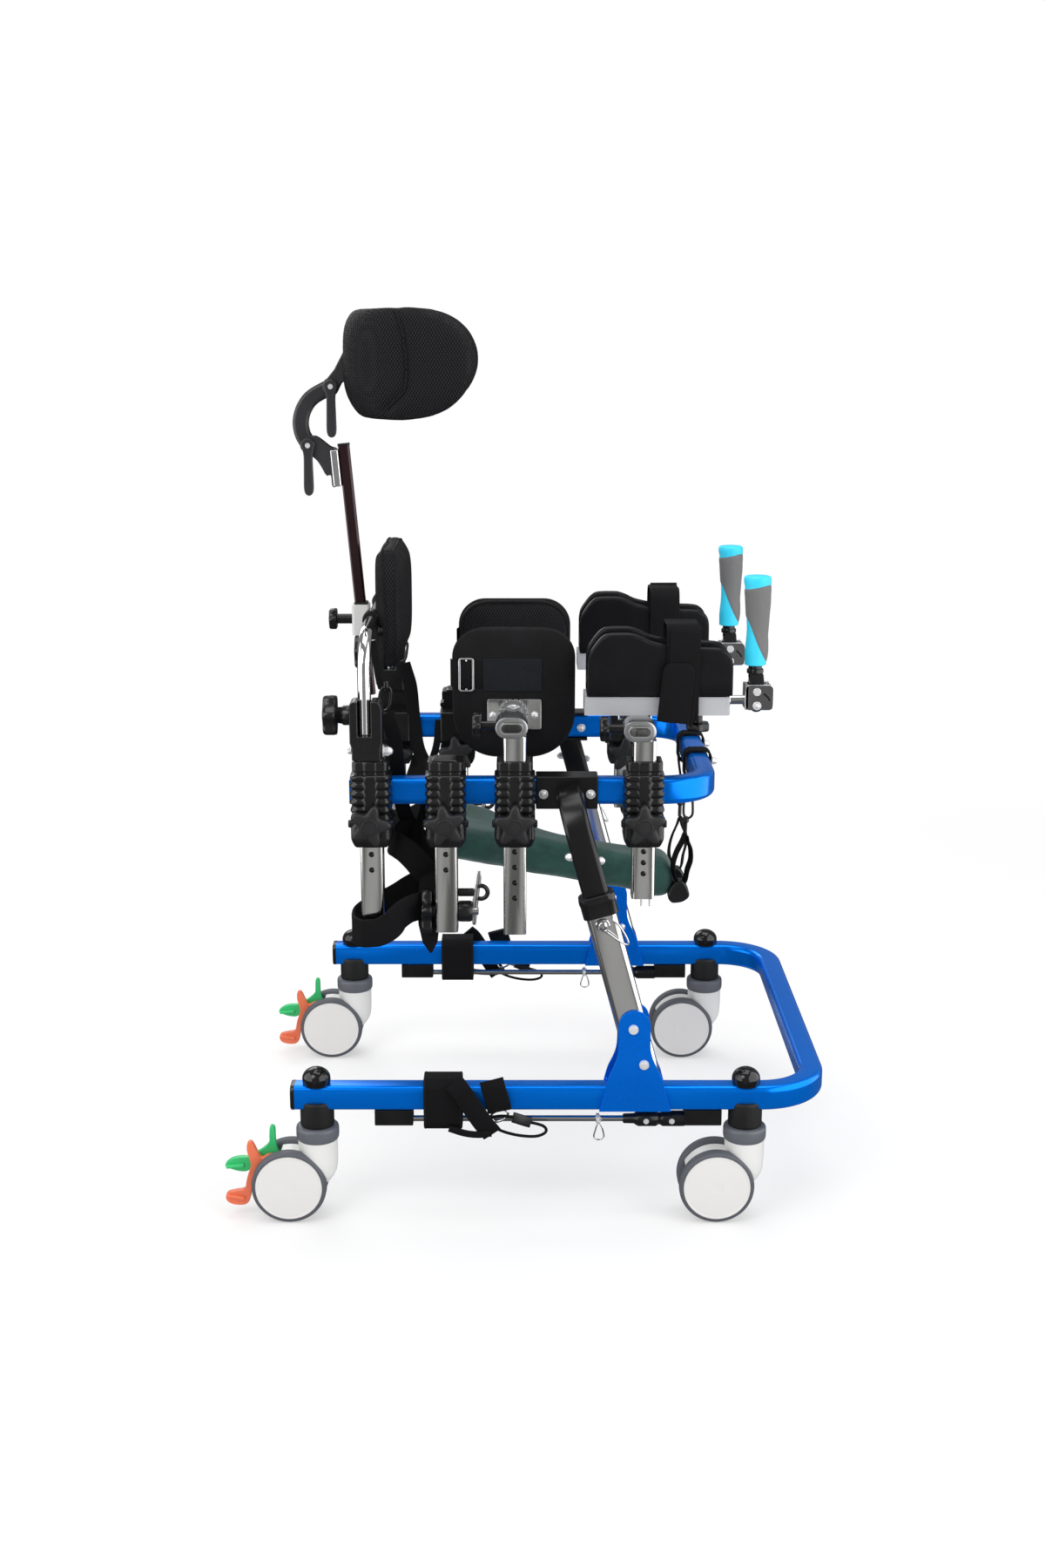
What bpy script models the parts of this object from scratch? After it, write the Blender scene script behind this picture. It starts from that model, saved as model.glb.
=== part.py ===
"""Pediatric walker: wheeled base, leaning masts, and an upper frame that carries the body supports.

Metres, +X forward, +Y to the walker's left, +Z up. Every X below is measured from the rear caster
swivel axis; the chassis empty then puts the origin under the middle of the whole walker.
"""

import math

import bmesh
import bpy
from mathutils import Matrix, Vector

# Clearances
GAP = 0.0003
RUNNING_GAP = 0.0006

# Stance
WHEELBASE = 0.569
TRACK = 0.580
CHASSIS_X = -0.2775
SIDES = (("right", -1.0), ("left", 1.0))

# Base frame tube
BASE_WIDTH = 0.032
BASE_HEIGHT = 0.034
BASE_ROUND = 0.008
BASE_TOP = 0.188
BASE_TAIL = 0.030
BASE_NOSE = 0.096
BASE_BEND = 0.075
TUBE_WALL = 0.002
END_CAP_LENGTH = 0.004

# Caster bushings and dome caps
BUSHING_RADIUS = 0.0225
BUSHING_HEIGHT = 0.024
BUSHING_EAR = 0.011
DOME_RADIUS = 0.0187
DOME_HEIGHT = 0.0225

# Casters
WHEEL_RADIUS = 0.050
WHEEL_TRAIL = 0.0376
TWIN_WIDTH = 0.060
HOOD_WIDTH = 0.022
HOOD_RADIUS = 0.044
WHEEL_CLEARANCE = 0.001
AXLE_RADIUS = 0.005
COLUMN_RADIUS = 0.027
RING_RADIUS = 0.0285
RING_HEIGHT = 0.019
STEM_RADIUS = 0.008
WEB_WIDTH = 0.002
ROCKER_WIDTH = 0.009
ROCKER_PIVOT = (-0.062, 0.078)
ROCKER_PIN_RADIUS = 0.003

# Masts
LEAN = math.radians(15.2)
MAST_FOOT_X = 0.4384
MAST_OUTER_WIDTH = 0.040
MAST_OUTER_DEPTH = 0.028
MAST_INNER_WIDTH = 0.034
MAST_INNER_DEPTH = 0.0225
MAST_ROUND = 0.007
MAST_OUTER_LENGTH = 0.262
MAST_INNER_START = 0.085
MAST_ELBOW_START = 0.348
MAST_ELBOW_RADIUS = 0.045
COLLAR_WALL = 0.0033
COLLAR_SKIRT = 0.019
COLLAR_LIP = 0.009

# Mast brackets on the base frame
BRACKET_PLATE = 0.0035
BRACKET_REAR_X = 0.374
BRACKET_FRONT_X = 0.469
BRACKET_NECK_X = (0.3985, 0.4405)
BRACKET_CREASES = (0.205, 0.236)
BRACKET_NECK_TOP = 0.274

# Upper frame tube
UPPER_TRACK = 0.410
UPPER_WIDTH = 0.030
UPPER_HEIGHT = 0.035
UPPER_TOP = 0.5845
UPPER_REAR_X = 0.047
UPPER_FRONT_X = 0.517
UPPER_BEND = 0.058

# Saddle plates that hold the masts to the upper frame
SADDLE_PLATE_X = (0.2905, 0.372)
SADDLE_PLATE_WALL = 0.004

# Post clamps and their knobs
CLAMP_X = (0.076, 0.173, 0.263, 0.431)
CLAMP_WIDTH = 0.053
CLAMP_BELOW = 0.065
CLAMP_ABOVE = 0.049
CLAMP_WALL = 0.0056
CLAMP_WEB = 0.0042
CLAMP_JAW = 0.005
RIB_PITCH = 0.0109
RIB_COUNT = 6
RIB_DEPTH = 0.0026
RIB_START = -0.0374
BAND_HALF = 0.0078
KNOB_TIP = 0.0280
KNOB_WAIST = 0.0168
KNOB_DEPTH = 0.013
KNOB_STEM = 0.006
KNOB_STEM_RADIUS = 0.0075
KNOB_DROP = 0.032
KNOB_TIP_ANGLES = (74.0, 100.0, 89.0, 92.0)

# Posts
POST_SIZE = 0.030
POST_ROUND = 0.005
POST_WALL = 0.002
POST_HOLE_RADIUS = 0.0036
POST_HOLE_PITCH = 0.0211
POST_PLUG = 0.003

BACK_POST_BOTTOM = 0.405
SEAT_POST_BOTTOM = 0.385
TRUNK_POST_BOTTOM = 0.382
ARM_POST_BOTTOM = 0.431
SOCKET_CENTRE_Z = 0.6612
SOCKET_WIDTH = 0.042
SOCKET_HEIGHT = 0.0275
SOCKET_LENGTH = 0.040
OVAL_WIDTH = 0.031
OVAL_HEIGHT = 0.0155
SMALL_KNOB_RADIUS = 0.0172
SMALL_KNOB_DEPTH = 0.011
SMALL_KNOB_REACH = 0.022
SMALL_STEM_RADIUS = 0.0042

# Back hoop in its fork blocks
FORK_X = (0.0505, 0.0925)
FORK_TOP = 0.6947
FORK_DEPTH = 0.034
FORK_SLOT_BOTTOM = 0.649
HOOP_X = 0.0695
HOOP_RADIUS = 0.008
HOOP_BEND = 0.050
HOOP_BAR_Z = 0.775
BIG_KNOB_RADIUS = 0.0285
BIG_KNOB_DEPTH = 0.017
BIG_KNOB_REACH = 0.017
BIG_KNOB_Z = 0.6745

# Back rest
BACK_PAD_BOTTOM = 0.714
BACK_PAD_TOP = 0.886
BACK_PAD_WIDTH = 0.235
BACK_PAD_DEPTH = 0.0385
RING_CLAMP_Y = 0.085
RING_CLAMP_WIDTH = 0.018
RING_CLAMP_WALL = 0.005
BLOCK_SIZE = (0.0245, 0.030, 0.043)
BLOCK_CENTRE = (0.0472, 0.0, 0.7627)

# Head support
HEAD_TILT = math.radians(4.91)
HEAD_POST_TOP = (0.0277, 1.004)
HEAD_POST_WIDTH = 0.015
HEAD_POST_LENGTH = 0.350
HEAD_CLAMP_DROP = 0.031
HEAD_CLAMP_HEIGHT = 0.050
HEAD_CLAMP_WALL = 0.005
HEAD_LOWER_PIVOT = (-0.0195, 1.003)
HEAD_UPPER_PIVOT = (0.0134, 1.0815)
HEAD_ARM_CENTRE = (0.028, 1.036)
HEAD_ARM_WIDTH = 0.022
HEAD_ARM_THICKNESS = 0.014
HEAD_BOSS_RADIUS = 0.0125
HEAD_PIN_RADIUS = 0.004
LEVER_LENGTH = 0.068
LEVER_WIDTH = 0.0128
LEVER_THICKNESS = 0.007
HEAD_PAD_REAR_X = 0.040
HEAD_PAD_FRONT_X = 0.213
HEAD_PAD_CENTRE_Z = 1.1125
HEAD_PAD_HALF_HEIGHT = 0.0725
HEAD_PAD_HALF_WIDTH = 0.128
HEAD_PAD_THICKNESS = 0.046

# Trunk supports
TRUNK_PAD_X = (0.181, 0.347)
TRUNK_PAD_Z = (0.600, 0.775)
TRUNK_PAD_OUTER_Y = 0.145
TRUNK_PAD_THICKNESS = 0.036
TRUNK_PLATE_THICKNESS = 0.003
TRUNK_PLATE_X = (0.226, 0.298)
TRUNK_PLATE_Z = (0.636, 0.677)
RATCHET_RADIUS = 0.0195
RATCHET_TEETH = 18
RATCHET_TOOTH = 0.0015

# Forearm supports
ARM_CENTRE_Y = 0.166
TRAY_X = (0.3575, 0.542)
TRAY_WIDTH = 0.056
TRAY_HEIGHT = 0.0245
TRAY_WALL = 0.0028
TRAY_END_PLATE = 0.003
ROD_RADIUS = 0.006
ROD_TUCK = 0.130
ARM_PAD_WIDTH = 0.068
ARM_PAD_WALL = 0.013
ARM_PAD_FLOOR = 0.016
ARM_STRAP_X = (0.461, 0.504)
ARM_STRAP_THICKNESS = 0.003

# Hand grips
GRIP_PIVOT = (0.5823, 0.6747)
CLEVIS_X = (0.5664, 0.6045)
CLEVIS_Z = (0.6687, 0.703)
CLEVIS_WIDTH = 0.030
CLEVIS_CHEEK = 0.004
GRIP_BOTTOM = 0.727
GRIP_TOP = 0.845
GRIP_RADIUS = 0.0175

# Saddle seat

# Ankle guides under the base rails
ANKLE_BLOCK_HEIGHT = 0.022
ANKLE_REAR_BLOCK_X = (0.077, 0.128)
ANKLE_FRONT_BLOCK_X = (WHEELBASE - 0.082, WHEELBASE - 0.032)
ANKLE_SWIVEL_X = (WHEELBASE - 0.162, WHEELBASE - 0.0825)
ANKLE_SWIVEL_NECK = (0.016, 0.020)
ANKLE_SWIVEL_GROOVE = (0.046, 0.048, 0.052)
ANKLE_SWIVEL_RADIUS = 0.0105
ANKLE_ROD_RADIUS = 0.004
ANKLE_ROD_DROP = 0.0165
ANKLE_BLOCK_WIDTH = 0.024
ANKLE_STRAP_X = (0.142, 0.194)
ANKLE_STRAP_THICKNESS = 0.003

# Values worked out from the ones above
BASE_BOTTOM = BASE_TOP - BASE_HEIGHT
BASE_CENTRE = BASE_TOP - BASE_HEIGHT / 2
BASE_FRONT_X = WHEELBASE + BASE_NOSE
RING_TOP = BASE_BOTTOM - GAP - BUSHING_HEIGHT
STEM_TOP = BASE_BOTTOM - 0.004
UPPER_CENTRE = UPPER_TOP - UPPER_HEIGHT / 2
UPPER_BOTTOM = UPPER_TOP - UPPER_HEIGHT
POST_OFFSET = UPPER_WIDTH / 2 + CLAMP_WEB + POST_SIZE / 2
POST_Y = UPPER_TRACK / 2 + POST_OFFSET
CLAMP_FACE = POST_OFFSET + POST_SIZE / 2 + CLAMP_WALL
CLAMP_TOP = UPPER_CENTRE + CLAMP_ABOVE
ARM_SOCKET_Z = SOCKET_CENTRE_Z - 0.0047
TRAY_BOTTOM = ARM_SOCKET_Z + OVAL_HEIGHT / 2 + GAP
TRAY_TOP = TRAY_BOTTOM + TRAY_HEIGHT
TRAY_PIVOT_X = CLAMP_X[3] - 0.006
ROD_Z = TRAY_BOTTOM + TRAY_HEIGHT / 2 + 0.0035
BACK_BOARD_X = HOOP_X + HOOP_RADIUS + RING_CLAMP_WALL - 0.0012

AX = Vector((1.0, 0.0, 0.0))
AY = Vector((0.0, 1.0, 0.0))
AZ = Vector((0.0, 0.0, 1.0))

# Meshing
SINK = 0.002
SMOOTH_ANGLE = math.radians(32)
MERGE = 0.00001
FLAT_ANGLE = math.radians(0.2)
TUBE_STEPS = 2
BEND_STEPS = 5
ELBOW_STEPS = 5
WHEEL_SIDES = 18
HEAD_ARM_STEPS = 12

# More of the casters
COLUMN_FOOT = 0.047
COLUMN_SHOULDER = 0.070
HUB_RADIUS = 0.014
DISC_RADIUS = 0.0415
HOOD_FRONT = -40
HOOD_REAR = 150
HOOD_REAR_BRAKED = 100
WEB_REAR = 158
LOCK_PEDAL_MM = ((-126, 68), (-116, 63.4), (-100, 59.6), (-92, 63), (-84, 66), (-66, 66), (-56, 71),
                 (-52, 80),
                 (-55, 90), (-57.3, 98), (-57.7, 124.5), (-64.8, 124.5), (-65.2, 99.7), (-80, 90),
                 (-93, 80.2),
                 (-112.5, 79.2), (-121.7, 74.6))
BRAKE_PEDAL_MM = ((-97, 38.3), (-122, 33.6), (-124.5, 28), (-118.9, 18.5), (-99.4, 16.5), (-92, 24),
                  (-89, 45),
                  (-84, 58), (-70, 66), (-57, 70), (-52, 79), (-57, 88), (-76, 83), (-85.5, 105),
                  (-90, 108),
                  (-94, 103), (-93.5, 92), (-89.2, 73.6), (-95.8, 55))

# More of the clamps
POST_NAMES = ("back", "seat", "trunk", "arm")
INNER_KNOB_CLEARANCE = 0.0006
INNER_KNOB_DROP = 0.040
CLAMP_ROUND = 0.007
CLAMP_CAP = ((0.0, 0.0055), (0.0020, 0.0030), (0.0115, 0.0030), (0.0125, 0.0055), (0.0175, 0.0055), (0.0190, 0.0))
CLAMP_CHIN = ((0.012, 0.001), (0.0, 0.006))
CLAMP_JAW_HALF = 0.025

# More of the posts
FORK_FOOT = CLAMP_TOP + 0.0015
BACK_HOLES_TOP = 0.492
TRUNK_HOLES_TOP = 0.4956
ARM_HOLES_TOP = 0.496
ARM_HOLE_PITCH = 0.015
TRUNK_SOCKET_X = 0.259
ARM_SOCKET_X = 0.424
SEAT_PLUG = 0.0025
BIG_STEM_RADIUS = 0.006
SEAT_KNOB_RADIUS = 0.030
HOOK_RADIUS = 0.0022
HOOK_PATH = ((0.030, -0.004), (0.038, -0.009), (0.043, 0.006), (0.045, 0.042), (0.049, 0.052),
             (0.053, 0.046))
RATCHET_DEPTH = 0.0085

# More of the forearm supports and grips
ARM_PAD_STATIONS = ((0.3575, 0.741), (0.360, 0.748), (0.382, 0.772), (0.416, 0.773), (0.441, 0.763),
                    (0.461, 0.758),
                    (0.507, 0.7545), (0.531, 0.754), (0.543, 0.7465), (0.548, 0.730))
ARM_STRAP_TOP = 0.782
TRAY_END_LAP = 0.001
TRAY_END_RIM = 0.0003
GRIP_X = 0.580
GRIP_STEM = 0.0085
GRIP_PIN_RADIUS = 0.003
TONGUE_RADIUS = 0.0095
TONGUE_TOP = 0.712

# More of the back and head supports
BACK_PAD_CORNER = 0.045
BACK_BOARD_WIDTH = 0.200
BACK_BOARD_HEIGHT = 0.100
BACK_BOARD_Z = 0.785
BACK_BOARD_THICKNESS = 0.004
BLOCK_CHEEK_Y = (0.0095, 0.0140)
BLOCK_CHEEK_Z = (0.7425, 0.7620)
TRUNK_PAD_CORNER = 0.052
BLOCK_KNOB_RADIUS = 0.0155
BLOCK_KNOB_REACH = 0.0215
HEAD_CHEEK = 0.0114
LEVER_HUB = 0.0095
HEAD_ARM_RADIUS = 0.04675
HEAD_PAD_BEND_X = 0.140
HEAD_PAD_WING_X = 0.075
BRACKET_MM = ((15, 996), (-8, 1016), (-16, 1014.5), (-26, 1010), (-30.5, 1003), (-27, 995), (-8, 982),
              (4, 963), (10, 963),
              (11.7, 947.5))
STEM_MM = ((24, 1088), (36, 1090), (46, 1094), (46, 1131), (33, 1130), (20, 1106))

# More of the seat, straps and ankle guides
SADDLE_MM = ((140, 476, 448, 66), (148, 484, 438, 82), (190, 481, 429, 92), (235, 469, 415, 74),
             (282, 456, 400, 46), (322, 444, 391, 38), (385, 431, 379, 38), (422, 426, 375, 45),
             (470, 420, 363, 46), (486, 412, 367, 38), (491, 400, 380, 28))
STRAP_WALL = 0.0025
STRAP_WIDTH = 0.022
STRAP_RUN_SHARE = 0.85
FRONT_STRAP_Y = 0.055
FRONT_STRAP_MM = ((500.4, 55, 572), (500.4, 55, 548), (504, 52, 520), (507, 46, 490), (506, 40, 452),
                  (499, 34, 418), (482, 28, 398))
REAR_STRAP_X = 0.125
REAR_STRAP_MM = ((125, 16.6, 575), (125, 16.6, 552), (127, 27, 525), (136, 59, 495), (146, 93, 472),
                 (156, 130, 462))
BACK_PAD_X = BACK_BOARD_X + BACK_BOARD_THICKNESS + GAP

# Looks: label, colour, roughness, metallic
BLUE = ("anodised_blue", (0.0, 0.09, 0.62), 0.28, 0.75)
CHROME = ("bright_aluminium", (0.72, 0.72, 0.72), 0.22, 1.0)
DARK_METAL = ("dark_zinc", (0.28, 0.28, 0.29), 0.35, 0.9)
BLACK_METAL = ("black_coated", (0.012, 0.012, 0.013), 0.45, 0.3)
BLACK = ("black_plastic", (0.015, 0.015, 0.016), 0.5, 0.0)
BLACK_SOFT = ("soft_black", (0.02, 0.02, 0.022), 0.65, 0.0)
MESH_BLACK = ("black_mesh_fabric", (0.012, 0.012, 0.014), 0.9, 0.0)
WEBBING = ("black_webbing", (0.014, 0.014, 0.016), 0.85, 0.0)
CASTER_WHITE = ("caster_white", (0.74, 0.74, 0.71), 0.45, 0.0)
TYRE_GREY = ("tyre_grey", (0.13, 0.15, 0.19), 0.6, 0.0)
PEDAL_GREEN = ("pedal_green", (0.03, 0.60, 0.17), 0.4, 0.0)
PEDAL_ORANGE = ("pedal_orange", (0.93, 0.19, 0.08), 0.4, 0.0)
TRAY_GREY = ("tray_grey", (0.35, 0.36, 0.38), 0.35, 0.9)
GRIP_GREY = ("grip_grey", (0.17, 0.17, 0.17), 0.75, 0.0)
MAROON = ("dark_maroon", (0.022, 0.006, 0.008), 0.35, 0.4)
SADDLE_GREEN = ("saddle_green", (0.03, 0.09, 0.07), 0.8, 0.0)


def material(name, colour, roughness, metallic=0.0):
    """A Principled surface with one colour, roughness and metallic value."""
    look = bpy.data.materials.new(name)
    look.use_nodes = True
    surface = look.node_tree.nodes["Principled BSDF"]
    surface.inputs["Base Color"].default_value = (*colour, 1.0)
    surface.inputs["Roughness"].default_value = roughness
    surface.inputs["Metallic"].default_value = metallic
    look.diffuse_color = (*colour, 1.0)
    return look


def finish(name, bm, look, pivot=(0.0, 0.0, 0.0)):
    """Turn a bmesh into a named, shaded object whose origin sits at the pivot."""
    bmesh.ops.recalc_face_normals(bm, faces=bm.faces)
    bmesh.ops.translate(bm, verts=bm.verts, vec=-Vector(pivot))
    mesh = bpy.data.meshes.new(name)
    bm.to_mesh(mesh)
    bm.free()
    mesh.materials.append(material(f"{name}_{look[0]}", *look[1:]))
    mesh.shade_smooth()
    mesh.set_sharp_from_angle(angle=SMOOTH_ANGLE)
    piece = bpy.data.objects.new(name, mesh)
    bpy.context.scene.collection.objects.link(piece)
    piece.location = pivot
    return piece


def loft(bm, rings, closed=False):
    """Skin a run of equal-count rings, capping both ends unless the run closes on itself."""
    rows = [[bm.verts.new(point) for point in ring] for ring in rings]
    following = rows[1:] + rows[:1] if closed else rows[1:]
    for row, after in zip(rows, following):
        for here in range(len(row)):
            beside = (here + 1) % len(row)
            bm.faces.new((row[here], row[beside], after[beside], after[here]))
    if not closed:
        bm.faces.new(list(reversed(rows[0])))
        bm.faces.new(rows[-1])


def hollow(bm, outer, inner):
    """Skin a tube wall from its outer rings and its inner rings, joined at both ends."""
    loft(bm, outer + list(reversed(inner)), closed=True)


def section(width, height, corner, steps, centre=(0.0, 0.0)):
    """Rounded rectangle as (across, up) pairs, counter-clockwise from the lower right corner."""
    half_w, half_h = width / 2 - corner, height / 2 - corner
    points = []
    for quadrant, (sign_w, sign_h) in enumerate(((1, -1), (1, 1), (-1, 1), (-1, -1))):
        for step in range(steps + 1):
            angle = math.radians(90 * (quadrant - 1 + step / steps))
            points.append((centre[0] + sign_w * half_w + corner * math.cos(angle),
                           centre[1] + sign_h * half_h + corner * math.sin(angle)))
    return points


def circle(radius, count, centre=(0.0, 0.0), phase=0.0):
    """Round outline as (across, up) pairs."""
    turns = [2 * math.pi * (step + phase) / count for step in range(count)]
    return [(centre[0] + radius * math.cos(a), centre[1] + radius * math.sin(a)) for a in turns]


def arc(centre, radius, start, end, steps):
    """Points along an arc given in degrees."""
    angles = [math.radians(start + (end - start) * step / steps) for step in range(steps + 1)]
    return [(centre[0] + radius * math.cos(a), centre[1] + radius * math.sin(a)) for a in angles]


def place(outline, origin, across, up):
    """Lift a flat outline into space."""
    return [Vector(origin) + across * a + up * b for a, b in outline]


def prism(bm, outline, across, up, start, end, origin=(0.0, 0.0, 0.0)):
    """Extrude a flat outline along across x up, from start to end."""
    along = across.cross(up)
    base = Vector(origin)
    loft(bm, [place(outline, base + along * start, across, up),
              place(outline, base + along * end, across, up)])


def side_plate(bm, outline, start, end):
    """Extrude an (x, z) outline across the walker, from y = start to y = end."""
    prism(bm, outline, AX, AZ, -start, -end)


def box(bm, low, high):
    """Plain block between two opposite corners."""
    outline = [(low[0], low[1]), (high[0], low[1]), (high[0], high[1]), (low[0], high[1])]
    prism(bm, outline, AX, AY, low[2], high[2])


def revolve(bm, profile, origin, axis, count, closed=False, phase=0.0):
    """Turn (radius, distance) points around an axis; a zero radius becomes a single pole."""
    axis = Vector(axis).normalized()
    across = axis.orthogonal().normalized() if abs(axis.z) < 0.9 else AX.copy()
    if abs(axis.y) > 0.9:
        across = AZ.copy()
    up = axis.cross(across)
    rows = []
    for radius, distance in profile:
        centre = Vector(origin) + axis * distance
        if radius < 1e-7:
            rows.append([bm.verts.new(centre)])
        else:
            rows.append([bm.verts.new(p) for p in place(circle(radius, count, phase=phase), centre, across,
                                                        up)])
    following = rows[1:] + rows[:1] if closed else rows[1:]
    for row, after in zip(rows, following):
        for here in range(count):
            beside = (here + 1) % count
            corners = [row[here % len(row)], row[beside % len(row)], after[beside % len(after)],
                       after[here % len(after)]]
            distinct = list(dict.fromkeys(corners))
            if len(distinct) > 2:
                bm.faces.new(distinct)


def cylinder(bm, origin, axis, radius, start, end, count=12):
    """Capped cylinder between two distances along its axis."""
    revolve(bm, [(0.0, start), (radius, start), (radius, end), (0.0, end)], origin, axis, count)


def blank():
    """A fresh, empty bmesh."""
    return bmesh.new()


def boolean(target, tool, operation="DIFFERENCE"):
    """Join or cut one bmesh with another and return the result."""
    pieces = []
    for bm in (target, tool):
        bmesh.ops.recalc_face_normals(bm, faces=bm.faces)
        mesh = bpy.data.meshes.new("boolean")
        bm.to_mesh(mesh)
        bm.free()
        piece = bpy.data.objects.new("boolean", mesh)
        bpy.context.scene.collection.objects.link(piece)
        pieces.append(piece)
    pieces[1].hide_render = True
    pieces[1].display_type = "WIRE"
    modifier = pieces[0].modifiers.new("boolean", "BOOLEAN")
    modifier.solver = "EXACT"
    modifier.operation = operation
    modifier.object = pieces[1]
    evaluated = pieces[0].evaluated_get(bpy.context.evaluated_depsgraph_get())
    result = bmesh.new()
    result.from_mesh(evaluated.to_mesh())
    evaluated.to_mesh_clear()
    for piece in pieces:
        spare = piece.data
        bpy.data.objects.remove(piece)
        bpy.data.meshes.remove(spare)
    bmesh.ops.dissolve_degenerate(result, dist=MERGE, edges=result.edges)
    bmesh.ops.dissolve_limit(result, angle_limit=FLAT_ANGLE, verts=result.verts, edges=result.edges)
    return result


def stamp(bm, pattern, matrix):
    """Add a copy of a pattern mesh to a bmesh, moved and mirrored by a matrix."""
    first = len(bm.verts)
    bm.from_mesh(pattern)
    bm.verts.ensure_lookup_table()
    bmesh.ops.transform(bm, matrix=matrix, verts=bm.verts[first:])


def pattern(name, bm):
    """Keep a bmesh as a mesh that can be stamped several times."""
    bmesh.ops.recalc_face_normals(bm, faces=bm.faces)
    mesh = bpy.data.meshes.new(name)
    bm.to_mesh(mesh)
    bm.free()
    return mesh


def mirror_to(side, x=0.0, y=0.0, z=0.0):
    """Matrix that puts a left-hand pattern at (x, side * y, z), mirrored for the right side."""
    return Matrix.Translation((x, side * y, z)) @ Matrix.Diagonal((1.0, side, 1.0, 1.0))


def u_route(rear_x, front_x, half_track, bend, steps):
    """Stations (x, y, sideways) along a U that is open to the rear."""
    stations = [(rear_x, -half_track, Vector((0.0, -1.0, 0.0)))]
    for centre_y, start in ((-half_track + bend, -90), (half_track - bend, 0)):
        for step in range(steps + 1):
            angle = math.radians(start + 90 * step / steps)
            side = Vector((math.cos(angle), math.sin(angle), 0.0))
            stations.append((front_x - bend + bend * side.x, centre_y + bend * side.y, side))
    stations.append((rear_x, half_track, Vector((0.0, 1.0, 0.0))))
    return stations


def sweep_frame(bm, stations, width, height, corner, centre_z):
    """Hollow rounded tube along flat stations."""
    outer_outline = section(width, height, corner, TUBE_STEPS)
    inner_outline = section(width - 2 * TUBE_WALL, height - 2 * TUBE_WALL, corner - TUBE_WALL, TUBE_STEPS)
    outer = [place(outer_outline, (x, y, centre_z), side, AZ) for x, y, side in stations]
    inner = [place(inner_outline, (x, y, centre_z), side, AZ) for x, y, side in stations]
    hollow(bm, outer, inner)


def rod(bm, path, radius, count=8):
    """Round bar along a list of points that turn gently."""
    points = [Vector(p) for p in path]
    reference = (points[1] - points[0]).orthogonal().normalized()
    rings = []
    for index, point in enumerate(points):
        before, after = points[max(index - 1, 0)], points[min(index + 1, len(points) - 1)]
        along = (after - before).normalized()
        reference = (reference - along * reference.dot(along)).normalized()
        rings.append(place(circle(radius, count), point, reference, along.cross(reference)))
    loft(bm, rings)


def ribbon(bm, path, across, width, thickness):
    """Flat webbing along a path, with its width along a fixed direction."""
    points = [Vector(p) for p in path]
    across = Vector(across).normalized()
    rings = []
    for index, point in enumerate(points):
        before, after = points[max(index - 1, 0)], points[min(index + 1, len(points) - 1)]
        normal = (after - before).normalized().cross(across).normalized()
        w, t = across * width / 2, normal * thickness / 2
        rings.append([point - w - t, point + w - t, point + w + t, point - w + t])
    loft(bm, rings)


def band(bm, outer, inner, across, up, start, end, origin=(0.0, 0.0, 0.0)):
    """Closed loop of strap or wall between two outlines of equal count, extruded along across x up."""
    along = across.cross(up)
    base = Vector(origin)
    hollow(bm, [place(outer, base + along * d, across, up) for d in (start, end)],
           [place(inner, base + along * d, across, up) for d in (start, end)])


def star(tip, waist, lobes, per_lobe, phase=0.0, sharpness=1.35):
    """Lobed knob outline."""
    points = []
    for step in range(lobes * per_lobe):
        angle = 2 * math.pi * step / (lobes * per_lobe)
        reach = (0.5 + 0.5 * math.cos(lobes * angle)) ** sharpness
        radius = waist + (tip - waist) * reach
        points.append((radius * math.cos(angle + phase), radius * math.sin(angle + phase)))
    return points


def knob(outline, origin, axis, up, hub, depth, stem_radius, sunk=SINK):
    """Lobed knob on a stem that starts a little inside the face it is screwed into."""
    axis, up = Vector(axis), Vector(up)
    across = up.cross(axis)
    centre = Vector(origin)
    phase = math.atan2(outline[0][1], outline[0][0]) / (2 * math.pi) * len(outline)
    stem = circle(stem_radius, len(outline), phase=phase)
    bm = blank()
    loft(bm, [place(stem, centre - axis * sunk, across, up), place(stem, centre + axis * hub, across, up),
              place(outline, centre + axis * hub, across, up),
              place(outline, centre + axis * (hub + depth), across, up)])
    return bm


def fuse(*solids):
    """Join overlapping solids into one closed body."""
    body = solids[0]
    for solid in solids[1:]:
        body = boolean(body, solid, "UNION")
    return body


def mast_point(s, u, v, side):
    """Point on a mast: s up its lean, u forward, v toward the outside."""
    x = MAST_FOOT_X - s * math.sin(LEAN) + u * math.cos(LEAN)
    z = BASE_TOP + s * math.cos(LEAN) + u * math.sin(LEAN)
    return Vector((x, side * (TRACK / 2 + v), z))


def tilted(distance, forward):
    """Point in the plane of the head post: distance down from its top, and forward of its axis."""
    x = HEAD_POST_TOP[0] + distance * math.sin(HEAD_TILT) + forward * math.cos(HEAD_TILT)
    z = HEAD_POST_TOP[1] - distance * math.cos(HEAD_TILT) + forward * math.sin(HEAD_TILT)
    return x, z


# Base


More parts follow.
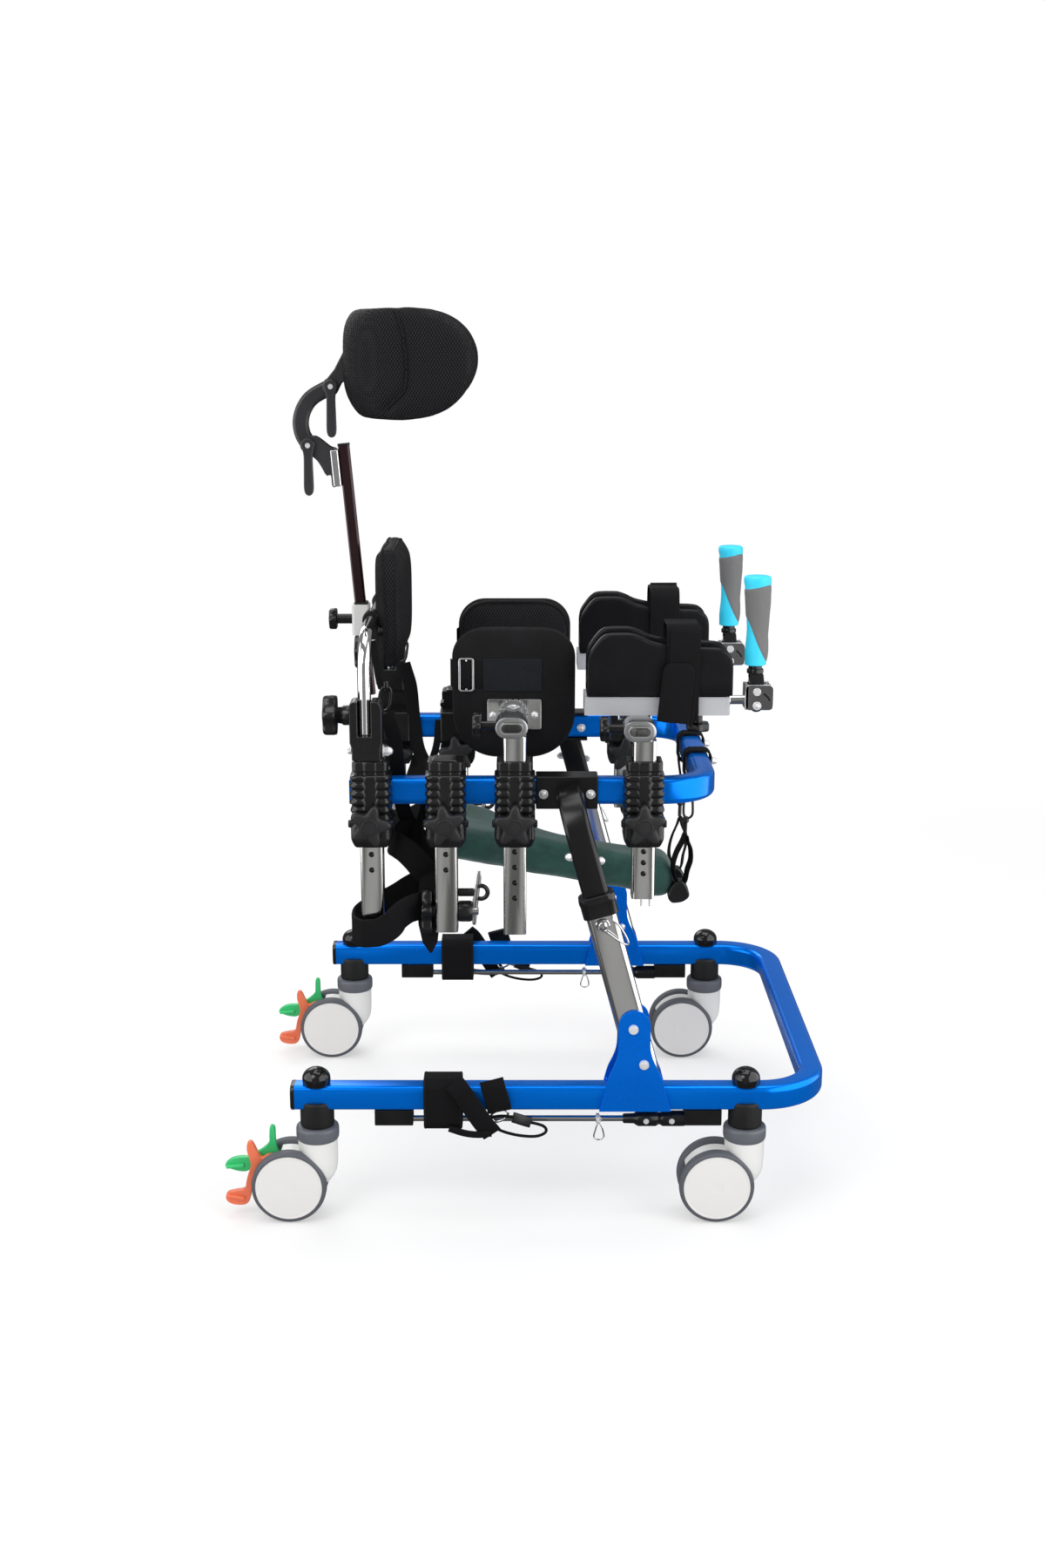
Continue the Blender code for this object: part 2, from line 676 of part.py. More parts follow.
def lower_tube():
    """Lower rail tube, open to the rear, with both rear ends plugged."""
    bm = blank()
    stations = u_route(-BASE_TAIL, BASE_FRONT_X, TRACK / 2, BASE_BEND, BEND_STEPS)
    sweep_frame(bm, stations, BASE_WIDTH, BASE_HEIGHT, BASE_ROUND, BASE_CENTRE)
    full = section(BASE_WIDTH + 0.0006, BASE_HEIGHT + 0.0006, BASE_ROUND, TUBE_STEPS)
    face = section(BASE_WIDTH * 0.86, BASE_HEIGHT * 0.86, BASE_ROUND * 0.86, TUBE_STEPS)
    end = -BASE_TAIL
    stations = ((end - END_CAP_LENGTH, face), (end - END_CAP_LENGTH * 0.6, full), (end + SINK / 2, full))
    caps = []
    for _, side in SIDES:
        cap = blank()
        loft(cap, [place(outline, (x, side * TRACK / 2, BASE_CENTRE), AY, AZ) for x, outline in stations])
        caps.append(cap)
    return fuse(bm, *caps)


def caster_places():
    """Names and swivel positions of the four casters."""
    return [(f"{end}_{name}", x, side * TRACK / 2)
            for end, x in (("rear", 0.0), ("front", WHEELBASE)) for name, side in SIDES]


def dome_cap(x, y):
    """Glossy dome over one caster bolt."""
    bm = blank()
    r, h = DOME_RADIUS, DOME_HEIGHT
    skirt = h * 0.3
    profile = [(0.0, -SINK / 2), (r * 0.94, -SINK / 2), (r, skirt)]
    profile += [(r * math.cos(a), skirt + (h - skirt) * math.sin(a)) for a in (0.6, 1.15)]
    profile.append((0.0, h))
    revolve(bm, profile, (x, y, BASE_TOP), AZ, 12)
    return bm


def caster_socket(x, y):
    """Bushing under one rail, with ears up both sides of the tube."""
    bottom, top = RING_TOP, BASE_BOTTOM + BUSHING_EAR
    profile = [(0.0, bottom), (BUSHING_RADIUS - 0.001, bottom), (BUSHING_RADIUS, bottom + 0.001),
               (BUSHING_RADIUS, top), (0.0, top)]
    bm = blank()
    revolve(bm, profile, (x, y, 0.0), AZ, 16)
    slot = blank()
    half = BASE_WIDTH / 2 - SINK / 4
    box(slot, (x - 2 * half, y - half, BASE_BOTTOM + SINK / 4), (x + 2 * half, y + half, top + 0.01))
    return boolean(bm, slot)


def base_frame():
    """Blue lower frame with its mast brackets, caster bushings and dome caps."""
    solids = [lower_tube()] + mast_brackets()
    bores = blank()
    for _, x, y in caster_places():
        solids += [dome_cap(x, y), caster_socket(x, y)]
        cylinder(bores, (x, y, 0.0), AZ, STEM_RADIUS + GAP, RING_TOP - SINK, BASE_BOTTOM + TUBE_WALL + SINK,
                 12)
    finish("base_frame", boolean(fuse(*solids), bores), BLUE)


def caster_housing_pattern(braked):
    """Caster body about its swivel axis: ring, column, hood between the wheels, and brake web."""
    axle = (-WHEEL_TRAIL, WHEEL_RADIUS)
    top = RING_TOP - RUNNING_GAP
    column = blank()
    profile = [(0.0, COLUMN_FOOT), (COLUMN_RADIUS * 0.45, COLUMN_FOOT),
               (COLUMN_RADIUS - 0.001, COLUMN_SHOULDER),
               (COLUMN_RADIUS - 0.001, top - RING_HEIGHT), (RING_RADIUS, top - RING_HEIGHT + 0.001),
               (RING_RADIUS, top - 0.003), (RING_RADIUS - 0.003, top), (STEM_RADIUS, top),
               (STEM_RADIUS, STEM_TOP),
               (0.0, STEM_TOP)]
    revolve(column, profile, (0.0, 0.0, 0.0), AZ, 16)
    hood = blank()
    rear = HOOD_REAR_BRAKED if braked else HOOD_REAR
    outline = arc(axle, HOOD_RADIUS, HOOD_FRONT, rear, 8)
    outline += arc(axle, HUB_RADIUS, max(rear, 180), 270, 3)
    side_plate(hood, outline, -HOOD_WIDTH / 2, HOOD_WIDTH / 2)
    body = boolean(column, hood, "UNION")
    if braked:
        web = blank()
        outline = arc(axle, HOOD_RADIUS - 0.002, HOOD_REAR_BRAKED - 25, WEB_REAR, 6) + [axle]
        side_plate(web, outline, -WEB_WIDTH / 2, WEB_WIDTH / 2)
        body = boolean(body, web, "UNION")
        pin = blank()
        reach = WEB_WIDTH / 2 + RUNNING_GAP + ROCKER_WIDTH
        cylinder(pin, (ROCKER_PIVOT[0], 0.0, ROCKER_PIVOT[1]), AY, ROCKER_PIN_RADIUS, -reach, reach, 10)
        body = boolean(body, pin, "UNION")
    tool = blank()
    inner, outer = HOOD_WIDTH / 2, TWIN_WIDTH / 2 + 0.004
    origin = (axle[0], 0.0, axle[1])
    for start, end in ((-outer, -inner), (inner, outer)):
        cylinder(tool, origin, AY, (WHEEL_RADIUS + WHEEL_CLEARANCE) / math.cos(math.pi / 20), start, end,
                 20)
    body = boolean(body, tool)
    bore = blank()
    cylinder(bore, origin, AY, AXLE_RADIUS + RUNNING_GAP, -outer, outer, 10)
    return boolean(body, bore)


def caster_housings():
    """Four trailing caster bodies; the rear pair carries the brake webs."""
    for end, braked in (("rear", True), ("front", False)):
        shape = pattern(end, caster_housing_pattern(braked))
        for name, x, y in caster_places():
            if name.startswith(end):
                bm = blank()
                stamp(bm, shape, Matrix.Translation((x, y, 0.0)))
                finish(f"caster_housing_{name}", bm, CASTER_WHITE, (x, y, RING_TOP))


def caster_wheels():
    """Twin wheels joined by their axle, with a flat of each tyre on the floor."""
    half, inner = TWIN_WIDTH / 2, HOOD_WIDTH / 2 + WHEEL_CLEARANCE
    radius = WHEEL_RADIUS / math.cos(math.pi / WHEEL_SIDES)
    outside = [(0.0, half), (DISC_RADIUS, half), (radius, half - 0.004), (radius, inner + 0.003),
               (radius - 0.003, inner), (AXLE_RADIUS, inner)]
    profile = outside + [(r, -y) for r, y in reversed(outside)]
    for name, x, y in caster_places():
        pivot = (x - WHEEL_TRAIL, y, WHEEL_RADIUS)
        bm = blank()
        revolve(bm, profile, pivot, AY, WHEEL_SIDES, phase=0.5)
        finish(f"caster_wheels_{name}", bm, TYRE_GREY, pivot)


def pedal(outline, name, x, y, start, look):
    """Pedal plate with a bore around the brake pin."""
    bm = blank()
    side_plate(bm, [(a / 1000, b / 1000) for a, b in outline], start, start + ROCKER_WIDTH)
    bore = blank()
    cylinder(bore, (ROCKER_PIVOT[0], 0.0, ROCKER_PIVOT[1]), AY, ROCKER_PIN_RADIUS + GAP, -0.03, 0.03, 12)
    shape = boolean(bm, bore)
    bmesh.ops.translate(shape, verts=shape.verts, vec=(x, y, 0.0))
    finish(name, shape, look, (x + ROCKER_PIVOT[0], y, ROCKER_PIVOT[1]))


def pedals():
    """Green release and orange brake pedals, side by side on the pin of each rear caster."""
    inner = WEB_WIDTH / 2 + GAP
    for name, x, y in caster_places():
        if name.startswith("rear"):
            pedal(LOCK_PEDAL_MM, f"lock_pedal_{name}", x, y, inner, PEDAL_GREEN)
            pedal(BRAKE_PEDAL_MM, f"brake_pedal_{name}", x, y, -inner - ROCKER_WIDTH, PEDAL_ORANGE)


def mast_brackets():
    """Four folded plates that hold the masts to the lower rails."""
    lower = BASE_WIDTH / 2 - SINK / 4
    upper = MAST_OUTER_DEPTH / 2 + GAP
    neck_rear, neck_front = BRACKET_NECK_X
    middle = (neck_rear + neck_front) / 2
    rows = [(BASE_BOTTOM + 0.001, BRACKET_REAR_X, BRACKET_FRONT_X, lower),
            (BASE_TOP + 0.004, BRACKET_REAR_X + 0.0085, BRACKET_FRONT_X - 0.0095, lower),
            (BRACKET_CREASES[0], BRACKET_REAR_X + 0.0135, BRACKET_FRONT_X - 0.0155, lower),
            (0.218, neck_rear - 0.0045, neck_front + 0.0055, (lower + upper) / 2),
            (BRACKET_CREASES[1], neck_rear - 0.0008, neck_front + 0.0012, upper),
            (BRACKET_NECK_TOP, neck_rear, neck_front, upper)]
    half = (neck_front - neck_rear) / 2
    for angle in (35, 60, 80):
        turn = math.radians(angle)
        rows.append((BRACKET_NECK_TOP + half * math.sin(turn), middle - half * math.cos(turn),
                     middle + half * math.cos(turn), upper))
    plates = []
    for _, side in SIDES:
        for face in (-1.0, 1.0):
            rings = []
            for z, rear, front, near in rows:
                y0 = side * TRACK / 2 + face * near
                y1 = y0 + face * BRACKET_PLATE
                rings.append([Vector((rear, y0, z)), Vector((front, y0, z)), Vector((front, y1, z)),
                              Vector((rear, y1, z))])
            plate = blank()
            loft(plate, rings)
            plates.append(plate)
    return plates


def mast_ring(outline, s, side):
    """Outline across a mast at one height."""
    return [mast_point(s, a, b, side) for a, b in outline]


def mast_tubes():
    """Silver lower mast tubes, cut level on the rails, each with the collar that guides the inner mast."""
    wall = 2 * COLLAR_WALL
    outer = section(MAST_OUTER_WIDTH, MAST_OUTER_DEPTH, MAST_ROUND, 2)
    inner = section(MAST_OUTER_WIDTH - 2 * TUBE_WALL, MAST_OUTER_DEPTH - 2 * TUBE_WALL,
                    MAST_ROUND - TUBE_WALL, 2)
    collar = section(MAST_OUTER_WIDTH + wall, MAST_OUTER_DEPTH + wall, MAST_ROUND + COLLAR_WALL, 2)
    throat = section(MAST_INNER_WIDTH + 2 * RUNNING_GAP, MAST_INNER_DEPTH + 2 * RUNNING_GAP,
                     MAST_ROUND - 0.001, 2)
    skirt, top = MAST_OUTER_LENGTH - COLLAR_SKIRT, MAST_OUTER_LENGTH + COLLAR_LIP
    for name, side in SIDES:
        feet = [[mast_point((GAP - a * math.sin(LEAN)) / math.cos(LEAN), a, b, side) for a, b in outline]
                for outline in (outer, inner)]
        outside = [feet[0], mast_ring(outer, skirt, side), mast_ring(collar, skirt, side),
                   mast_ring(collar, top, side)]
        inside = [feet[1], mast_ring(inner, MAST_OUTER_LENGTH, side),
                  mast_ring(throat, MAST_OUTER_LENGTH, side),
                  mast_ring(throat, top, side)]
        bm = blank()
        hollow(bm, outside, inside)
        finish(f"mast_tube_{name}", bm, CHROME)


# Upper frame


def upper_frame():
    """Blue upper tube, open to the rear, with its end plugs."""
    bm = blank()
    stations = u_route(UPPER_REAR_X, UPPER_FRONT_X, UPPER_TRACK / 2, UPPER_BEND, BEND_STEPS)
    sweep_frame(bm, stations, UPPER_WIDTH, UPPER_HEIGHT, BASE_ROUND, UPPER_CENTRE)
    finish("upper_frame", bm, BLUE)


def mast_arms():
    """Black inner masts with their elbows, and the channel plates that grip the upper rails."""
    outline = section(MAST_INNER_WIDTH, MAST_INNER_DEPTH, MAST_ROUND - 0.001, 2)
    plate_face = UPPER_TRACK / 2 + UPPER_WIDTH / 2 + GAP + SADDLE_PLATE_WALL
    end_v = plate_face - SINK - TRACK / 2
    for name, side in SIDES:
        rings = [mast_ring(outline, MAST_INNER_START, side)]
        for step in range(ELBOW_STEPS + 1):
            turn = math.radians(90 * step / ELBOW_STEPS)
            ring = []
            for a, b in outline:
                reach = MAST_ELBOW_RADIUS + b
                s = MAST_ELBOW_START + reach * math.sin(turn)
                ring.append(mast_point(s, a, -MAST_ELBOW_RADIUS + reach * math.cos(turn), side))
            rings.append(ring)
        rings.append([mast_point(MAST_ELBOW_START + MAST_ELBOW_RADIUS + b, a, end_v, side) for a,
                      b in outline])
        mast = blank()
        loft(mast, rings)
        face, inside = plate_face, UPPER_TRACK / 2 - UPPER_WIDTH / 2
        wall, slack = SADDLE_PLATE_WALL, GAP
        top, bottom = UPPER_TOP + slack, UPPER_BOTTOM - slack
        channel = [(inside, top), (face - wall, top), (face - wall, bottom), (inside, bottom),
                   (inside, bottom - wall), (face - 0.002, bottom - wall), (face, bottom - wall + 0.002),
                   (face, top + wall - 0.002), (face - 0.002, top + wall), (inside, top + wall)]
        grip = blank()
        loft(grip, [[Vector((x, side * y, z)) for y, z in channel] for x in SADDLE_PLATE_X])
        finish(f"mast_arm_{name}", fuse(mast, grip), BLACK_METAL)


def clamp_pattern():
    """Ribbed clamp body and rail jaw about the rail centre, with the post toward +Y."""
    near, far = UPPER_WIDTH / 2 + GAP, CLAMP_FACE
    half = CLAMP_WIDTH / 2

    def outline(inset, z, groove):
        """Half-turn outline of the clamp; the middle band keeps full depth across the grooves."""
        edge, face = half - inset - groove, far - inset / 2 - groove
        right = [(edge, near), (edge, face - CLAMP_ROUND), (edge - CLAMP_ROUND, face), (BAND_HALF, far - inset / 2)]
        ring = right + [(-x, y) for x, y in reversed(right)]
        return [Vector((x, y, z)) for x, y in ring]

    stations = [(CLAMP_ABOVE - drop, inset, 0.0) for drop, inset in CLAMP_CAP]
    for rib in reversed(range(RIB_COUNT)):
        centre = RIB_START + RIB_PITCH * (rib + 0.5)
        stations += [(centre, 0.0, RIB_DEPTH), (centre - RIB_PITCH / 2, 0.0, 0.0)]
    stations += [(rise - CLAMP_BELOW, inset, 0.0) for rise, inset in CLAMP_CHIN]
    outer = [outline(inset, z, groove) for z, inset, groove in stations]
    bore = POST_SIZE / 2 + GAP
    right = [(bore, -bore), (bore, bore * 0.4), (bore, bore), (bore * 0.4, bore)]
    square = right + [(-x, y) for x, y in reversed(right)]
    inner = [[Vector((x, y + POST_OFFSET, z)) for x, y in square] for z in (CLAMP_ABOVE, -CLAMP_BELOW)]
    bm = blank()
    hollow(bm, outer, inner)
    above, below = UPPER_HEIGHT / 2 + GAP, -UPPER_HEIGHT / 2 - GAP
    back, front = -UPPER_WIDTH / 2 - GAP, near + SINK
    outline = [(front, above), (back, above), (back, below), (front, below), (front, below - CLAMP_JAW),
               (back - 0.002, below - CLAMP_JAW), (back - CLAMP_JAW, below - 0.002),
               (back - CLAMP_JAW, above + 0.002),
               (back - 0.002, above + CLAMP_JAW), (front, above + CLAMP_JAW)]
    jaw = blank()
    prism(jaw, outline, AY, AZ, -CLAMP_JAW_HALF, CLAMP_JAW_HALF)
    return fuse(bm, jaw)


def post_clamps():
    """Eight ribbed clamps that hold the posts to the upper rails, each with a star knob on both faces."""
    shape = pattern("clamp", clamp_pattern())
    inner_hub = UPPER_WIDTH + 2 * GAP + CLAMP_JAW + INNER_KNOB_CLEARANCE
    for name, side in SIDES:
        for label, x, turn in zip(POST_NAMES, CLAMP_X, KNOB_TIP_ANGLES):
            phase = math.radians(180 - turn)
            bm = blank()
            stamp(bm, shape, Matrix())
            outer = knob(star(KNOB_TIP, KNOB_WAIST, 5, 4, phase), (0.0, CLAMP_FACE, -KNOB_DROP), AY, AZ,
                         KNOB_STEM, KNOB_DEPTH, KNOB_STEM_RADIUS)
            inner = knob(star(KNOB_TIP, KNOB_WAIST, 5, 2, phase),
                         (0.0, UPPER_WIDTH / 2 + GAP, -INNER_KNOB_DROP),
                         -AY, AZ, inner_hub, KNOB_DEPTH, KNOB_STEM_RADIUS)
            body = fuse(bm, outer, inner)
            bmesh.ops.transform(body, matrix=mirror_to(side, x, UPPER_TRACK / 2, UPPER_CENTRE),
                                verts=body.verts)
            finish(f"clamp_{label}_{name}", body, BLACK)


# Posts


def stadium(width, height, steps):
    """Flat-sided oval outline."""
    radius, reach = height / 2, (width - height) / 2
    right = arc((reach, 0.0), radius, -90, 90, steps)
    return right + [(-x, -y) for x, y in right]


def post_tube(x, side, bottom, top, holes):
    """Square silver post with a closed foot and locking holes in its outer wall."""
    bm = blank()
    y = side * POST_Y
    outer = section(POST_SIZE, POST_SIZE, POST_ROUND, 1)
    inner = section(POST_SIZE - 2 * POST_WALL, POST_SIZE - 2 * POST_WALL, POST_ROUND - POST_WALL, 1)
    loft(bm, [place(inner, (x, y, bottom + POST_PLUG), AX, AY), place(inner, (x, y, top), AX, AY),
              place(outer, (x, y, top), AX, AY), place(outer, (x, y, bottom), AX, AY)])
    drill = blank()
    for z in holes:
        cylinder(drill, (x, y, z), AY * side, POST_HOLE_RADIUS, POST_SIZE * 0.3, POST_SIZE * 0.7, 6)
    return boolean(bm, drill)


def socket_parts(x, side, centre_z, bored):
    """Cast socket on a post and the knob at its rear; a bored socket lets its oval bar slide."""
    outer = stadium(SOCKET_WIDTH, SOCKET_HEIGHT, 4)
    origin = (x, side * POST_Y, centre_z)
    bm = blank()
    if bored:
        inner = stadium(OVAL_WIDTH + 2 * GAP, OVAL_HEIGHT + 2 * GAP, 4)
        band(bm, outer, inner, AX, AZ, -SOCKET_LENGTH / 2, SOCKET_LENGTH / 2, origin)
    else:
        prism(bm, outer, AX, AZ, -SOCKET_LENGTH / 2, SOCKET_LENGTH / 2, origin)
    grip = knob(star(SMALL_KNOB_RADIUS, SMALL_KNOB_RADIUS * 0.82, 6, 2),
                (x - SOCKET_WIDTH / 2, side * POST_Y, centre_z), -AX, AZ, SMALL_KNOB_REACH,
                SMALL_KNOB_DEPTH,
                SMALL_STEM_RADIUS)
    return [bm, grip]


def oval_bar(x, side, centre_z, inner_y, outer_y):
    """Hollow oval bar across the walker between two distances from its middle."""
    outer = stadium(OVAL_WIDTH, OVAL_HEIGHT, 4)
    inner = stadium(OVAL_WIDTH - 2 * TUBE_WALL, OVAL_HEIGHT - 2 * TUBE_WALL, 4)
    bm = blank()
    band(bm, outer, inner, AX, AZ, -inner_y * side, -outer_y * side, (x, 0.0, centre_z))
    return bm


def back_posts():
    """Rear posts, each topped by the slotted fork block and big knob that lock the hoop."""
    rear, front = FORK_X
    slot_rear, slot_front = HOOP_X - HOOP_RADIUS - GAP, HOOP_X + HOOP_RADIUS + GAP
    corner = 0.006
    outline = [(rear + 0.0025, FORK_FOOT), (front - 0.0025, FORK_FOOT), (front - 0.0025, FORK_FOOT + 0.014),
               (front, FORK_FOOT + 0.022)]
    outline += [(front, FORK_TOP - corner), (front - 0.002, FORK_TOP - 0.002), (front - corner, FORK_TOP),
                (slot_front, FORK_TOP), (slot_front, FORK_SLOT_BOTTOM), (slot_rear, FORK_SLOT_BOTTOM),
                (slot_rear, FORK_TOP), (rear + corner * 0.5, FORK_TOP), (rear, FORK_TOP - corner * 0.5)]
    outline += [(rear, FORK_FOOT + 0.022), (rear + 0.0025, FORK_FOOT + 0.014)]
    holes = (BACK_HOLES_TOP, BACK_HOLES_TOP - POST_HOLE_PITCH)
    for name, side in SIDES:
        y = side * POST_Y
        post = post_tube(CLAMP_X[0], side, BACK_POST_BOTTOM, FORK_FOOT + SINK, holes)
        fork = blank()
        side_plate(fork, outline, y - FORK_DEPTH / 2, y + FORK_DEPTH / 2)
        grip = knob(star(BIG_KNOB_RADIUS, BIG_KNOB_RADIUS * 0.84, 6, 3), (rear, y, BIG_KNOB_Z), -AX, AZ,
                    BIG_KNOB_REACH, BIG_KNOB_DEPTH, BIG_STEM_RADIUS)
        finish(f"back_post_{name}", fuse(post, fork, grip), CHROME)


def back_hoop():
    """Bent chrome hoop that stands in both forks and crosses behind the back pad."""
    foot = FORK_SLOT_BOTTOM + GAP
    path = [(-POST_Y, foot)]
    path += arc((-POST_Y + HOOP_BEND, HOOP_BAR_Z - HOOP_BEND), HOOP_BEND, 180, 90, 5)
    path += arc((POST_Y - HOOP_BEND, HOOP_BAR_Z - HOOP_BEND), HOOP_BEND, 90, 0, 5)
    path.append((POST_Y, foot))
    bm = blank()
    rod(bm, [(HOOP_X, y, z) for y, z in path], HOOP_RADIUS, 10)
    finish("back_hoop", bm, CHROME)


def seat_posts():
    """Second pair of posts, with the thigh strap knob and hook at the foot of each."""
    holes = (BACK_HOLES_TOP, BACK_HOLES_TOP - POST_HOLE_PITCH)
    x = CLAMP_X[1]
    for name, side in SIDES:
        post = post_tube(x, side, SEAT_POST_BOTTOM, CLAMP_TOP + SINK, holes)
        full = section(POST_SIZE + 0.003, POST_SIZE + 0.003, POST_ROUND, 1)
        top = section(POST_SIZE - 0.004, POST_SIZE - 0.004, POST_ROUND, 1)
        plug = blank()
        heights = ((CLAMP_TOP + GAP, full), (CLAMP_TOP + SEAT_PLUG * 0.7, full),
                   (CLAMP_TOP + SEAT_PLUG, top))
        loft(plug, [place(outline, (x, side * POST_Y, z), AX, AY) for z, outline in heights])
        centre = Vector((x, side * POST_Y, SEAT_POST_BOTTOM + 0.025))
        face = POST_SIZE / 2
        grip = knob(star(SEAT_KNOB_RADIUS, SEAT_KNOB_RADIUS * 0.62, 5, 3), centre - AX * face, -AX, AZ,
                    0.004, KNOB_DEPTH, SMALL_STEM_RADIUS, POST_WALL * 0.7)
        barrel = blank()
        cylinder(barrel, centre + AX * face, AX, 0.014, -POST_WALL * 0.7, 0.019, 12)
        hook = blank()
        rod(hook, [centre + AX * a + AZ * b for a, b in HOOK_PATH], HOOK_RADIUS, 6)
        finish(f"seat_post_{name}", fuse(post, plug, grip, barrel, hook), CHROME,
               (x, side * POST_Y, UPPER_CENTRE))


def trunk_posts():
    """Third pair of posts, each with the socket and knob for a trunk support."""
    top = SOCKET_CENTRE_Z - SOCKET_HEIGHT / 2 + SINK
    holes = [TRUNK_HOLES_TOP - POST_HOLE_PITCH * step for step in range(4)]
    for name, side in SIDES:
        post = post_tube(CLAMP_X[2], side, TRUNK_POST_BOTTOM, top, holes)
        body = fuse(post, *socket_parts(TRUNK_SOCKET_X, side, SOCKET_CENTRE_Z, True))
        finish(f"trunk_post_{name}", body, CHROME, (CLAMP_X[2], side * POST_Y, UPPER_CENTRE))


def trunk_arms():
    """Oval bars with the toothed disc and the plate behind each trunk pad."""
    plate_y = TRUNK_PAD_OUTER_Y + GAP
    disc_y = plate_y + TRUNK_PLATE_THICKNESS
    bar_y = disc_y + RATCHET_DEPTH - SINK
    outline = section(TRUNK_PLATE_X[1] - TRUNK_PLATE_X[0], TRUNK_PLATE_Z[1] - TRUNK_PLATE_Z[0], 0.003, 1,
                      (sum(TRUNK_PLATE_X) / 2, sum(TRUNK_PLATE_Z) / 2))
    teeth = star(RATCHET_RADIUS, RATCHET_RADIUS - RATCHET_TOOTH, RATCHET_TEETH, 2)
    toothed = [(a + TRUNK_SOCKET_X, b + SOCKET_CENTRE_Z) for a, b in teeth]
    for name, side in SIDES:
        plate, disc = blank(), blank()
        side_plate(plate, outline, side * plate_y, side * (plate_y + TRUNK_PLATE_THICKNESS))
        side_plate(disc, toothed, side * (disc_y - SINK / 2), side * (disc_y + RATCHET_DEPTH))
        bar = oval_bar(TRUNK_SOCKET_X, side, SOCKET_CENTRE_Z, bar_y, POST_Y + SOCKET_LENGTH / 2 + 0.003)
        finish(f"trunk_arm_{name}", fuse(plate, disc, bar), CHROME,
               (TRUNK_SOCKET_X, side * POST_Y, SOCKET_CENTRE_Z))


def arm_posts():
    """Front pair of posts, each with the socket, knob and oval bar under a forearm tray."""
    top = ARM_SOCKET_Z - SOCKET_HEIGHT / 2 + SINK
    holes = [ARM_HOLES_TOP - ARM_HOLE_PITCH * step for step in range(3)]
    for name, side in SIDES:
        post = post_tube(CLAMP_X[3], side, ARM_POST_BOTTOM, top, holes)
        bar = oval_bar(ARM_SOCKET_X, side, ARM_SOCKET_Z, ARM_CENTRE_Y - 0.026,
                       POST_Y + SOCKET_LENGTH / 2 + 0.003)
        body = fuse(post, *socket_parts(ARM_SOCKET_X, side, ARM_SOCKET_Z, False), bar)
        finish(f"arm_post_{name}", body, CHROME, (CLAMP_X[3], side * POST_Y, UPPER_CENTRE))


def arm_trays():
    """Grey channels under the forearm pads, closed by an end plate at each end."""
    half, wall = TRAY_WIDTH / 2, TRAY_WALL
    channel = [(half, 0.0), (half, TRAY_HEIGHT), (half - wall, TRAY_HEIGHT), (half - wall, wall),
               (-half + wall, wall), (-half + wall, TRAY_HEIGHT), (-half, TRAY_HEIGHT), (-half, 0.0)]
    rear, front = TRAY_X
    for name, side in SIDES:
        y = side * ARM_CENTRE_Y
        tray, back, nose = blank(), blank(), blank()
        prism(tray, channel, AY, AZ, rear, front, (0.0, y, TRAY_BOTTOM))
        lap, rim = TRAY_END_LAP, TRAY_END_RIM
        low, high = TRAY_BOTTOM, TRAY_TOP + rim
        box(back, (rear - TRAY_END_PLATE, y - half - rim, low + rim), (rear + lap, y + half + rim, high))
        box(nose, (front - lap, y - half - rim, low + rim), (front + TRAY_END_PLATE, y + half + rim, high))
        bore = blank()
        cylinder(bore, (0.0, y, ROD_Z), AX, ROD_RADIUS + RUNNING_GAP, front - 0.004, front + 0.010, 12)
        body = boolean(fuse(tray, back, nose), bore)
        finish(f"arm_tray_{name}", body, TRAY_GREY, (TRAY_PIVOT_X, y, TRAY_BOTTOM))


def arm_pads():
    """Moulded forearm troughs, each held to its tray by a strap."""
    half, wall, floor = ARM_PAD_WIDTH / 2, ARM_PAD_WALL, ARM_PAD_FLOOR
    base = TRAY_TOP + TRAY_END_RIM + GAP
    for name, side in SIDES:
        y = side * ARM_CENTRE_Y
        bm = blank()
        rings = []
        for x, top in ARM_PAD_STATIONS:
            height = max(top - base, floor + 0.001)
            outline = [(half - 0.003, 0.0), (half, 0.004), (half, height * 0.6),
                       (half - wall * 0.25, height - 0.002),
                       (half - wall * 0.55, height), (half - wall, height - 0.004)]
            outline += [(half - wall - 0.002, min(floor + 0.006, height - 0.0045)),
                        (half * 0.3, floor - 0.002)]
            ring = outline + [(-a, b) for a, b in reversed(outline)]
            rings.append([Vector((x, y + a, base + b)) for a, b in ring])
        loft(bm, rings)
        low, high = TRAY_BOTTOM - ARM_STRAP_THICKNESS - 2 * GAP, ARM_STRAP_TOP
        tall = high - low
        middle = (low + high) / 2
        wide = ARM_PAD_WIDTH + ARM_STRAP_THICKNESS
        slim = 2 * ARM_STRAP_THICKNESS
        outer = section(wide, tall, 0.006, 2, (y, middle))
        inner = section(wide - slim, tall - slim, 0.003, 2, (y, middle))
        strap = blank()
        band(strap, outer, inner, AY, AZ, *ARM_STRAP_X)
        finish(f"arm_pad_{name}", fuse(bm, strap), BLACK_SOFT, (TRAY_PIVOT_X, y, base))


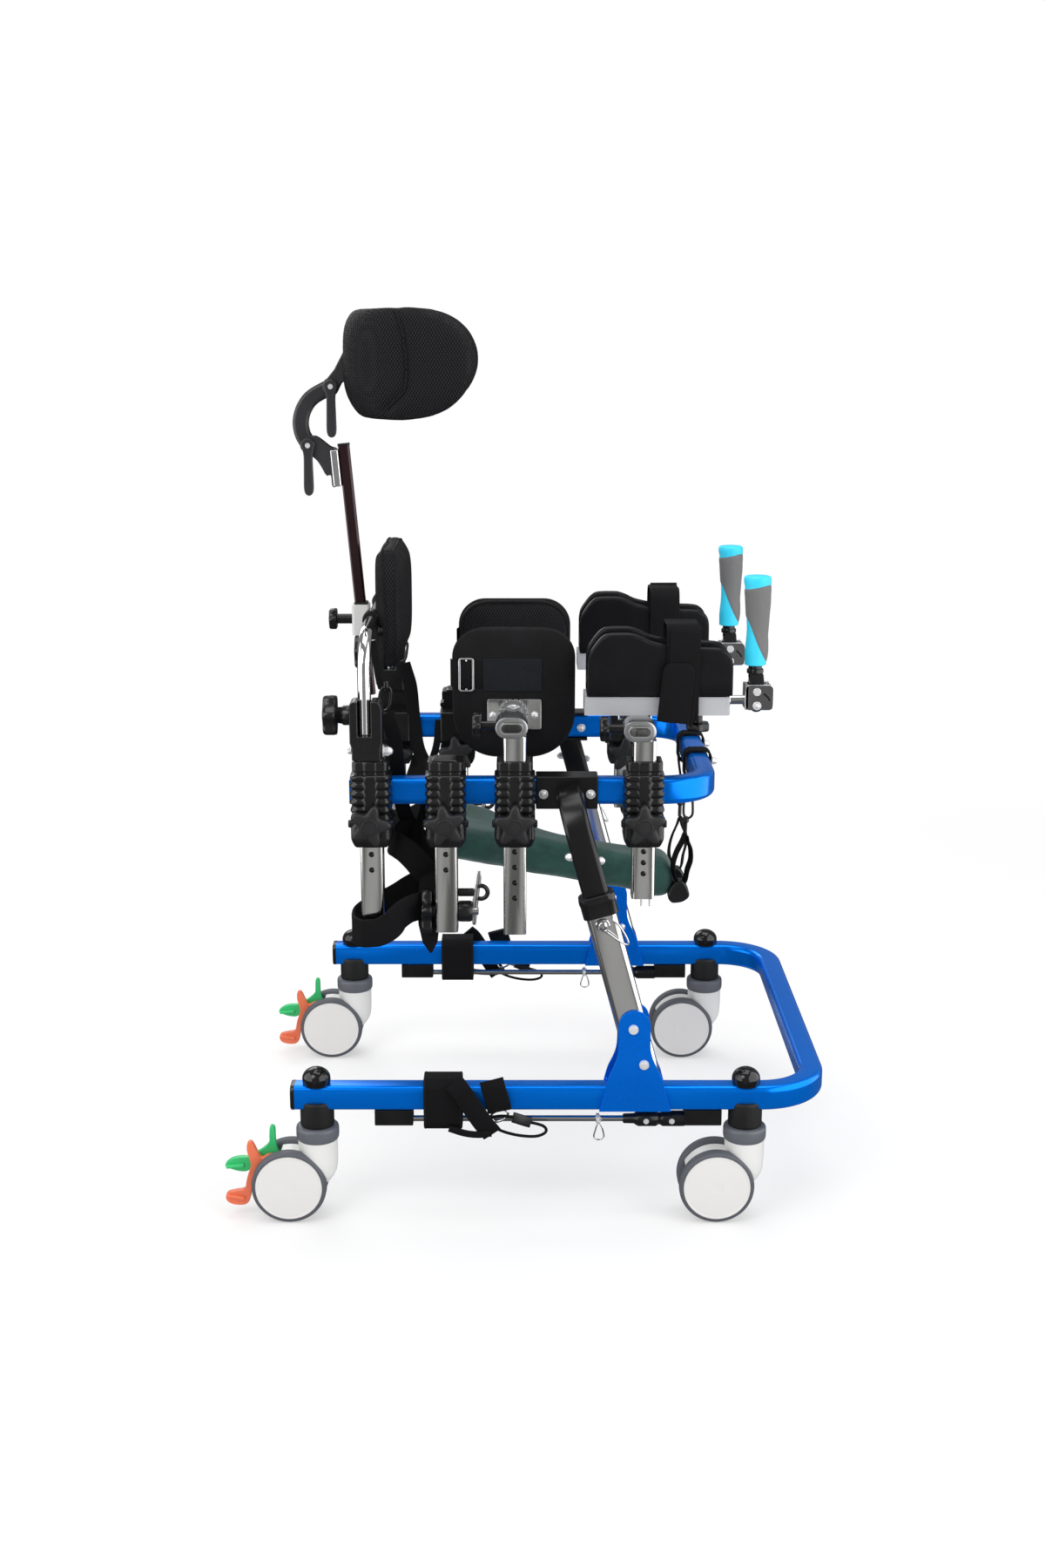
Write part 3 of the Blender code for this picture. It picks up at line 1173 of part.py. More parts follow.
def handle_brackets():
    """Rods out of the trays, each ending in the clevis that a grip tilts in."""
    rear, front = CLEVIS_X
    half, cheek = CLEVIS_WIDTH / 2, CLEVIS_CHEEK
    for name, side in SIDES:
        y = side * ARM_CENTRE_Y
        shaft, clevis, pin = blank(), blank(), blank()
        cylinder(shaft, (0.0, y, ROD_Z), AX, ROD_RADIUS, TRAY_X[1] - ROD_TUCK, rear + SINK, 12)
        outline = [(rear, -half), (front - 0.006, -half), (front, -half + 0.001), (front, -half + cheek),
                   (rear + cheek, -half + cheek), (rear + cheek, half - cheek), (front, half - cheek),
                   (front, half - 0.001), (front - 0.006, half), (rear, half)]
        prism(clevis, outline, AX, AY, *CLEVIS_Z, (0.0, y, 0.0))
        pivot = (GRIP_PIVOT[0], y, GRIP_PIVOT[1])
        cylinder(pin, pivot, AY, GRIP_PIN_RADIUS, -half + SINK, half - SINK, 10)
        finish(f"handle_bracket_{name}", fuse(clevis, shaft, pin), DARK_METAL, (rear, y, ROD_Z))


def handle_grips():
    """Two-tone hand grips on tongues that turn in the clevises."""
    px, pz = GRIP_PIVOT
    for name, side in SIDES:
        y = side * ARM_CENTRE_Y
        bm = blank()
        outline = arc((px, pz), TONGUE_RADIUS, 180, 360, 6) + [(px + TONGUE_RADIUS, TONGUE_TOP),
                                                            (px - TONGUE_RADIUS, TONGUE_TOP)]
        reach = CLEVIS_WIDTH / 2 - CLEVIS_CHEEK - RUNNING_GAP
        side_plate(bm, outline, y - reach, y + reach)
        bore = blank()
        cylinder(bore, (px, y, pz), AY, GRIP_PIN_RADIUS + GAP, -0.02, 0.02, 12)
        bm = boolean(bm, bore)
        r = GRIP_RADIUS
        start = TONGUE_TOP - SINK
        profile = [(0.0, start), (GRIP_STEM, start), (GRIP_STEM, GRIP_BOTTOM), (r * 0.8, GRIP_BOTTOM),
                   (r * 0.84, GRIP_BOTTOM + 0.045), (r, GRIP_TOP - 0.035), (r, GRIP_TOP - 0.008),
                   (r * 0.8, GRIP_TOP), (0.0, GRIP_TOP)]
        grip = blank()
        revolve(grip, profile, (GRIP_X, y, 0.0), AZ, 12)
        finish(f"handle_grip_{name}", fuse(bm, grip), GRIP_GREY, (px, y, pz))


# Back rest and head support


def back_bracket():
    """Ring clamps, board and white block that tie the back pad and the head post to the hoop."""
    bore, outside = HOOP_RADIUS + GAP, HOOP_RADIUS + GAP + RING_CLAMP_WALL
    solids = []
    for y in (-RING_CLAMP_Y, RING_CLAMP_Y):
        ring = blank()
        band(ring, circle(outside, 14, (HOOP_X, HOOP_BAR_Z)), circle(bore, 14, (HOOP_X, HOOP_BAR_Z)), AX,
             AZ, -y - RING_CLAMP_WIDTH / 2, -y + RING_CLAMP_WIDTH / 2)
        solids.append(ring)
    board = blank()
    outline = section(BACK_BOARD_WIDTH, BACK_BOARD_HEIGHT, 0.012, 2, (0.0, BACK_BOARD_Z))
    prism(board, outline, AY, AZ, BACK_BOARD_X, BACK_BOARD_X + BACK_BOARD_THICKNESS)
    size, centre = Vector(BLOCK_SIZE), Vector(BLOCK_CENTRE)
    block = blank()
    outline = section(size.x, size.y, 0.004, 2, (centre.x, centre.y))
    prism(block, outline, AX, AY, centre.z - size.z / 2, centre.z + size.z / 2)
    grip = knob(star(BLOCK_KNOB_RADIUS, BLOCK_KNOB_RADIUS * 0.82, 6, 2),
                (centre.x - size.x / 2, 0.0, centre.z), -AX, AZ, BLOCK_KNOB_REACH,
                SMALL_KNOB_DEPTH, SMALL_STEM_RADIUS)
    cheeks = []
    for side in (-1.0, 1.0):
        cheek = blank()
        near, far = sorted((side * BLOCK_CHEEK_Y[0], side * BLOCK_CHEEK_Y[1]))
        box(cheek, (centre.x, near, BLOCK_CHEEK_Z[0]), (BACK_BOARD_X + SINK, far, BLOCK_CHEEK_Z[1]))
        cheeks.append(cheek)
    body = fuse(board, *solids, *cheeks, block, grip)
    shaft = blank()
    hole = HEAD_POST_WIDTH / 2 + RUNNING_GAP
    corners = []
    for distance in (0.15, 0.35):
        (rear_x, rear_z), (front_x, front_z) = tilted(distance, -hole), tilted(distance, hole)
        corners.append([Vector((rear_x, -hole, rear_z)), Vector((front_x, -hole, front_z)),
                        Vector((front_x, hole, front_z)), Vector((rear_x, hole, rear_z))])
    loft(shaft, corners)
    finish("back_bracket", boolean(body, shaft), BLACK, (HOOP_X, 0.0, HOOP_BAR_Z))


def cushion(bm, layers, outline_at):
    """Padded slab built from inset outlines at several depths."""
    loft(bm, [outline_at(depth, inset) for depth, inset in layers])


def back_pad():
    """Back cushion with a crowned face over a flat board."""
    middle = (BACK_PAD_BOTTOM + BACK_PAD_TOP) / 2
    tall = BACK_PAD_TOP - BACK_PAD_BOTTOM

    def outline_at(depth, inset):
        """Outline of the cushion at one depth from its rear face."""
        outline = section(BACK_PAD_WIDTH - 2 * inset, tall - 2 * inset, BACK_PAD_CORNER - inset * 0.6, 4,
                          (0.0, middle))
        return place(outline, (BACK_PAD_X + depth, 0.0, 0.0), AY, AZ)

    bm = blank()
    d = BACK_PAD_DEPTH
    cushion(bm, ((0.0, 0.006), (0.003, 0.001), (0.009, 0.0), (d - 0.014, 0.0), (d - 0.006, 0.004),
                 (d - 0.002, 0.016), (d, 0.038)), outline_at)
    finish("back_pad", bm, MESH_BLACK, (HOOP_X, 0.0, HOOP_BAR_Z))


def trunk_pads():
    """Side cushions of the trunk supports."""
    middle = (sum(TRUNK_PAD_X) / 2, sum(TRUNK_PAD_Z) / 2)
    wide, tall = TRUNK_PAD_X[1] - TRUNK_PAD_X[0], TRUNK_PAD_Z[1] - TRUNK_PAD_Z[0]
    d = TRUNK_PAD_THICKNESS
    for name, side in SIDES:

        def outline_at(depth, inset):
            """Outline of the cushion at one depth in from its outer face."""
            outline = section(wide - 2 * inset, tall - 2 * inset, TRUNK_PAD_CORNER - inset * 0.6, 4, middle)
            return place(outline, (0.0, side * (TRUNK_PAD_OUTER_Y - depth), 0.0), AX, AZ)

        bm = blank()
        cushion(bm, ((0.0, 0.008), (0.003, 0.001), (0.008, 0.0), (d - 0.014, 0.0), (d - 0.005, 0.005),
                     (d, 0.030)),
                outline_at)
        finish(f"trunk_pad_{name}", bm, MESH_BLACK,
               (TRUNK_SOCKET_X, side * TRUNK_PAD_OUTER_Y, SOCKET_CENTRE_Z))


def head_post():
    """Tilted dark bar of the head support."""
    forward = Vector((math.cos(HEAD_TILT), 0.0, math.sin(HEAD_TILT)))
    outline = section(HEAD_POST_WIDTH, HEAD_POST_WIDTH, 0.002, 1)
    bm = blank()
    rings = []
    for distance in (0.0, HEAD_POST_LENGTH):
        x, z = tilted(distance, 0.0)
        rings.append(place(outline, (x, 0.0, z), forward, AY))
    loft(bm, rings)
    x, z = tilted(0.0, 0.0)
    finish("headrest_post", bm, MAROON, (x, 0.0, z))


def pivot_pin(pivot):
    """Pin across a joint in the plane of the head support."""
    bm = blank()
    reach = HEAD_ARM_THICKNESS / 2 + RUNNING_GAP + SINK
    cylinder(bm, (pivot[0], 0.0, pivot[1]), AY, HEAD_PIN_RADIUS, -reach, reach, 10)
    return bm


def slotted(bm, pivot, radius):
    """Cut the slot that a head support arm turns in."""
    tool = blank()
    reach = HEAD_ARM_THICKNESS / 2 + RUNNING_GAP
    cylinder(tool, (pivot[0], 0.0, pivot[1]), AY, radius, -reach, reach, 20)
    return boolean(bm, tool)


def head_clamp():
    """Chrome clamp on the head post with the black bracket that carries the arm."""
    forward = Vector((math.cos(HEAD_TILT), 0.0, math.sin(HEAD_TILT)))
    bracket = blank()
    half = HEAD_POST_WIDTH / 2 + GAP
    face = -half - HEAD_CLAMP_WALL + SINK
    top, bottom = HEAD_CLAMP_DROP - HEAD_CLAMP_HEIGHT / 2, HEAD_CLAMP_DROP + HEAD_CLAMP_HEIGHT / 2
    outline = [tilted(bottom, face), tilted(top + 0.004, face)] + [(a / 1000, b / 1000) for a,
                                                                   b in BRACKET_MM]
    side_plate(bracket, outline, -HEAD_CHEEK, HEAD_CHEEK)
    bracket = slotted(bracket, HEAD_LOWER_PIVOT, HEAD_BOSS_RADIUS + 0.006)
    rings = []
    for wall in (HEAD_CLAMP_WALL, 0.0):
        outline = section(2 * (half + wall), 2 * (half + wall), 0.002 + wall * 0.4, 1)
        run = []
        for distance in (bottom, top):
            x, z = tilted(distance, 0.0)
            run.append(place(outline, (x, 0.0, z), forward, AY))
        rings.append(run)
    clamp = blank()
    hollow(clamp, *rings)
    body = fuse(bracket, clamp, pivot_pin(HEAD_LOWER_PIVOT))
    finish("headrest_clamp", body, DARK_METAL, (HEAD_LOWER_PIVOT[0], 0.0, HEAD_LOWER_PIVOT[1]))


def head_arm():
    """Curved arm between the two head support joints."""
    lower, upper = Vector(HEAD_LOWER_PIVOT), Vector(HEAD_UPPER_PIVOT)
    centre = Vector(HEAD_ARM_CENTRE)
    start = math.atan2(lower.y - centre.y, lower.x - centre.x) % (2 * math.pi)
    end = math.atan2(upper.y - centre.y, upper.x - centre.x)
    first, last, middle = (lower - centre).length, (upper - centre).length, HEAD_ARM_RADIUS
    path = []
    for step in range(HEAD_ARM_STEPS + 1):
        t = step / HEAD_ARM_STEPS
        angle = start + (end - start) * t
        ends = first * max(0.0, 1 - 3 * t) + last * max(0.0, 3 * t - 2)
        blend = max(0.0, 1 - 3 * t) + max(0.0, 3 * t - 2)
        radius = ends + middle * (1 - blend)
        path.append(centre + Vector((math.cos(angle), math.sin(angle))) * radius)
    outside, inside = [], []
    for index, point in enumerate(path):
        along = (path[min(index + 1, len(path) - 1)] - path[max(index - 1, 0)]).normalized()
        normal = Vector((-along.y, along.x)) * HEAD_ARM_WIDTH / 2
        outside.append(point + normal)
        inside.append(point - normal)
    outline = outside + round_end(path[-1], path[-1] - path[-2]) + inside[::-1] + round_end(path[0],
                                                                                            path[0] - path[1])
    bm = blank()
    side_plate(bm, [tuple(p) for p in outline], -HEAD_ARM_THICKNESS / 2, HEAD_ARM_THICKNESS / 2)
    bores = blank()
    for pivot in (HEAD_LOWER_PIVOT, HEAD_UPPER_PIVOT):
        cylinder(bores, (pivot[0], 0.0, pivot[1]), AY, HEAD_PIN_RADIUS + GAP, -0.02, 0.02, 12)
    finish("headrest_arm", boolean(bm, bores), BLACK, (HEAD_LOWER_PIVOT[0], 0.0, HEAD_LOWER_PIVOT[1]))


def round_end(centre, along):
    """Half circle past the end of the arm, running from its outer side to its inner side."""
    heading = math.degrees(math.atan2(along.y, along.x))
    points = arc(tuple(centre), HEAD_ARM_WIDTH / 2, heading + 60, heading - 60, 4)
    return [Vector(p) for p in points]


def head_stem():
    """Forked stem behind the head pad, turning on the upper joint."""
    bm = blank()
    pivot = HEAD_UPPER_PIVOT
    outline = arc(pivot, HEAD_BOSS_RADIUS, 110, 290, 8)
    outline += [(a / 1000, b / 1000) for a, b in STEM_MM]
    side_plate(bm, outline, -HEAD_CHEEK, HEAD_CHEEK)
    return fuse(slotted(bm, pivot, HEAD_BOSS_RADIUS + 0.002), pivot_pin(pivot))


def head_levers():
    """Clamping levers that hang beside the two head support joints."""
    for name, pivot in (("lower", HEAD_LOWER_PIVOT), ("upper", HEAD_UPPER_PIVOT)):
        half, drop = LEVER_WIDTH / 2, LEVER_LENGTH - LEVER_WIDTH / 2
        outline = arc(pivot, LEVER_HUB, -35, 215, 8)
        outline += arc((pivot[0], pivot[1] - drop), half, 180, 360, 5)
        bm = blank()
        start = HEAD_CHEEK + RUNNING_GAP
        side_plate(bm, outline, -start - LEVER_THICKNESS, -start)
        finish(f"headrest_lever_{name}", bm, BLACK, (pivot[0], 0.0, pivot[1]))


def head_pad():
    """Wrap-around head cushion, thick at the back and tapering into two wings."""
    bm = blank()
    rings = []
    rear = HEAD_PAD_REAR_X + HEAD_PAD_THICKNESS / 2
    reach = HEAD_PAD_HALF_WIDTH - HEAD_PAD_THICKNESS / 2
    straight = HEAD_PAD_FRONT_X - HEAD_PAD_BEND_X
    stations = [(-1, t) for t in (1.0, 0.9, 0.6)] + [(0, a) for a in range(-90, 91, 18)]
    stations += [(1, t) for t in (0.6, 0.9, 1.0)]
    for kind, value in stations:
        if kind:
            point = Vector((HEAD_PAD_BEND_X + straight * value, kind * reach))
            normal = Vector((0.0, float(kind)))
        else:
            turn = math.radians(value)
            point = Vector((HEAD_PAD_BEND_X - (HEAD_PAD_BEND_X - rear) * math.cos(turn),
                            reach * math.sin(turn)))
            normal = Vector((-math.cos(turn) / (HEAD_PAD_BEND_X - rear),
                             math.sin(turn) / reach)).normalized()
        wing = min(max((point.x - HEAD_PAD_WING_X) / (HEAD_PAD_FRONT_X - HEAD_PAD_WING_X), 0.0), 1.0)
        tall = HEAD_PAD_HALF_HEIGHT * max(1 - wing ** 3.2, 0.0) ** (1 / 1.9)
        tall = max(tall, HEAD_PAD_HALF_HEIGHT * 0.30)
        thick = HEAD_PAD_THICKNESS / 2 * (1.0 if wing < 0.9 else 0.55)
        ring = []
        for across, up in circle(1.0, 12):
            a = math.copysign(abs(across) ** 0.75, across) * thick
            b = math.copysign(abs(up) ** 0.55, up) * tall
            ring.append(Vector((point.x + normal.x * a, point.y + normal.y * a, HEAD_PAD_CENTRE_Z + b)))
        rings.append(ring)
    loft(bm, rings)
    finish("headrest_pad", fuse(bm, head_stem()), MESH_BLACK,
           (HEAD_UPPER_PIVOT[0], 0.0, HEAD_UPPER_PIVOT[1]))


# Seat, straps and ankle guides


def saddle_seat():
    """Green saddle, broad behind and narrow in front."""
    bm = blank()
    rings = []
    for x, top, bottom, half in SADDLE_MM:
        middle, tall = (top + bottom) / 2, (top - bottom) / 2
        ring = []
        for a, b in circle(1.0, 12):
            y = math.copysign(abs(a) ** 0.6, a) * half
            z = middle + math.copysign(abs(b) ** 0.6, b) * tall
            ring.append(Vector((x, y, z)) / 1000)
        rings.append(ring)
    loft(bm, rings)
    return bm


def strap_band(centre, size, corner, across, up, start, end):
    """Strap that closes around a tube of a given size."""
    bm = blank()
    wall = 2 * (GAP + STRAP_WALL)
    outer = section(size[0] + wall, size[1] + wall, corner * 0.8, 1, centre)
    inner = section(size[0] + 2 * GAP, size[1] + 2 * GAP, corner * 0.5, 1, centre)
    band(bm, outer, inner, across, up, start, end)
    return bm


def strap_run(path, across):
    """Webbing along a path."""
    bm = blank()
    ribbon(bm, path, across, STRAP_WIDTH * STRAP_RUN_SHARE, STRAP_WALL * STRAP_RUN_SHARE)
    return bm


def saddle():
    """Saddle seat with the webbing that hangs it from the upper frame, in front and behind."""
    solids = [saddle_seat()]
    half = STRAP_WIDTH / 2
    size = (UPPER_WIDTH, UPPER_HEIGHT)
    for _, side in SIDES:
        y = side * FRONT_STRAP_Y
        front = strap_band((UPPER_FRONT_X, UPPER_CENTRE), size, BASE_ROUND, AX, AZ, -y - half, -y + half)
        path = [(x / 1000, side * y / 1000, z / 1000) for x, y, z in FRONT_STRAP_MM]
        solids += [strap_run(path, AY), front]
        centre = (side * UPPER_TRACK / 2, UPPER_CENTRE)
        rear = strap_band(centre, size, BASE_ROUND, AY, AZ, REAR_STRAP_X - half, REAR_STRAP_X + half)
        path = [(x / 1000, side * (UPPER_TRACK / 2 - inside / 1000), z / 1000) for x, inside,
                z in REAR_STRAP_MM]
        solids += [strap_run(path, AX), rear]
    finish("saddle", fuse(*solids), SADDLE_GREEN)


def ankle_rods():
    """Thin rods under the lower rails, each with its two mounting blocks and swivel barrel."""
    z = BASE_BOTTOM - ANKLE_ROD_DROP
    rear, swivel, front = ANKLE_REAR_BLOCK_X[1] - SINK, ANKLE_SWIVEL_X[0], ANKLE_FRONT_BLOCK_X[0] + SINK
    r = ANKLE_SWIVEL_RADIUS
    neck = [swivel + step for step in ANKLE_SWIVEL_NECK]
    groove = [swivel + step for step in ANKLE_SWIVEL_GROOVE]
    profile = [(0.0, swivel), (r * 0.6, swivel), (r * 0.7, neck[0]), (r, neck[1]), (r, groove[0]),
               (r * 0.8, groove[1]), (r, groove[2]), (r, front), (0.0, front)]
    top = BASE_BOTTOM - GAP
    for name, side in SIDES:
        y, half = side * TRACK / 2, ANKLE_BLOCK_WIDTH / 2
        origin = (0.0, y, z)
        shaft, barrel = blank(), blank()
        cylinder(shaft, origin, AX, ANKLE_ROD_RADIUS, rear, swivel + SINK, 8)
        revolve(barrel, profile, origin, AX, 12)
        blocks = []
        for back, nose in (ANKLE_REAR_BLOCK_X, ANKLE_FRONT_BLOCK_X):
            outline = section(nose - back, 2 * half, 0.002, 1, ((nose + back) / 2, y))
            block = blank()
            prism(block, outline, AX, AY, top - ANKLE_BLOCK_HEIGHT, top)
            blocks.append(block)
        finish(f"ankle_rod_{name}", fuse(shaft, barrel, *blocks), DARK_METAL)


def ankle_straps():
    """Broad soft straps around the lower rails and the ankle rods."""
    low = BASE_BOTTOM - ANKLE_ROD_DROP - ANKLE_ROD_RADIUS - 2 * GAP
    high = BASE_TOP + GAP
    wall = ANKLE_STRAP_THICKNESS
    for name, side in SIDES:
        centre = (side * TRACK / 2, (low + high) / 2)
        inner = section(BASE_WIDTH + 2 * GAP, high - low, BASE_ROUND, 2, centre)
        outer = section(BASE_WIDTH + 2 * (GAP + wall), high - low + 2 * wall, BASE_ROUND + wall, 2, centre)
        bm = blank()
        band(bm, outer, inner, AY, AZ, *ANKLE_STRAP_X)
        finish(f"ankle_strap_{name}", bm, WEBBING)


def build():
    """Model every sub-part, then hang them all on the chassis."""
    for item in list(bpy.data.objects):
        bpy.data.objects.remove(item)
    for make in (base_frame, caster_housings, caster_wheels, pedals, mast_tubes, upper_frame, mast_arms,
                 post_clamps,
                 back_posts, back_hoop, seat_posts, trunk_posts, trunk_arms, arm_posts, arm_trays, arm_pads,
                 handle_brackets, handle_grips, back_bracket, back_pad, trunk_pads, head_post, head_clamp,
                 head_arm,
                 head_levers, head_pad, saddle, ankle_rods, ankle_straps):
        make()
    chassis = bpy.data.objects.new("chassis", None)
    bpy.context.scene.collection.objects.link(chassis)
    chassis.location = (CHASSIS_X, 0.0, 0.0)
    for piece in bpy.data.objects:
        if piece.type == "MESH":
            piece.parent = chassis
    for mesh in [m for m in bpy.data.meshes if m.users == 0]:
        bpy.data.meshes.remove(mesh)


build()
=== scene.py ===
"""Looks of the pediatric walker: finer surfaces, soft goods, small fittings and finishes.

Every shape below is written in millimetres, with X measured forward from the rear caster swivel axis, Y to
the walker's left and Z up from the floor. The Shell class turns those numbers into metres in the model's own
frame. A class builds each sub-assembly, and names its pieces and the bodies that they ride on.
"""

import logging
import math
from collections.abc import Callable
from dataclasses import dataclass
from enum import Enum

import bmesh
import bpy
import numpy as np
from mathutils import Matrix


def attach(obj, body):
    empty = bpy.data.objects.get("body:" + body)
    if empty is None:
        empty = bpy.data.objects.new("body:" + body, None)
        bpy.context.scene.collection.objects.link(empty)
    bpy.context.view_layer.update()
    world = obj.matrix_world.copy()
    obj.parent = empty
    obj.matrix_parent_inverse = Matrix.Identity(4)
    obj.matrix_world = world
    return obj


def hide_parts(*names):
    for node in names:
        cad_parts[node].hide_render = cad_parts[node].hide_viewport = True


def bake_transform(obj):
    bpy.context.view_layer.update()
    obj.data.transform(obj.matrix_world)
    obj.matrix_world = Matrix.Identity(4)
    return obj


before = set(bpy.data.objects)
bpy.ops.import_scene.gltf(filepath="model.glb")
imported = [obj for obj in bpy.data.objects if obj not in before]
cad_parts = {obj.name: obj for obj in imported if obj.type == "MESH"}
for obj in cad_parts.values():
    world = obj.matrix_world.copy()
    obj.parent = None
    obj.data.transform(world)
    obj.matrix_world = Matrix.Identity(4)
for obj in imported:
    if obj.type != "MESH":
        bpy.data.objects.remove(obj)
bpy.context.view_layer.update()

LOG = logging.getLogger("walker")
MM = 0.001
REAR_AXIS_X = -0.2775
SIDES = {"right": -1.0, "left": 1.0}
WHEELBASE = 569.0
HALF_TRACK = 290.0
RAIL_Z = 171.0
RAIL_TOP = 188.0
UPPER_Z = 567.0
UPPER_HALF_TRACK = 205.0
POST_Y = 239.2
CLAMP_X = {"back": 76.0, "seat": 173.0, "trunk": 263.0, "arm": 431.0}
ARM_Y = 166.0
TRUNK_BAR = (259.0, 661.2)
ARM_BAR = (424.0, 656.5)
THIGH_Z = 410.0
SHARP = math.radians(38)
BEVELLED = math.radians(32)
X_AXIS = np.array([1.0, 0.0, 0.0])
Y_AXIS = np.array([0.0, 1.0, 0.0])
Z_AXIS = np.array([0.0, 0.0, 1.0])


# Outlines and paths


def unit(vectors: np.ndarray) -> np.ndarray:
    """Scale each vector to length one."""
    return vectors / np.maximum(np.linalg.norm(vectors, axis=-1, keepdims=True), 1e-9)


def rounded_rect(width: float, height: float, corner: float, steps: int = 6,
                 centre: tuple[float, float] = (0.0, 0.0)) -> np.ndarray:
    """Rectangle whose four corners are quarter circles.

    Args:
        width: full size across.
        height: full size up.
        corner: radius of the quarter circles.
        steps: points less one on each corner.
        centre: middle of the rectangle.

    Returns:
        Points (n, 2), counter-clockwise.
    """
    turn = np.linspace(0.0, math.pi / 2, steps + 1)
    quadrant = np.repeat(np.arange(4), steps + 1)
    angle = np.tile(turn, 4) + (quadrant - 1) * math.pi / 2
    sign_x = np.array([1, 1, -1, -1])[quadrant]
    sign_y = np.array([-1, 1, 1, -1])[quadrant]
    x = centre[0] + sign_x * (width / 2 - corner) + corner * np.cos(angle)
    y = centre[1] + sign_y * (height / 2 - corner) + corner * np.sin(angle)
    return np.stack([x, y], -1)


def disc(radius: float, count: int = 32, centre: tuple[float, float] = (0.0, 0.0)) -> np.ndarray:
    """Circle as (count, 2) points."""
    angle = turns(count)
    return np.stack([centre[0] + radius * np.cos(angle), centre[1] + radius * np.sin(angle)], -1)


def arc(centre: tuple[float, float], radius: float, start: float, end: float,
        steps: int = 12) -> np.ndarray:
    """Points (steps + 1, 2) along a circle between two angles in degrees."""
    angle = np.radians(np.linspace(start, end, steps + 1))
    return np.stack([centre[0] + radius * np.cos(angle), centre[1] + radius * np.sin(angle)], -1)


def oval(width: float, height: float, steps: int = 10) -> np.ndarray:
    """Flat-sided oval: two half circles of the height's diameter joined by straights."""
    reach = (width - height) / 2
    return np.concatenate(
        [arc((reach, 0.0), height / 2, -90, 90, steps), arc((-reach, 0.0), height / 2, 90, 270, steps)])


def star(tip: float, waist: float, lobes: int, count: int, turn: float = 0.0,
         sharpness: float = 1.35) -> np.ndarray:
    """Lobed outline: the radius swings from waist to tip as a raised cosine to a power, once per lobe."""
    angle = turns(count)
    reach = (0.5 + 0.5 * np.cos(lobes * angle)) ** sharpness
    radius = waist + (tip - waist) * reach
    return np.stack([radius * np.cos(angle + turn), radius * np.sin(angle + turn)], -1)


def spline(points: list | np.ndarray, count: int, closed: bool = False) -> np.ndarray:
    """Centripetal-looking Catmull-Rom curve through the points, resampled evenly by length.

    Each span is the cubic 0.5 * (2b + (c - a)t + (2a - 5b + 4c - d)t^2 + (3b - a - 3c + d)t^3) of its four
    neighbouring points.

    Args:
        points: control points (n, 2) or (n, 3).
        count: points wanted.
        closed: whether the curve joins its own start.

    Returns:
        Points (count, 2) or (count, 3).
    """
    control = np.asarray(points, float)
    if closed:
        ring = np.concatenate([control[-1:], control, control[:2]])
    else:
        ring = np.concatenate([2 * control[:1] - control[1:2], control, 2 * control[-1:] - control[-2:-1]])
    t = np.linspace(0.0, 1.0, 12, endpoint=False)[None, :, None]
    a, b, c, d = ring[:-3, None], ring[1:-2, None], ring[2:-1, None], ring[3:, None]
    curve = 0.5 * (
        2 * b + (c - a) * t + (2 * a - 5 * b + 4 * c - d) * t ** 2 + (3 * b - a - 3 * c + d) * t ** 3)
    curve = curve.reshape(-1, control.shape[1])
    curve = np.concatenate([curve, control[:1] if closed else control[-1:]])
    reach = np.concatenate([[0.0], np.cumsum(np.linalg.norm(np.diff(curve, axis=0), axis=1))])
    wanted = np.linspace(0.0, reach[-1], count, endpoint=not closed)
    return np.stack([np.interp(wanted, reach, curve[:, k]) for k in range(curve.shape[1])], -1)


def lift(outline: np.ndarray, y: float = 0.0) -> np.ndarray:
    """Put an (x, z) outline into space at one y."""
    return np.stack([outline[:, 0], np.full(len(outline), y), outline[:, 1]], -1)


def level(outline: np.ndarray, z: float) -> np.ndarray:
    """Put an (x, y) outline into space at one z."""
    return np.column_stack([outline, np.full(len(outline), z)])


def upright(outline: np.ndarray, x: float) -> np.ndarray:
    """Put a (y, z) outline into space at one x."""
    return np.column_stack([np.full(len(outline), x), outline])


def mirrored(points: list[tuple], side: float) -> list[tuple]:
    """Put (x, distance from the middle, z) points on one side of the walker."""
    return [(x, side * inward, z) for x, inward, z in points]


def turns(count: int) -> np.ndarray:
    """Angles in radians evenly round a circle."""
    return np.linspace(0.0, 2 * math.pi, count, endpoint=False)


def squared(wave: np.ndarray, power: float | np.ndarray) -> np.ndarray:
    """Sine or cosine to a power, with its sign kept: a small power squares a circle off."""
    return np.sign(wave) * np.abs(wave) ** power


def u_path(rear: float, front: float, half_track: float, bend: float, z: float) -> np.ndarray:
    """Centreline of a U open to the rear: straight, quarter circle, straight, quarter circle, straight."""
    first = arc((front - bend, -half_track + bend), bend, -90, 0, 24)
    second = arc((front - bend, half_track - bend), bend, 0, 90, 24)
    flat = np.concatenate([[[rear, -half_track]], first, second, [[rear, half_track]]])
    return level(flat, z)


# Meshes


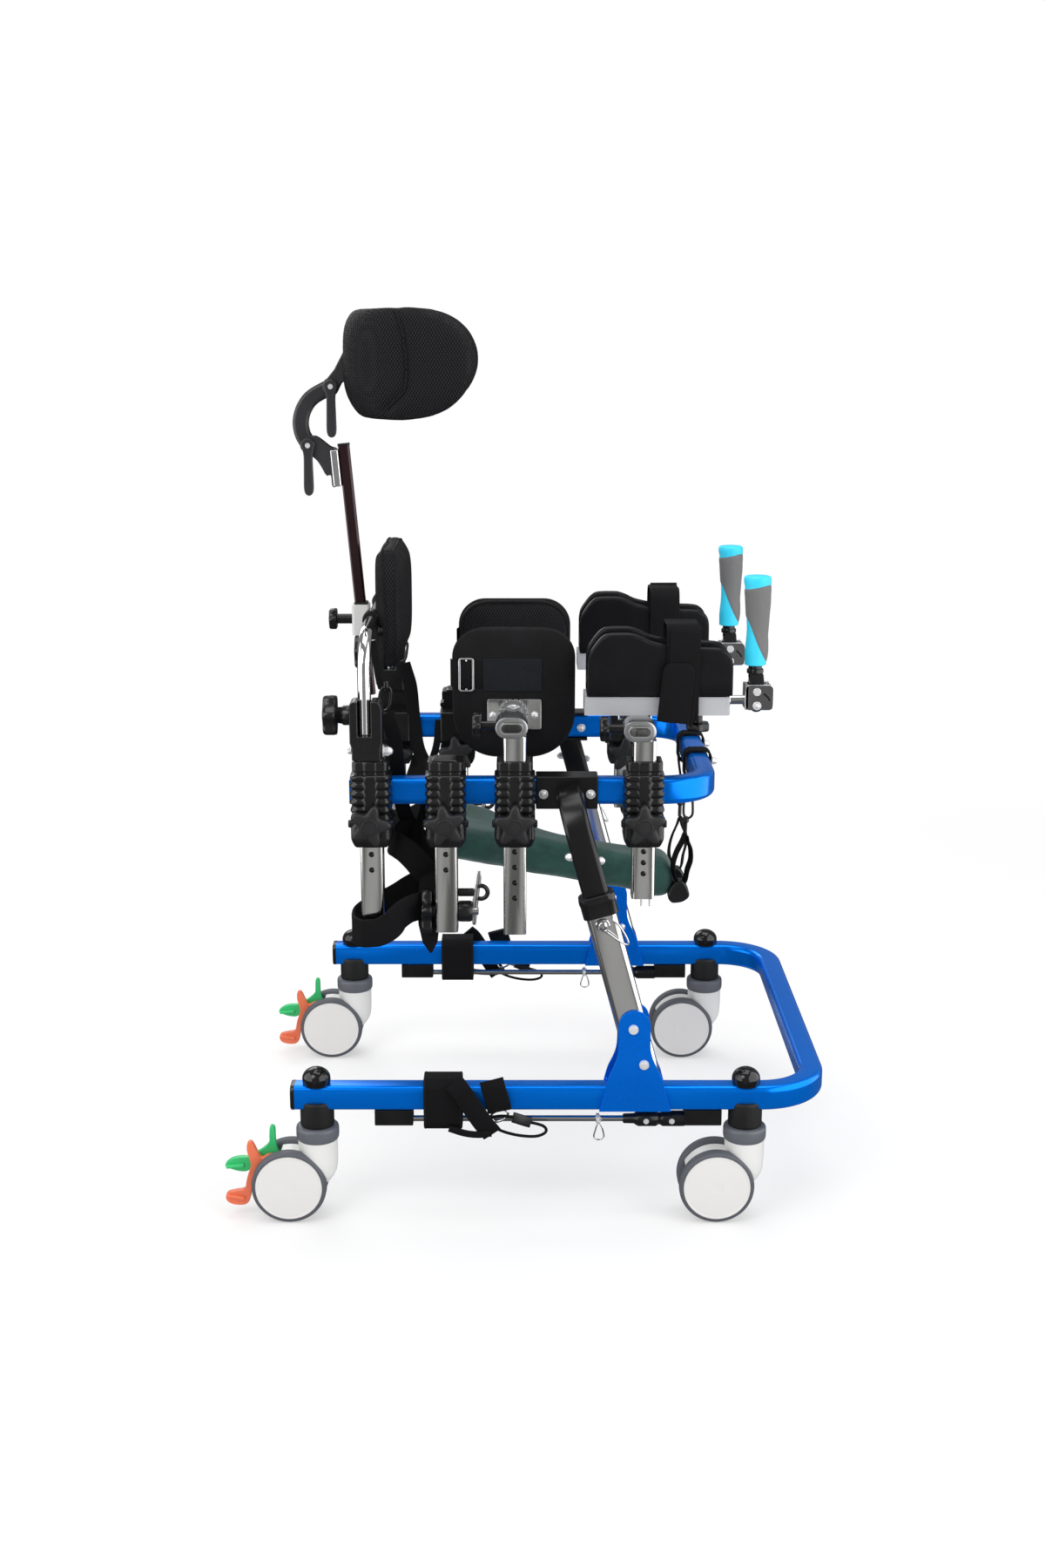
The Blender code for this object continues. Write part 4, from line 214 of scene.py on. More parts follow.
class Shell:
    """Points and faces gathered from parametric grids, in millimetres from the rear swivel axis."""

    def __init__(self) -> None:
        """Start with nothing."""
        self.points: list[np.ndarray] = []
        self.weave: list[np.ndarray] = []
        self.faces: list[list[int]] = []
        self.size = 0

    def grid(self, points: np.ndarray, ring: bool = True, loop: bool = False, caps: bool = True,
             weave: np.ndarray | None = None) -> "Shell":
        """Add the surface p(v, u) given on a grid.

        Args:
            points: positions (rows, columns, 3).
            ring: whether the last column joins the first.
            loop: whether the last row joins the first.
            caps: whether open first and last rows are closed with a face.
            weave: cloth coordinates (rows, columns, 2) in millimetres.

        Returns:
            This shell.
        """
        rows, columns = points.shape[:2]
        index = self.size + np.arange(rows * columns).reshape(rows, columns)
        lower, upper = (index, np.roll(index, -1, 0)) if loop else (index[:-1], index[1:])
        quads = np.stack([lower, np.roll(lower, -1, 1), np.roll(upper, -1, 1), upper], -1)
        if not ring:
            quads = quads[:, :-1]
        self.faces += quads.reshape(-1, 4).tolist()
        if caps and not loop and ring:
            self.faces += [index[0][::-1].tolist(), index[-1].tolist()]
        self.points.append(points.reshape(-1, 3))
        self.weave.append(np.zeros((rows * columns, 2)) if weave is None else weave.reshape(-1, 2))
        self.size += rows * columns
        return self

    def sweep(self, outline: np.ndarray, path: np.ndarray, up: np.ndarray | None = None,
              across: np.ndarray | None = None, scale: np.ndarray | None = None,
              loop: bool = False) -> "Shell":
        """Carry an outline along a path: p(v, u) = path(v) + side(v) * a(u) + normal(v) * b(u).

        Args:
            outline: points (a, b) of the section.
            path: points of the centreline.
            up: fixed direction that the normal keeps closest to.
            across: fixed direction that the side keeps closest to, used instead of up.
            scale: size of the section at each station.
            loop: whether the path joins its own start.

        Returns:
            This shell.
        """
        path = np.asarray(path, float)
        if loop:
            tangent = unit(np.roll(path, -1, 0) - np.roll(path, 1, 0))
        else:
            tangent = unit(np.gradient(path, axis=0))
        if across is None:
            side = unit(np.cross(tangent, Z_AXIS if up is None else up))
            normal = np.cross(side, tangent)
        else:
            normal = unit(np.cross(across, tangent))
            side = np.cross(tangent, normal)
        size = np.ones(len(path)) if scale is None else scale
        section = outline[None] * size[:, None, None]
        points = path[:, None] + side[:, None] * section[..., :1] + normal[:, None] * section[..., 1:]
        reach = np.concatenate([[0.0], np.cumsum(np.linalg.norm(np.diff(path, axis=0), axis=1))])
        weave = np.stack(
            [
                np.broadcast_to(outline[:, 0], points.shape[:2]),
                np.broadcast_to(reach[:, None], points.shape[:2])],
            -1)
        return self.grid(points, loop=loop, weave=weave)

    def tube(self, path: np.ndarray, radius: float, count: int = 16, up: np.ndarray | None = None,
             loop: bool = False) -> "Shell":
        """Round bar along a path."""
        return self.sweep(disc(radius, count), path, up=up, loop=loop)

    def revolve(self, profile: list | np.ndarray, origin: tuple, axis: np.ndarray,
                count: int = 40) -> "Shell":
        """Turn (radius, distance) points round an axis: origin + axis d + (across cos t + up sin t) r."""
        profile = np.asarray(profile, float)
        axis = unit(np.asarray(axis, float))
        across = unit(np.cross(axis, X_AXIS if abs(axis[0]) < 0.9 else Z_AXIS))
        up = np.cross(axis, across)
        angle = turns(count)
        spoke = np.cos(angle)[:, None] * across + np.sin(angle)[:, None] * up
        centre = np.asarray(origin, float) + profile[:, 1:] * axis
        return self.grid(centre[:, None] + profile[:, :1, None] * spoke[None])

    def rod(self, start: tuple, end: tuple, radius: float, edge: float = 0.6, count: int = 24) -> "Shell":
        """Straight round bar between two points, with its end edges rounded over."""
        start, end = np.asarray(start, float), np.asarray(end, float)
        length = float(np.linalg.norm(end - start))
        profile = [
            (0.0, 0.0), (radius - edge, 0.0), (radius, edge), (radius, length - edge),
            (radius - edge, length), (0.0, length)]
        return self.revolve(profile, start, end - start, count)

    def plate(self, outline: np.ndarray, start: float, end: float) -> "Shell":
        """Extrude an (x, z) outline from y = start to y = end."""
        return self.grid(np.stack([lift(outline, start), lift(outline, end)]))

    def block(self, low: tuple, high: tuple, corner: float = 1.0) -> "Shell":
        """Upright block between two corners, with its vertical edges rounded."""
        wide, deep = high[0] - low[0], high[1] - low[1]
        outline = rounded_rect(wide, deep, corner, 4, ((low[0] + high[0]) / 2, (low[1] + high[1]) / 2))
        return self.grid(np.stack([level(outline, low[2]), level(outline, high[2])]))

    def knob(self, outline: np.ndarray, origin: tuple, axis: np.ndarray, hub: float, depth: float,
             stem: float) -> "Shell":
        """Lobed hand knob: a stem, then the outline at the sizes of a rounded rim, under a shallow crown."""
        axis = np.asarray(axis, float)
        up = Z_AXIS if abs(axis[2]) < 0.5 else X_AXIS
        across = np.cross(up, axis)
        rim = (
            (0.90, 0.0), (0.97, 0.04), (1.0, 0.12), (1.0, 0.72), (0.975, 0.86), (0.93, 0.95), (0.86, 1.0),
            (0.60, 1.04), (0.30, 1.06))
        rows = [outline * size for size, _ in rim]
        heights = [hub + depth * share for _, share in rim]
        points = np.stack(
            [
                np.asarray(origin) + axis * h + across * r[:, :1] + up * r[:, 1:] for r,
                h in zip(rows, heights)])
        self.grid(points)
        return self.revolve(
            [(0.0, -1.0), (stem, -1.0), (stem, hub + 0.5), (0.0, hub + 0.5)], origin, axis, 20)

    def nut(self, origin: tuple, axis: np.ndarray, radius: float, height: float) -> "Shell":
        """Six-sided nut or bolt head with a domed end."""
        self.revolve(
            [
                (0.0, -0.6), (radius, -0.6), (radius, height * 0.55), (radius * 0.9, height * 0.62),
                (0.0, height * 0.62)],
            origin, axis, 6)
        dome = [
            (
                radius * 0.82 * math.cos(a),
                height * (0.6 + 0.4 * math.sin(a))) for a in np.linspace(0, 1.57, 7)]
        return self.revolve(
            [(0.0, 0.0), (radius * 0.82, 0.0)] + dome[:-1] + [(0.0, height)], origin, axis, 20)

    def washer(self, origin: tuple, axis: np.ndarray, radius: float, height: float = 1.2) -> "Shell":
        """Flat round washer or screw head."""
        return self.revolve(
            [(0.0, -0.4), (radius, -0.4), (radius, height * 0.7), (radius * 0.93, height), (0.0, height)],
            origin, axis, 28)

    def mesh(self, name: str) -> bpy.types.Mesh:
        """Merge the doubles at poles, turn the faces outward, and return the mesh in metres."""
        points = np.concatenate(self.points) * MM + np.array([REAR_AXIS_X, 0.0, 0.0])
        mesh = bpy.data.meshes.new(name)
        mesh.from_pydata(points.tolist(), [], self.faces)
        weave = mesh.attributes.new("weave", "FLOAT_VECTOR", "POINT")
        flat = np.zeros((self.size, 3), np.float32)
        flat[:, :2] = np.concatenate(self.weave) * MM
        weave.data.foreach_set("vector", flat.ravel())
        bm = bmesh.new()
        bm.from_mesh(mesh)
        bmesh.ops.remove_doubles(bm, verts=bm.verts, dist=1e-6)
        bmesh.ops.recalc_face_normals(bm, faces=bm.faces)
        bm.to_mesh(mesh)
        bm.free()
        mesh.shade_smooth()
        return mesh


def bolted(shell: Shell, spots: list[tuple], axis: np.ndarray, radius: float = 5.0,
           height: float = 5.0) -> Shell:
    """Put a washer and a domed nut at each spot."""
    for spot in spots:
        shell.washer(spot, axis, radius * 1.3)
        shell.nut(spot, axis, radius, height)
    return shell


def oval_bar(centre: tuple[float, float], side: float, start: float, end: float,
             lip: float = 0.5) -> Shell:
    """Hollow oval bar across the walker, from start to end on one side, with a lip at its outer end."""
    outer, inner = oval(31.0, 15.5), oval(26.6, 11.1)
    rows = [(outer, start), (outer, end - lip), (outer * 0.985, end), (inner, end), (inner, start)]
    return Shell().grid(np.stack([lift(o + centre, side * y) for o, y in rows]), loop=True)


# Shading


def operator(operation: str, swapped: bool = False) -> Callable:
    """Method of Value that adds a Math node over the value and another term.

    Args:
        operation: name of the Math operation.
        swapped: whether the other term comes first, as for a number on the left.

    Returns:
        The method.
    """
    def method(self: "Value", other: "Value | float") -> "Value":
        """Add the node."""
        return self.combine(operation, other, self) if swapped else self.combine(operation, self, other)

    return method


class Value:
    """One output socket, with arithmetic that adds Math nodes."""

    def __init__(self, tree: bpy.types.NodeTree, socket: bpy.types.NodeSocket) -> None:
        """Wrap a socket of a node tree."""
        self.tree = tree
        self.socket = socket

    def math(self, operation: str, *others: "Value | float") -> "Value":
        """Add one Math node that takes this value first."""
        return self.combine(operation, self, *others)

    def combine(self, operation: str, *terms: "Value | float") -> "Value":
        """Add one Math node over the given terms.

        Args:
            operation: name of the Math operation.
            terms: values or numbers for its inputs, in order.

        Returns:
            The node's output.
        """
        node = self.tree.nodes.new("ShaderNodeMath")
        node.operation = operation
        for socket, term in zip(node.inputs, terms):
            if isinstance(term, Value):
                self.tree.links.new(term.socket, socket)
            else:
                socket.default_value = float(term)
        return Value(self.tree, node.outputs[0])

    __add__ = __radd__ = operator("ADD")
    __sub__ = operator("SUBTRACT")
    __rsub__ = operator("SUBTRACT", True)
    __mul__ = __rmul__ = operator("MULTIPLY")
    __truediv__ = operator("DIVIDE")
    __pow__ = operator("POWER")
    above = operator("GREATER_THAN")
    most = operator("MAXIMUM")

    def sine(self) -> "Value":
        """Sine of the value in radians."""
        return self.math("SINE")

    def size(self) -> "Value":
        """Absolute value."""
        return self.math("ABSOLUTE")

    def step(self, low: float, high: float) -> "Value":
        """Smooth rise from zero at low to one at high."""
        node = self.tree.nodes.new("ShaderNodeMapRange")
        node.interpolation_type = "SMOOTHSTEP"
        node.inputs["From Min"].default_value = low
        node.inputs["From Max"].default_value = high
        self.tree.links.new(self.socket, node.inputs["Value"])
        return Value(self.tree, node.outputs["Result"])


class Shader:
    """Node tree of one material."""

    def __init__(self, name: str) -> None:
        """Make an empty material of that name."""
        self.material = bpy.data.materials.new(name)
        self.material.use_nodes = True
        self.tree = self.material.node_tree
        self.tree.nodes.clear()

    def node(self, kind: str, settings: dict | None = None, inputs: dict | None = None,
             output: int | str = 0) -> Value:
        """Add any node.

        Args:
            kind: node type without its ShaderNode prefix.
            settings: attributes to set first; "stops" gives a ramp its (position, colour) pairs.
            inputs: values or links by socket name or number.
            output: output wanted, by name or number.

        Returns:
            The wanted output.
        """
        node = self.tree.nodes.new(f"ShaderNode{kind}")
        for key, setting in (settings or {}).items():
            if key == "stops":
                ramp = node.color_ramp
                while len(ramp.elements) < len(setting):
                    ramp.elements.new(1.0)
                for element, (position, colour) in zip(ramp.elements, setting):
                    element.position = position
                    element.color = (*colour, 1.0)
            else:
                setattr(node, key, setting)
        for key, entry in (inputs or {}).items():
            if isinstance(entry, Value):
                self.tree.links.new(entry.socket, node.inputs[key])
            elif isinstance(entry, tuple) and len(entry) == 3 and len(node.inputs[key].default_value) == 4:
                node.inputs[key].default_value = (*entry, 1.0)
            else:
                node.inputs[key].default_value = entry
        return Value(self.tree, node.outputs[output])

    def place(self) -> Value:
        """Object coordinates in metres."""
        return self.node("TexCoord", output="Object")

    def split(self, vector: Value) -> tuple[Value, Value, Value]:
        """X, Y and Z of a vector."""
        first = self.node("SeparateXYZ", inputs={0: vector})
        sockets = first.socket.node.outputs
        return first, Value(self.tree, sockets[1]), Value(self.tree, sockets[2])

    def join(self, x: Value | float, y: Value | float, z: Value | float) -> Value:
        """Vector from three values."""
        return self.node("CombineXYZ", inputs={0: x, 1: y, 2: z})

    def stretched(self, x: float, y: float, z: float) -> Value:
        """Object coordinates scaled by three factors."""
        return self.node("VectorMath", {"operation": "MULTIPLY"}, {0: self.place(), 1: (x, y, z)})

    def noise(self, scale: float, detail: float = 3.0, roughness: float = 0.55,
              vector: Value | None = None) -> Value:
        """Fractal noise from zero to one, in cycles per metre."""
        return self.node(
            "TexNoise",
            inputs={
                "Vector": vector or self.place(), "Scale": scale, "Detail": detail, "Roughness": roughness})

    def cells(self, scale: float, feature: str = "F1", vector: Value | None = None) -> Value:
        """Voronoi distance."""
        return self.node(
            "TexVoronoi", {"feature": feature}, {"Vector": vector or self.place(), "Scale": scale},
            "Distance")

    def blend(self, factor: Value | float, low: Value | tuple, high: Value | tuple) -> Value:
        """Mix of two colours."""
        mix = self.tree.nodes.new("ShaderNodeMix")
        mix.data_type = "RGBA"
        for socket, entry in ((mix.inputs[0], factor), (mix.inputs[6], low), (mix.inputs[7], high)):
            if isinstance(entry, Value):
                self.tree.links.new(entry.socket, socket)
            elif isinstance(entry, tuple):
                socket.default_value = (*entry, 1.0)
            else:
                socket.default_value = entry
        return Value(self.tree, mix.outputs[2])

    def bump(self, height: Value, distance: float, strength: float = 1.0) -> Value:
        """Bumped normal for a height field, whose unit stands distance metres tall."""
        return self.node("Bump", inputs={"Height": height, "Distance": distance, "Strength": strength})

    def surface(self, **sockets: Value | float | tuple) -> bpy.types.Material:
        """Principled surface whose sockets are named with underscores for spaces; returns the material."""
        inputs = {key.replace("_", " "): entry for key, entry in sockets.items()}
        return self.finish(self.node("BsdfPrincipled", inputs=inputs))

    def finish(self, closure: Value) -> bpy.types.Material:
        """Wire a closure to the output, and return the material."""
        output = self.tree.nodes.new("ShaderNodeOutputMaterial")
        self.tree.links.new(closure.socket, output.inputs["Surface"])
        return self.material


@dataclass(frozen=True)
class Finish:
    """A finish with a name and the record's slot that it belongs to."""

    name: str
    slot: str

    def material(self) -> bpy.types.Material:
        """The finish's one material, made the first time it is asked for."""
        return bpy.data.materials.get(self.name) or self.paint(Shader(self.name))

    def paint(self, shader: Shader) -> bpy.types.Material:
        """Wire the finish into an empty shader."""
        raise NotImplementedError


@dataclass(frozen=True)
class Metal(Finish):
    """Drawn or plated metal: tone drifts a little, and fine lines run along one direction."""

    colour: tuple[float, float, float] = (0.8, 0.8, 0.8)
    roughness: float = 0.2
    lines: tuple[float, float, float] = (900.0, 900.0, 12.0)
    grain: float = 0.08
    metallic: float = 1.0
    coat: float = 0.0
    specular: float = 0.5

    def paint(self, shader: Shader) -> bpy.types.Material:
        """Colour by broad noise, roughness and bump by stretched noise."""
        drawn = shader.noise(1.0, 4.0, 0.6, shader.stretched(*self.lines))
        broad = shader.noise(14.0, 3.0)
        marks = shader.noise(260.0, 2.0).step(0.66, 0.78)
        deep = tuple(c * 0.86 for c in self.colour)
        colour = shader.blend(
            broad * 0.7 + drawn * 0.3, deep, tuple(min(c * 1.06, 1.0) for c in self.colour))
        roughness = self.roughness * (0.75 + 0.5 * drawn) + 0.10 * marks
        normal = shader.bump(drawn, 0.00002, self.grain * 4)
        return shader.surface(
            Base_Color=colour, Roughness=roughness, Metallic=self.metallic, Normal=normal,
            Coat_Weight=self.coat, Coat_Roughness=0.06, Specular_IOR_Level=self.specular)


@dataclass(frozen=True)
class Moulded(Finish):
    """Moulded plastic with a spark-eroded grain and slight wear."""

    colour: tuple[float, float, float] = (0.02, 0.02, 0.02)
    roughness: float = 0.45
    grain_size: float = 0.0009
    grain: float = 0.25
    wear: float = 0.25
    specular: float = 0.5

    def paint(self, shader: Shader) -> bpy.types.Material:
        """Cell grain in the bump, broad noise in colour and roughness."""
        grain = shader.cells(1 / self.grain_size)
        fine = shader.noise(0.6 / self.grain_size, 2.0)
        broad = shader.noise(22.0, 4.0, 0.6)
        pale = tuple(c + (0.05 + 0.10 * c) * self.wear for c in self.colour)
        colour = shader.blend(broad.step(0.35, 0.75) * 0.6 + fine * 0.2, self.colour, pale)
        roughness = self.roughness + 0.12 * (broad - 0.5) + 0.05 * (fine - 0.5)
        normal = shader.bump(grain + 0.5 * fine, 0.00006, self.grain)
        return shader.surface(
            Base_Color=colour, Roughness=roughness, Normal=normal, Specular_IOR_Level=self.specular)


@dataclass(frozen=True)
class SpacerMesh(Finish):
    """Knitted spacer fabric: rows of small diamond holes, projected along the axes, mixed by the normal."""

    colour: tuple[float, float, float] = (0.0085, 0.0085, 0.0095)
    pitch: float = 0.0040

    def holes(self, a: Value, b: Value) -> Value:
        """One flat lattice: the product of two crossed sines."""
        wave = math.pi / self.pitch
        return ((a + 0.6 * b) * wave).sine().size() * ((a - 0.6 * b) * wave).sine().size()

    def paint(self, shader: Shader) -> bpy.types.Material:
        """Mix the three lattices by the fourth power of the normal, then use them for colour and bump."""
        x, y, z = shader.split(shader.place())
        nx, ny, nz = shader.split(shader.node("TexCoord", output="Normal"))
        wx, wy, wz = nx ** 4.0, ny ** 4.0, nz ** 4.0
        lattice = self.holes(y, z) * wx + self.holes(x, z) * wy + self.holes(x, y) * wz
        lattice = lattice / (wx + wy + wz + 0.0001)
        fuzz = shader.noise(2500.0, 2.0)
        ground = lattice.step(0.05, 0.6)
        colour = shader.blend(
            ground * 0.8 + fuzz * 0.2, tuple(c * 0.15 for c in self.colour),
            tuple(c * 2.6 for c in self.colour))
        normal = shader.bump(lattice + 0.25 * fuzz, 0.0009, 1.0)
        return shader.surface(
            Base_Color=colour, Roughness=0.80 - 0.25 * ground, Normal=normal, Specular_IOR_Level=0.10)


@dataclass(frozen=True)
class Webbing(Finish):
    """Woven strap: ribs across and a herringbone along, on the strap's own cloth coordinates."""

    colour: tuple[float, float, float] = (0.0065, 0.0065, 0.0075)
    rib: float = 0.0011

    def paint(self, shader: Shader) -> bpy.types.Material:
        """Ribs from the along coordinate, offset by the folded across coordinate."""
        across, along, _ = shader.split(
            shader.node("Attribute", {"attribute_name": "weave"}, output="Vector"))
        twill = ((along + 0.5 * across.size()) * (math.pi / self.rib)).sine().size()
        thread = (across * (math.pi / (self.rib * 0.7))).sine().size()
        fuzz = shader.noise(1800.0, 3.0)
        ground = twill * 0.7 + thread * 0.3
        colour = shader.blend(
            ground * 0.6 + fuzz * 0.4, tuple(c * 0.35 for c in self.colour),
            tuple(c * 1.5 for c in self.colour))
        normal = shader.bump(ground + 0.4 * fuzz, 0.00025, 0.7)
        return shader.surface(
            Base_Color=colour, Roughness=0.78 - 0.12 * ground, Normal=normal, Specular_IOR_Level=0.11)


@dataclass(frozen=True)
class Cloth(Finish):
    """Close knitted cover with a soft nap."""

    colour: tuple[float, float, float] = (0.03, 0.09, 0.07)
    thread: float = 0.0009
    nap: float = 0.3

    def paint(self, shader: Shader) -> bpy.types.Material:
        """Cells for the knit, broad noise for the nap brushed both ways."""
        knit = shader.cells(1 / self.thread, vector=shader.stretched(1.0, 1.0, 0.7))
        fuzz = shader.noise(2200.0, 3.0)
        brushed = shader.noise(28.0, 5.0, 0.65)
        mix = brushed.step(0.3, 0.75) * 0.6 + fuzz * 0.25 + knit * 0.15
        colour = shader.blend(
            mix, tuple(c * 0.72 for c in self.colour), tuple(c * 1.5 for c in self.colour))
        normal = shader.bump(knit + fuzz * 0.6 + brushed * 0.5, 0.0002, 0.6)
        return shader.surface(
            Base_Color=colour, Roughness=0.88 - 0.1 * fuzz, Normal=normal, Sheen_Weight=self.nap,
            Sheen_Roughness=0.4, Specular_IOR_Level=0.25)


@dataclass(frozen=True)
class FoamSkin(Finish):
    """Moulded foam with a satin leather-grain skin."""

    colour: tuple[float, float, float] = (0.0065, 0.0065, 0.0075)
    roughness: float = 0.38

    def paint(self, shader: Shader) -> bpy.types.Material:
        """Pebble grain from cell edges, with soft patches of polish."""
        pebble = shader.cells(620.0, "DISTANCE_TO_EDGE").step(0.0, 0.25)
        soft = shader.noise(30.0, 4.0)
        fine = shader.noise(1500.0, 2.0)
        colour = shader.blend(soft * 0.6 + fine * 0.2, self.colour, tuple(c * 1.9 for c in self.colour))
        roughness = self.roughness + 0.16 * (soft - 0.4) - 0.05 * pebble
        normal = shader.bump(pebble + 0.3 * fine, 0.00007, 0.35)
        return shader.surface(Base_Color=colour, Roughness=roughness, Normal=normal, Specular_IOR_Level=0.2)


@dataclass(frozen=True)
class Flat(Finish):
    """Matt studio surface that turns plain white far behind the walker; glossy rays see a painted reflection
    instead, a dim glow with brighter painted streaks.
    """

    shade: float = 0.93
    fade: tuple[float, float] = (0.8, 2.2)
    whiten: float = 0.45
    painted_reflection_glow: float = 0.09
    painted_streak_glow: float = 0.30

    def paint(self, shader: Shader) -> bpy.types.Material:
        """Diffuse mixed with white for the camera, and for glossy rays a painted reflection: a dim emission
        with brighter painted streaks.
        """
        path = shader.tree.nodes.new("ShaderNodeLightPath")
        seen = Value(shader.tree, path.outputs["Is Camera Ray"])
        glossy = Value(shader.tree, path.outputs["Is Glossy Ray"])
        x, y, _ = shader.split(shader.place())
        diffuse = shader.node("BsdfDiffuse", inputs={"Color": (self.shade, self.shade, self.shade)})
        # Painted reflection: glossy rays see these glows in place of the lit sheet, a dim one that paints
        # darker reflections and a brighter one for painted streaks.
        white, painted_dim_reflection, bright = (
            shader.node("Emission", inputs={"Color": (1.0, 1.0, 1.0), "Strength": strength})
            for strength in (1.0, self.painted_reflection_glow, self.painted_reflection_glow + self.painted_streak_glow))
        hidden = seen * (self.whiten + (1.0 - self.whiten) * y.size().step(*self.fade))
        pale = shader.node("MixShader", inputs={0: hidden, 1: diffuse, 2: white})
        # Painted streaks: slanted bands of brighter glow, kept to the floor nearer the camera than the
        # walker, that metal shows as highlights.
        painted_streak_mask = ((x + 0.12 * y + 0.83) * (math.pi / 0.58)).sine().size().step(0.3, 0.9)
        mirrored = shader.node(
            "MixShader", inputs={0: painted_streak_mask * (y * -1.0).step(0.6, 1.1), 1: painted_dim_reflection, 2: bright})
        return shader.finish(shader.node("MixShader", inputs={0: glossy, 1: pale, 2: mirrored}))


BLUE = Metal(
    "anodised_blue_rail", "blue_frame", (0.0, 0.215, 0.97), 0.20, (14.0, 600.0, 600.0), 0.05, 0.6, 0.03,
    0.1)
BLUE_PLATE = Metal(
    "anodised_blue_plate", "blue_frame", (0.0, 0.175, 0.84), 0.28, (500.0, 500.0, 500.0), 0.01, 0.5, 0.03,
    0.1)
ALUMINIUM = Metal(
    "bright_post_aluminium", "bright_metal", (0.78, 0.775, 0.76), 0.13, (700.0, 700.0, 10.0), 0.08)
CHROME = Metal("chrome_plate", "bright_metal", (0.80, 0.80, 0.81), 0.08, (120.0, 120.0, 120.0), 0.02)
ZINC = Metal("zinc_hardware", "dark_metal", (0.93, 0.93, 0.94), 0.20, (300.0, 300.0, 300.0), 0.02, 0.45)
CAST = Metal("cast_aluminium", "bright_metal", (0.62, 0.63, 0.64), 0.30, (350.0, 350.0, 350.0), 0.25)
BRASS = Metal("brass_thread", "bright_metal", (0.62, 0.46, 0.20), 0.25, (300.0, 300.0, 300.0), 0.1)
POWDER = Moulded("black_powder_coat", "black_metal", (0.006, 0.006, 0.0065), 0.24, 0.0007, 0.18, 0.08, 0.4)
NYLON = Moulded(
    "black_moulded_nylon", "black_plastic", (0.006, 0.006, 0.0065), 0.24, 0.0009, 0.16, 0.12, 0.5)
STEEL = Moulded("satin_black_steel", "black_plastic", (0.024, 0.024, 0.027), 0.34, 0.0007, 0.15, 0.15, 0.5)
KNOB = Moulded("charcoal_knob_nylon", "black_plastic", (0.016, 0.016, 0.0175), 0.46, 0.0008, 0.3, 0.12, 0.4)
GLOSS = Moulded("black_gloss_dome", "black_plastic", (0.006, 0.006, 0.007), 0.10, 0.002, 0.0, 0.04)
RUBBER = Moulded("black_rubber_bush", "black_plastic", (0.010, 0.010, 0.0105), 0.55, 0.0012, 0.25, 0.2, 0.3)
SHELL = Moulded("caster_white_shell", "caster_shell", (0.82, 0.82, 0.80), 0.34, 0.0012, 0.12, 0.1)
DISC = Moulded("caster_white_disc", "caster_shell", (0.80, 0.785, 0.77), 0.40, 0.0010, 0.16, 0.1)
RING = Moulded("caster_grey_ring", "tyre", (0.115, 0.125, 0.145), 0.42, 0.0010, 0.2, 0.1)
TYRE = Moulded("caster_grey_tyre", "tyre", (0.095, 0.102, 0.120), 0.55, 0.0014, 0.3, 0.15)
GREEN_PEDAL = Moulded("pedal_green_plastic", "pedal_green", (0.035, 0.60, 0.19), 0.38, 0.0012, 0.15, 0.2)
ORANGE_PEDAL = Moulded("pedal_orange_plastic", "pedal_orange", (0.90, 0.19, 0.085), 0.38, 0.0012, 0.15, 0.2)
TRAY = Metal("tray_grey_channel", "tray_metal", (0.66, 0.67, 0.70), 0.34, (10.0, 500.0, 500.0), 0.1, 0.35)
GRIP_GREY = Moulded("grip_grey_rubber", "grip_rubber", (0.165, 0.165, 0.168), 0.68, 0.0014, 0.5, 0.25)
GRIP_CYAN = Moulded("grip_cyan_plastic", "grip_rubber", (0.035, 0.70, 0.98), 0.42, 0.0012, 0.15, 0.15)
MAROON = Metal(
    "dark_maroon_bar", "maroon_metal", (0.030, 0.008, 0.012), 0.26, (300.0, 300.0, 12.0), 0.1, 0.5, 0.3)
WHITE_BLOCK = Moulded("white_moulded_block", "black_plastic", (0.78, 0.78, 0.77), 0.38, 0.0012, 0.15, 0.1)
MESH = SpacerMesh("black_spacer_mesh", "mesh_fabric")
VINYL = Cloth("black_pad_cover", "mesh_fabric", (0.0060, 0.0060, 0.0070), 0.0007, 0.0)
SATIN = FoamSkin("black_satin_patch", "mesh_fabric", (0.0100, 0.0110, 0.0140), 0.30)
PIPING = Webbing("black_pad_piping", "mesh_fabric", (0.010, 0.010, 0.011), 0.0016)
STRAP = Webbing("black_woven_webbing", "webbing")
GREEN_CLOTH = Cloth("dark_green_saddle_cloth", "saddle_fabric", (0.024, 0.070, 0.058), 0.0010, 0.30)
FOAM = FoamSkin("black_forearm_foam", "forearm_foam", (0.0045, 0.0045, 0.0055), 0.36)
FLOOR = Flat("studio_floor", "")
# Painted reflection: a sheet that glows for glossy rays only, hidden from the camera and from diffuse light,
# to paint bright edges on metal.
PAINTED_REFLECTION_CARD = Flat("studio_painted_reflection_card", "", 0.9, (9.0, 10.0), 0.0, 2.2, 0.0)


# Pieces


def placed(mesh: bpy.types.Mesh, finish: Finish) -> bpy.types.Object:
    """Object of the mesh's own name in the scene, with its finish."""
    mesh.materials.append(finish.material())
    piece = bpy.data.objects.new(mesh.name, mesh)
    bpy.context.scene.collection.objects.link(piece)
    return piece


def bake(piece: bpy.types.Object) -> bpy.types.Mesh:
    """Put a piece's modifiers into its mesh, and return that mesh."""
    evaluated = piece.evaluated_get(bpy.context.evaluated_depsgraph_get())
    mesh = bpy.data.meshes.new_from_object(evaluated)
    piece.modifiers.clear()
    piece.data = mesh
    return mesh


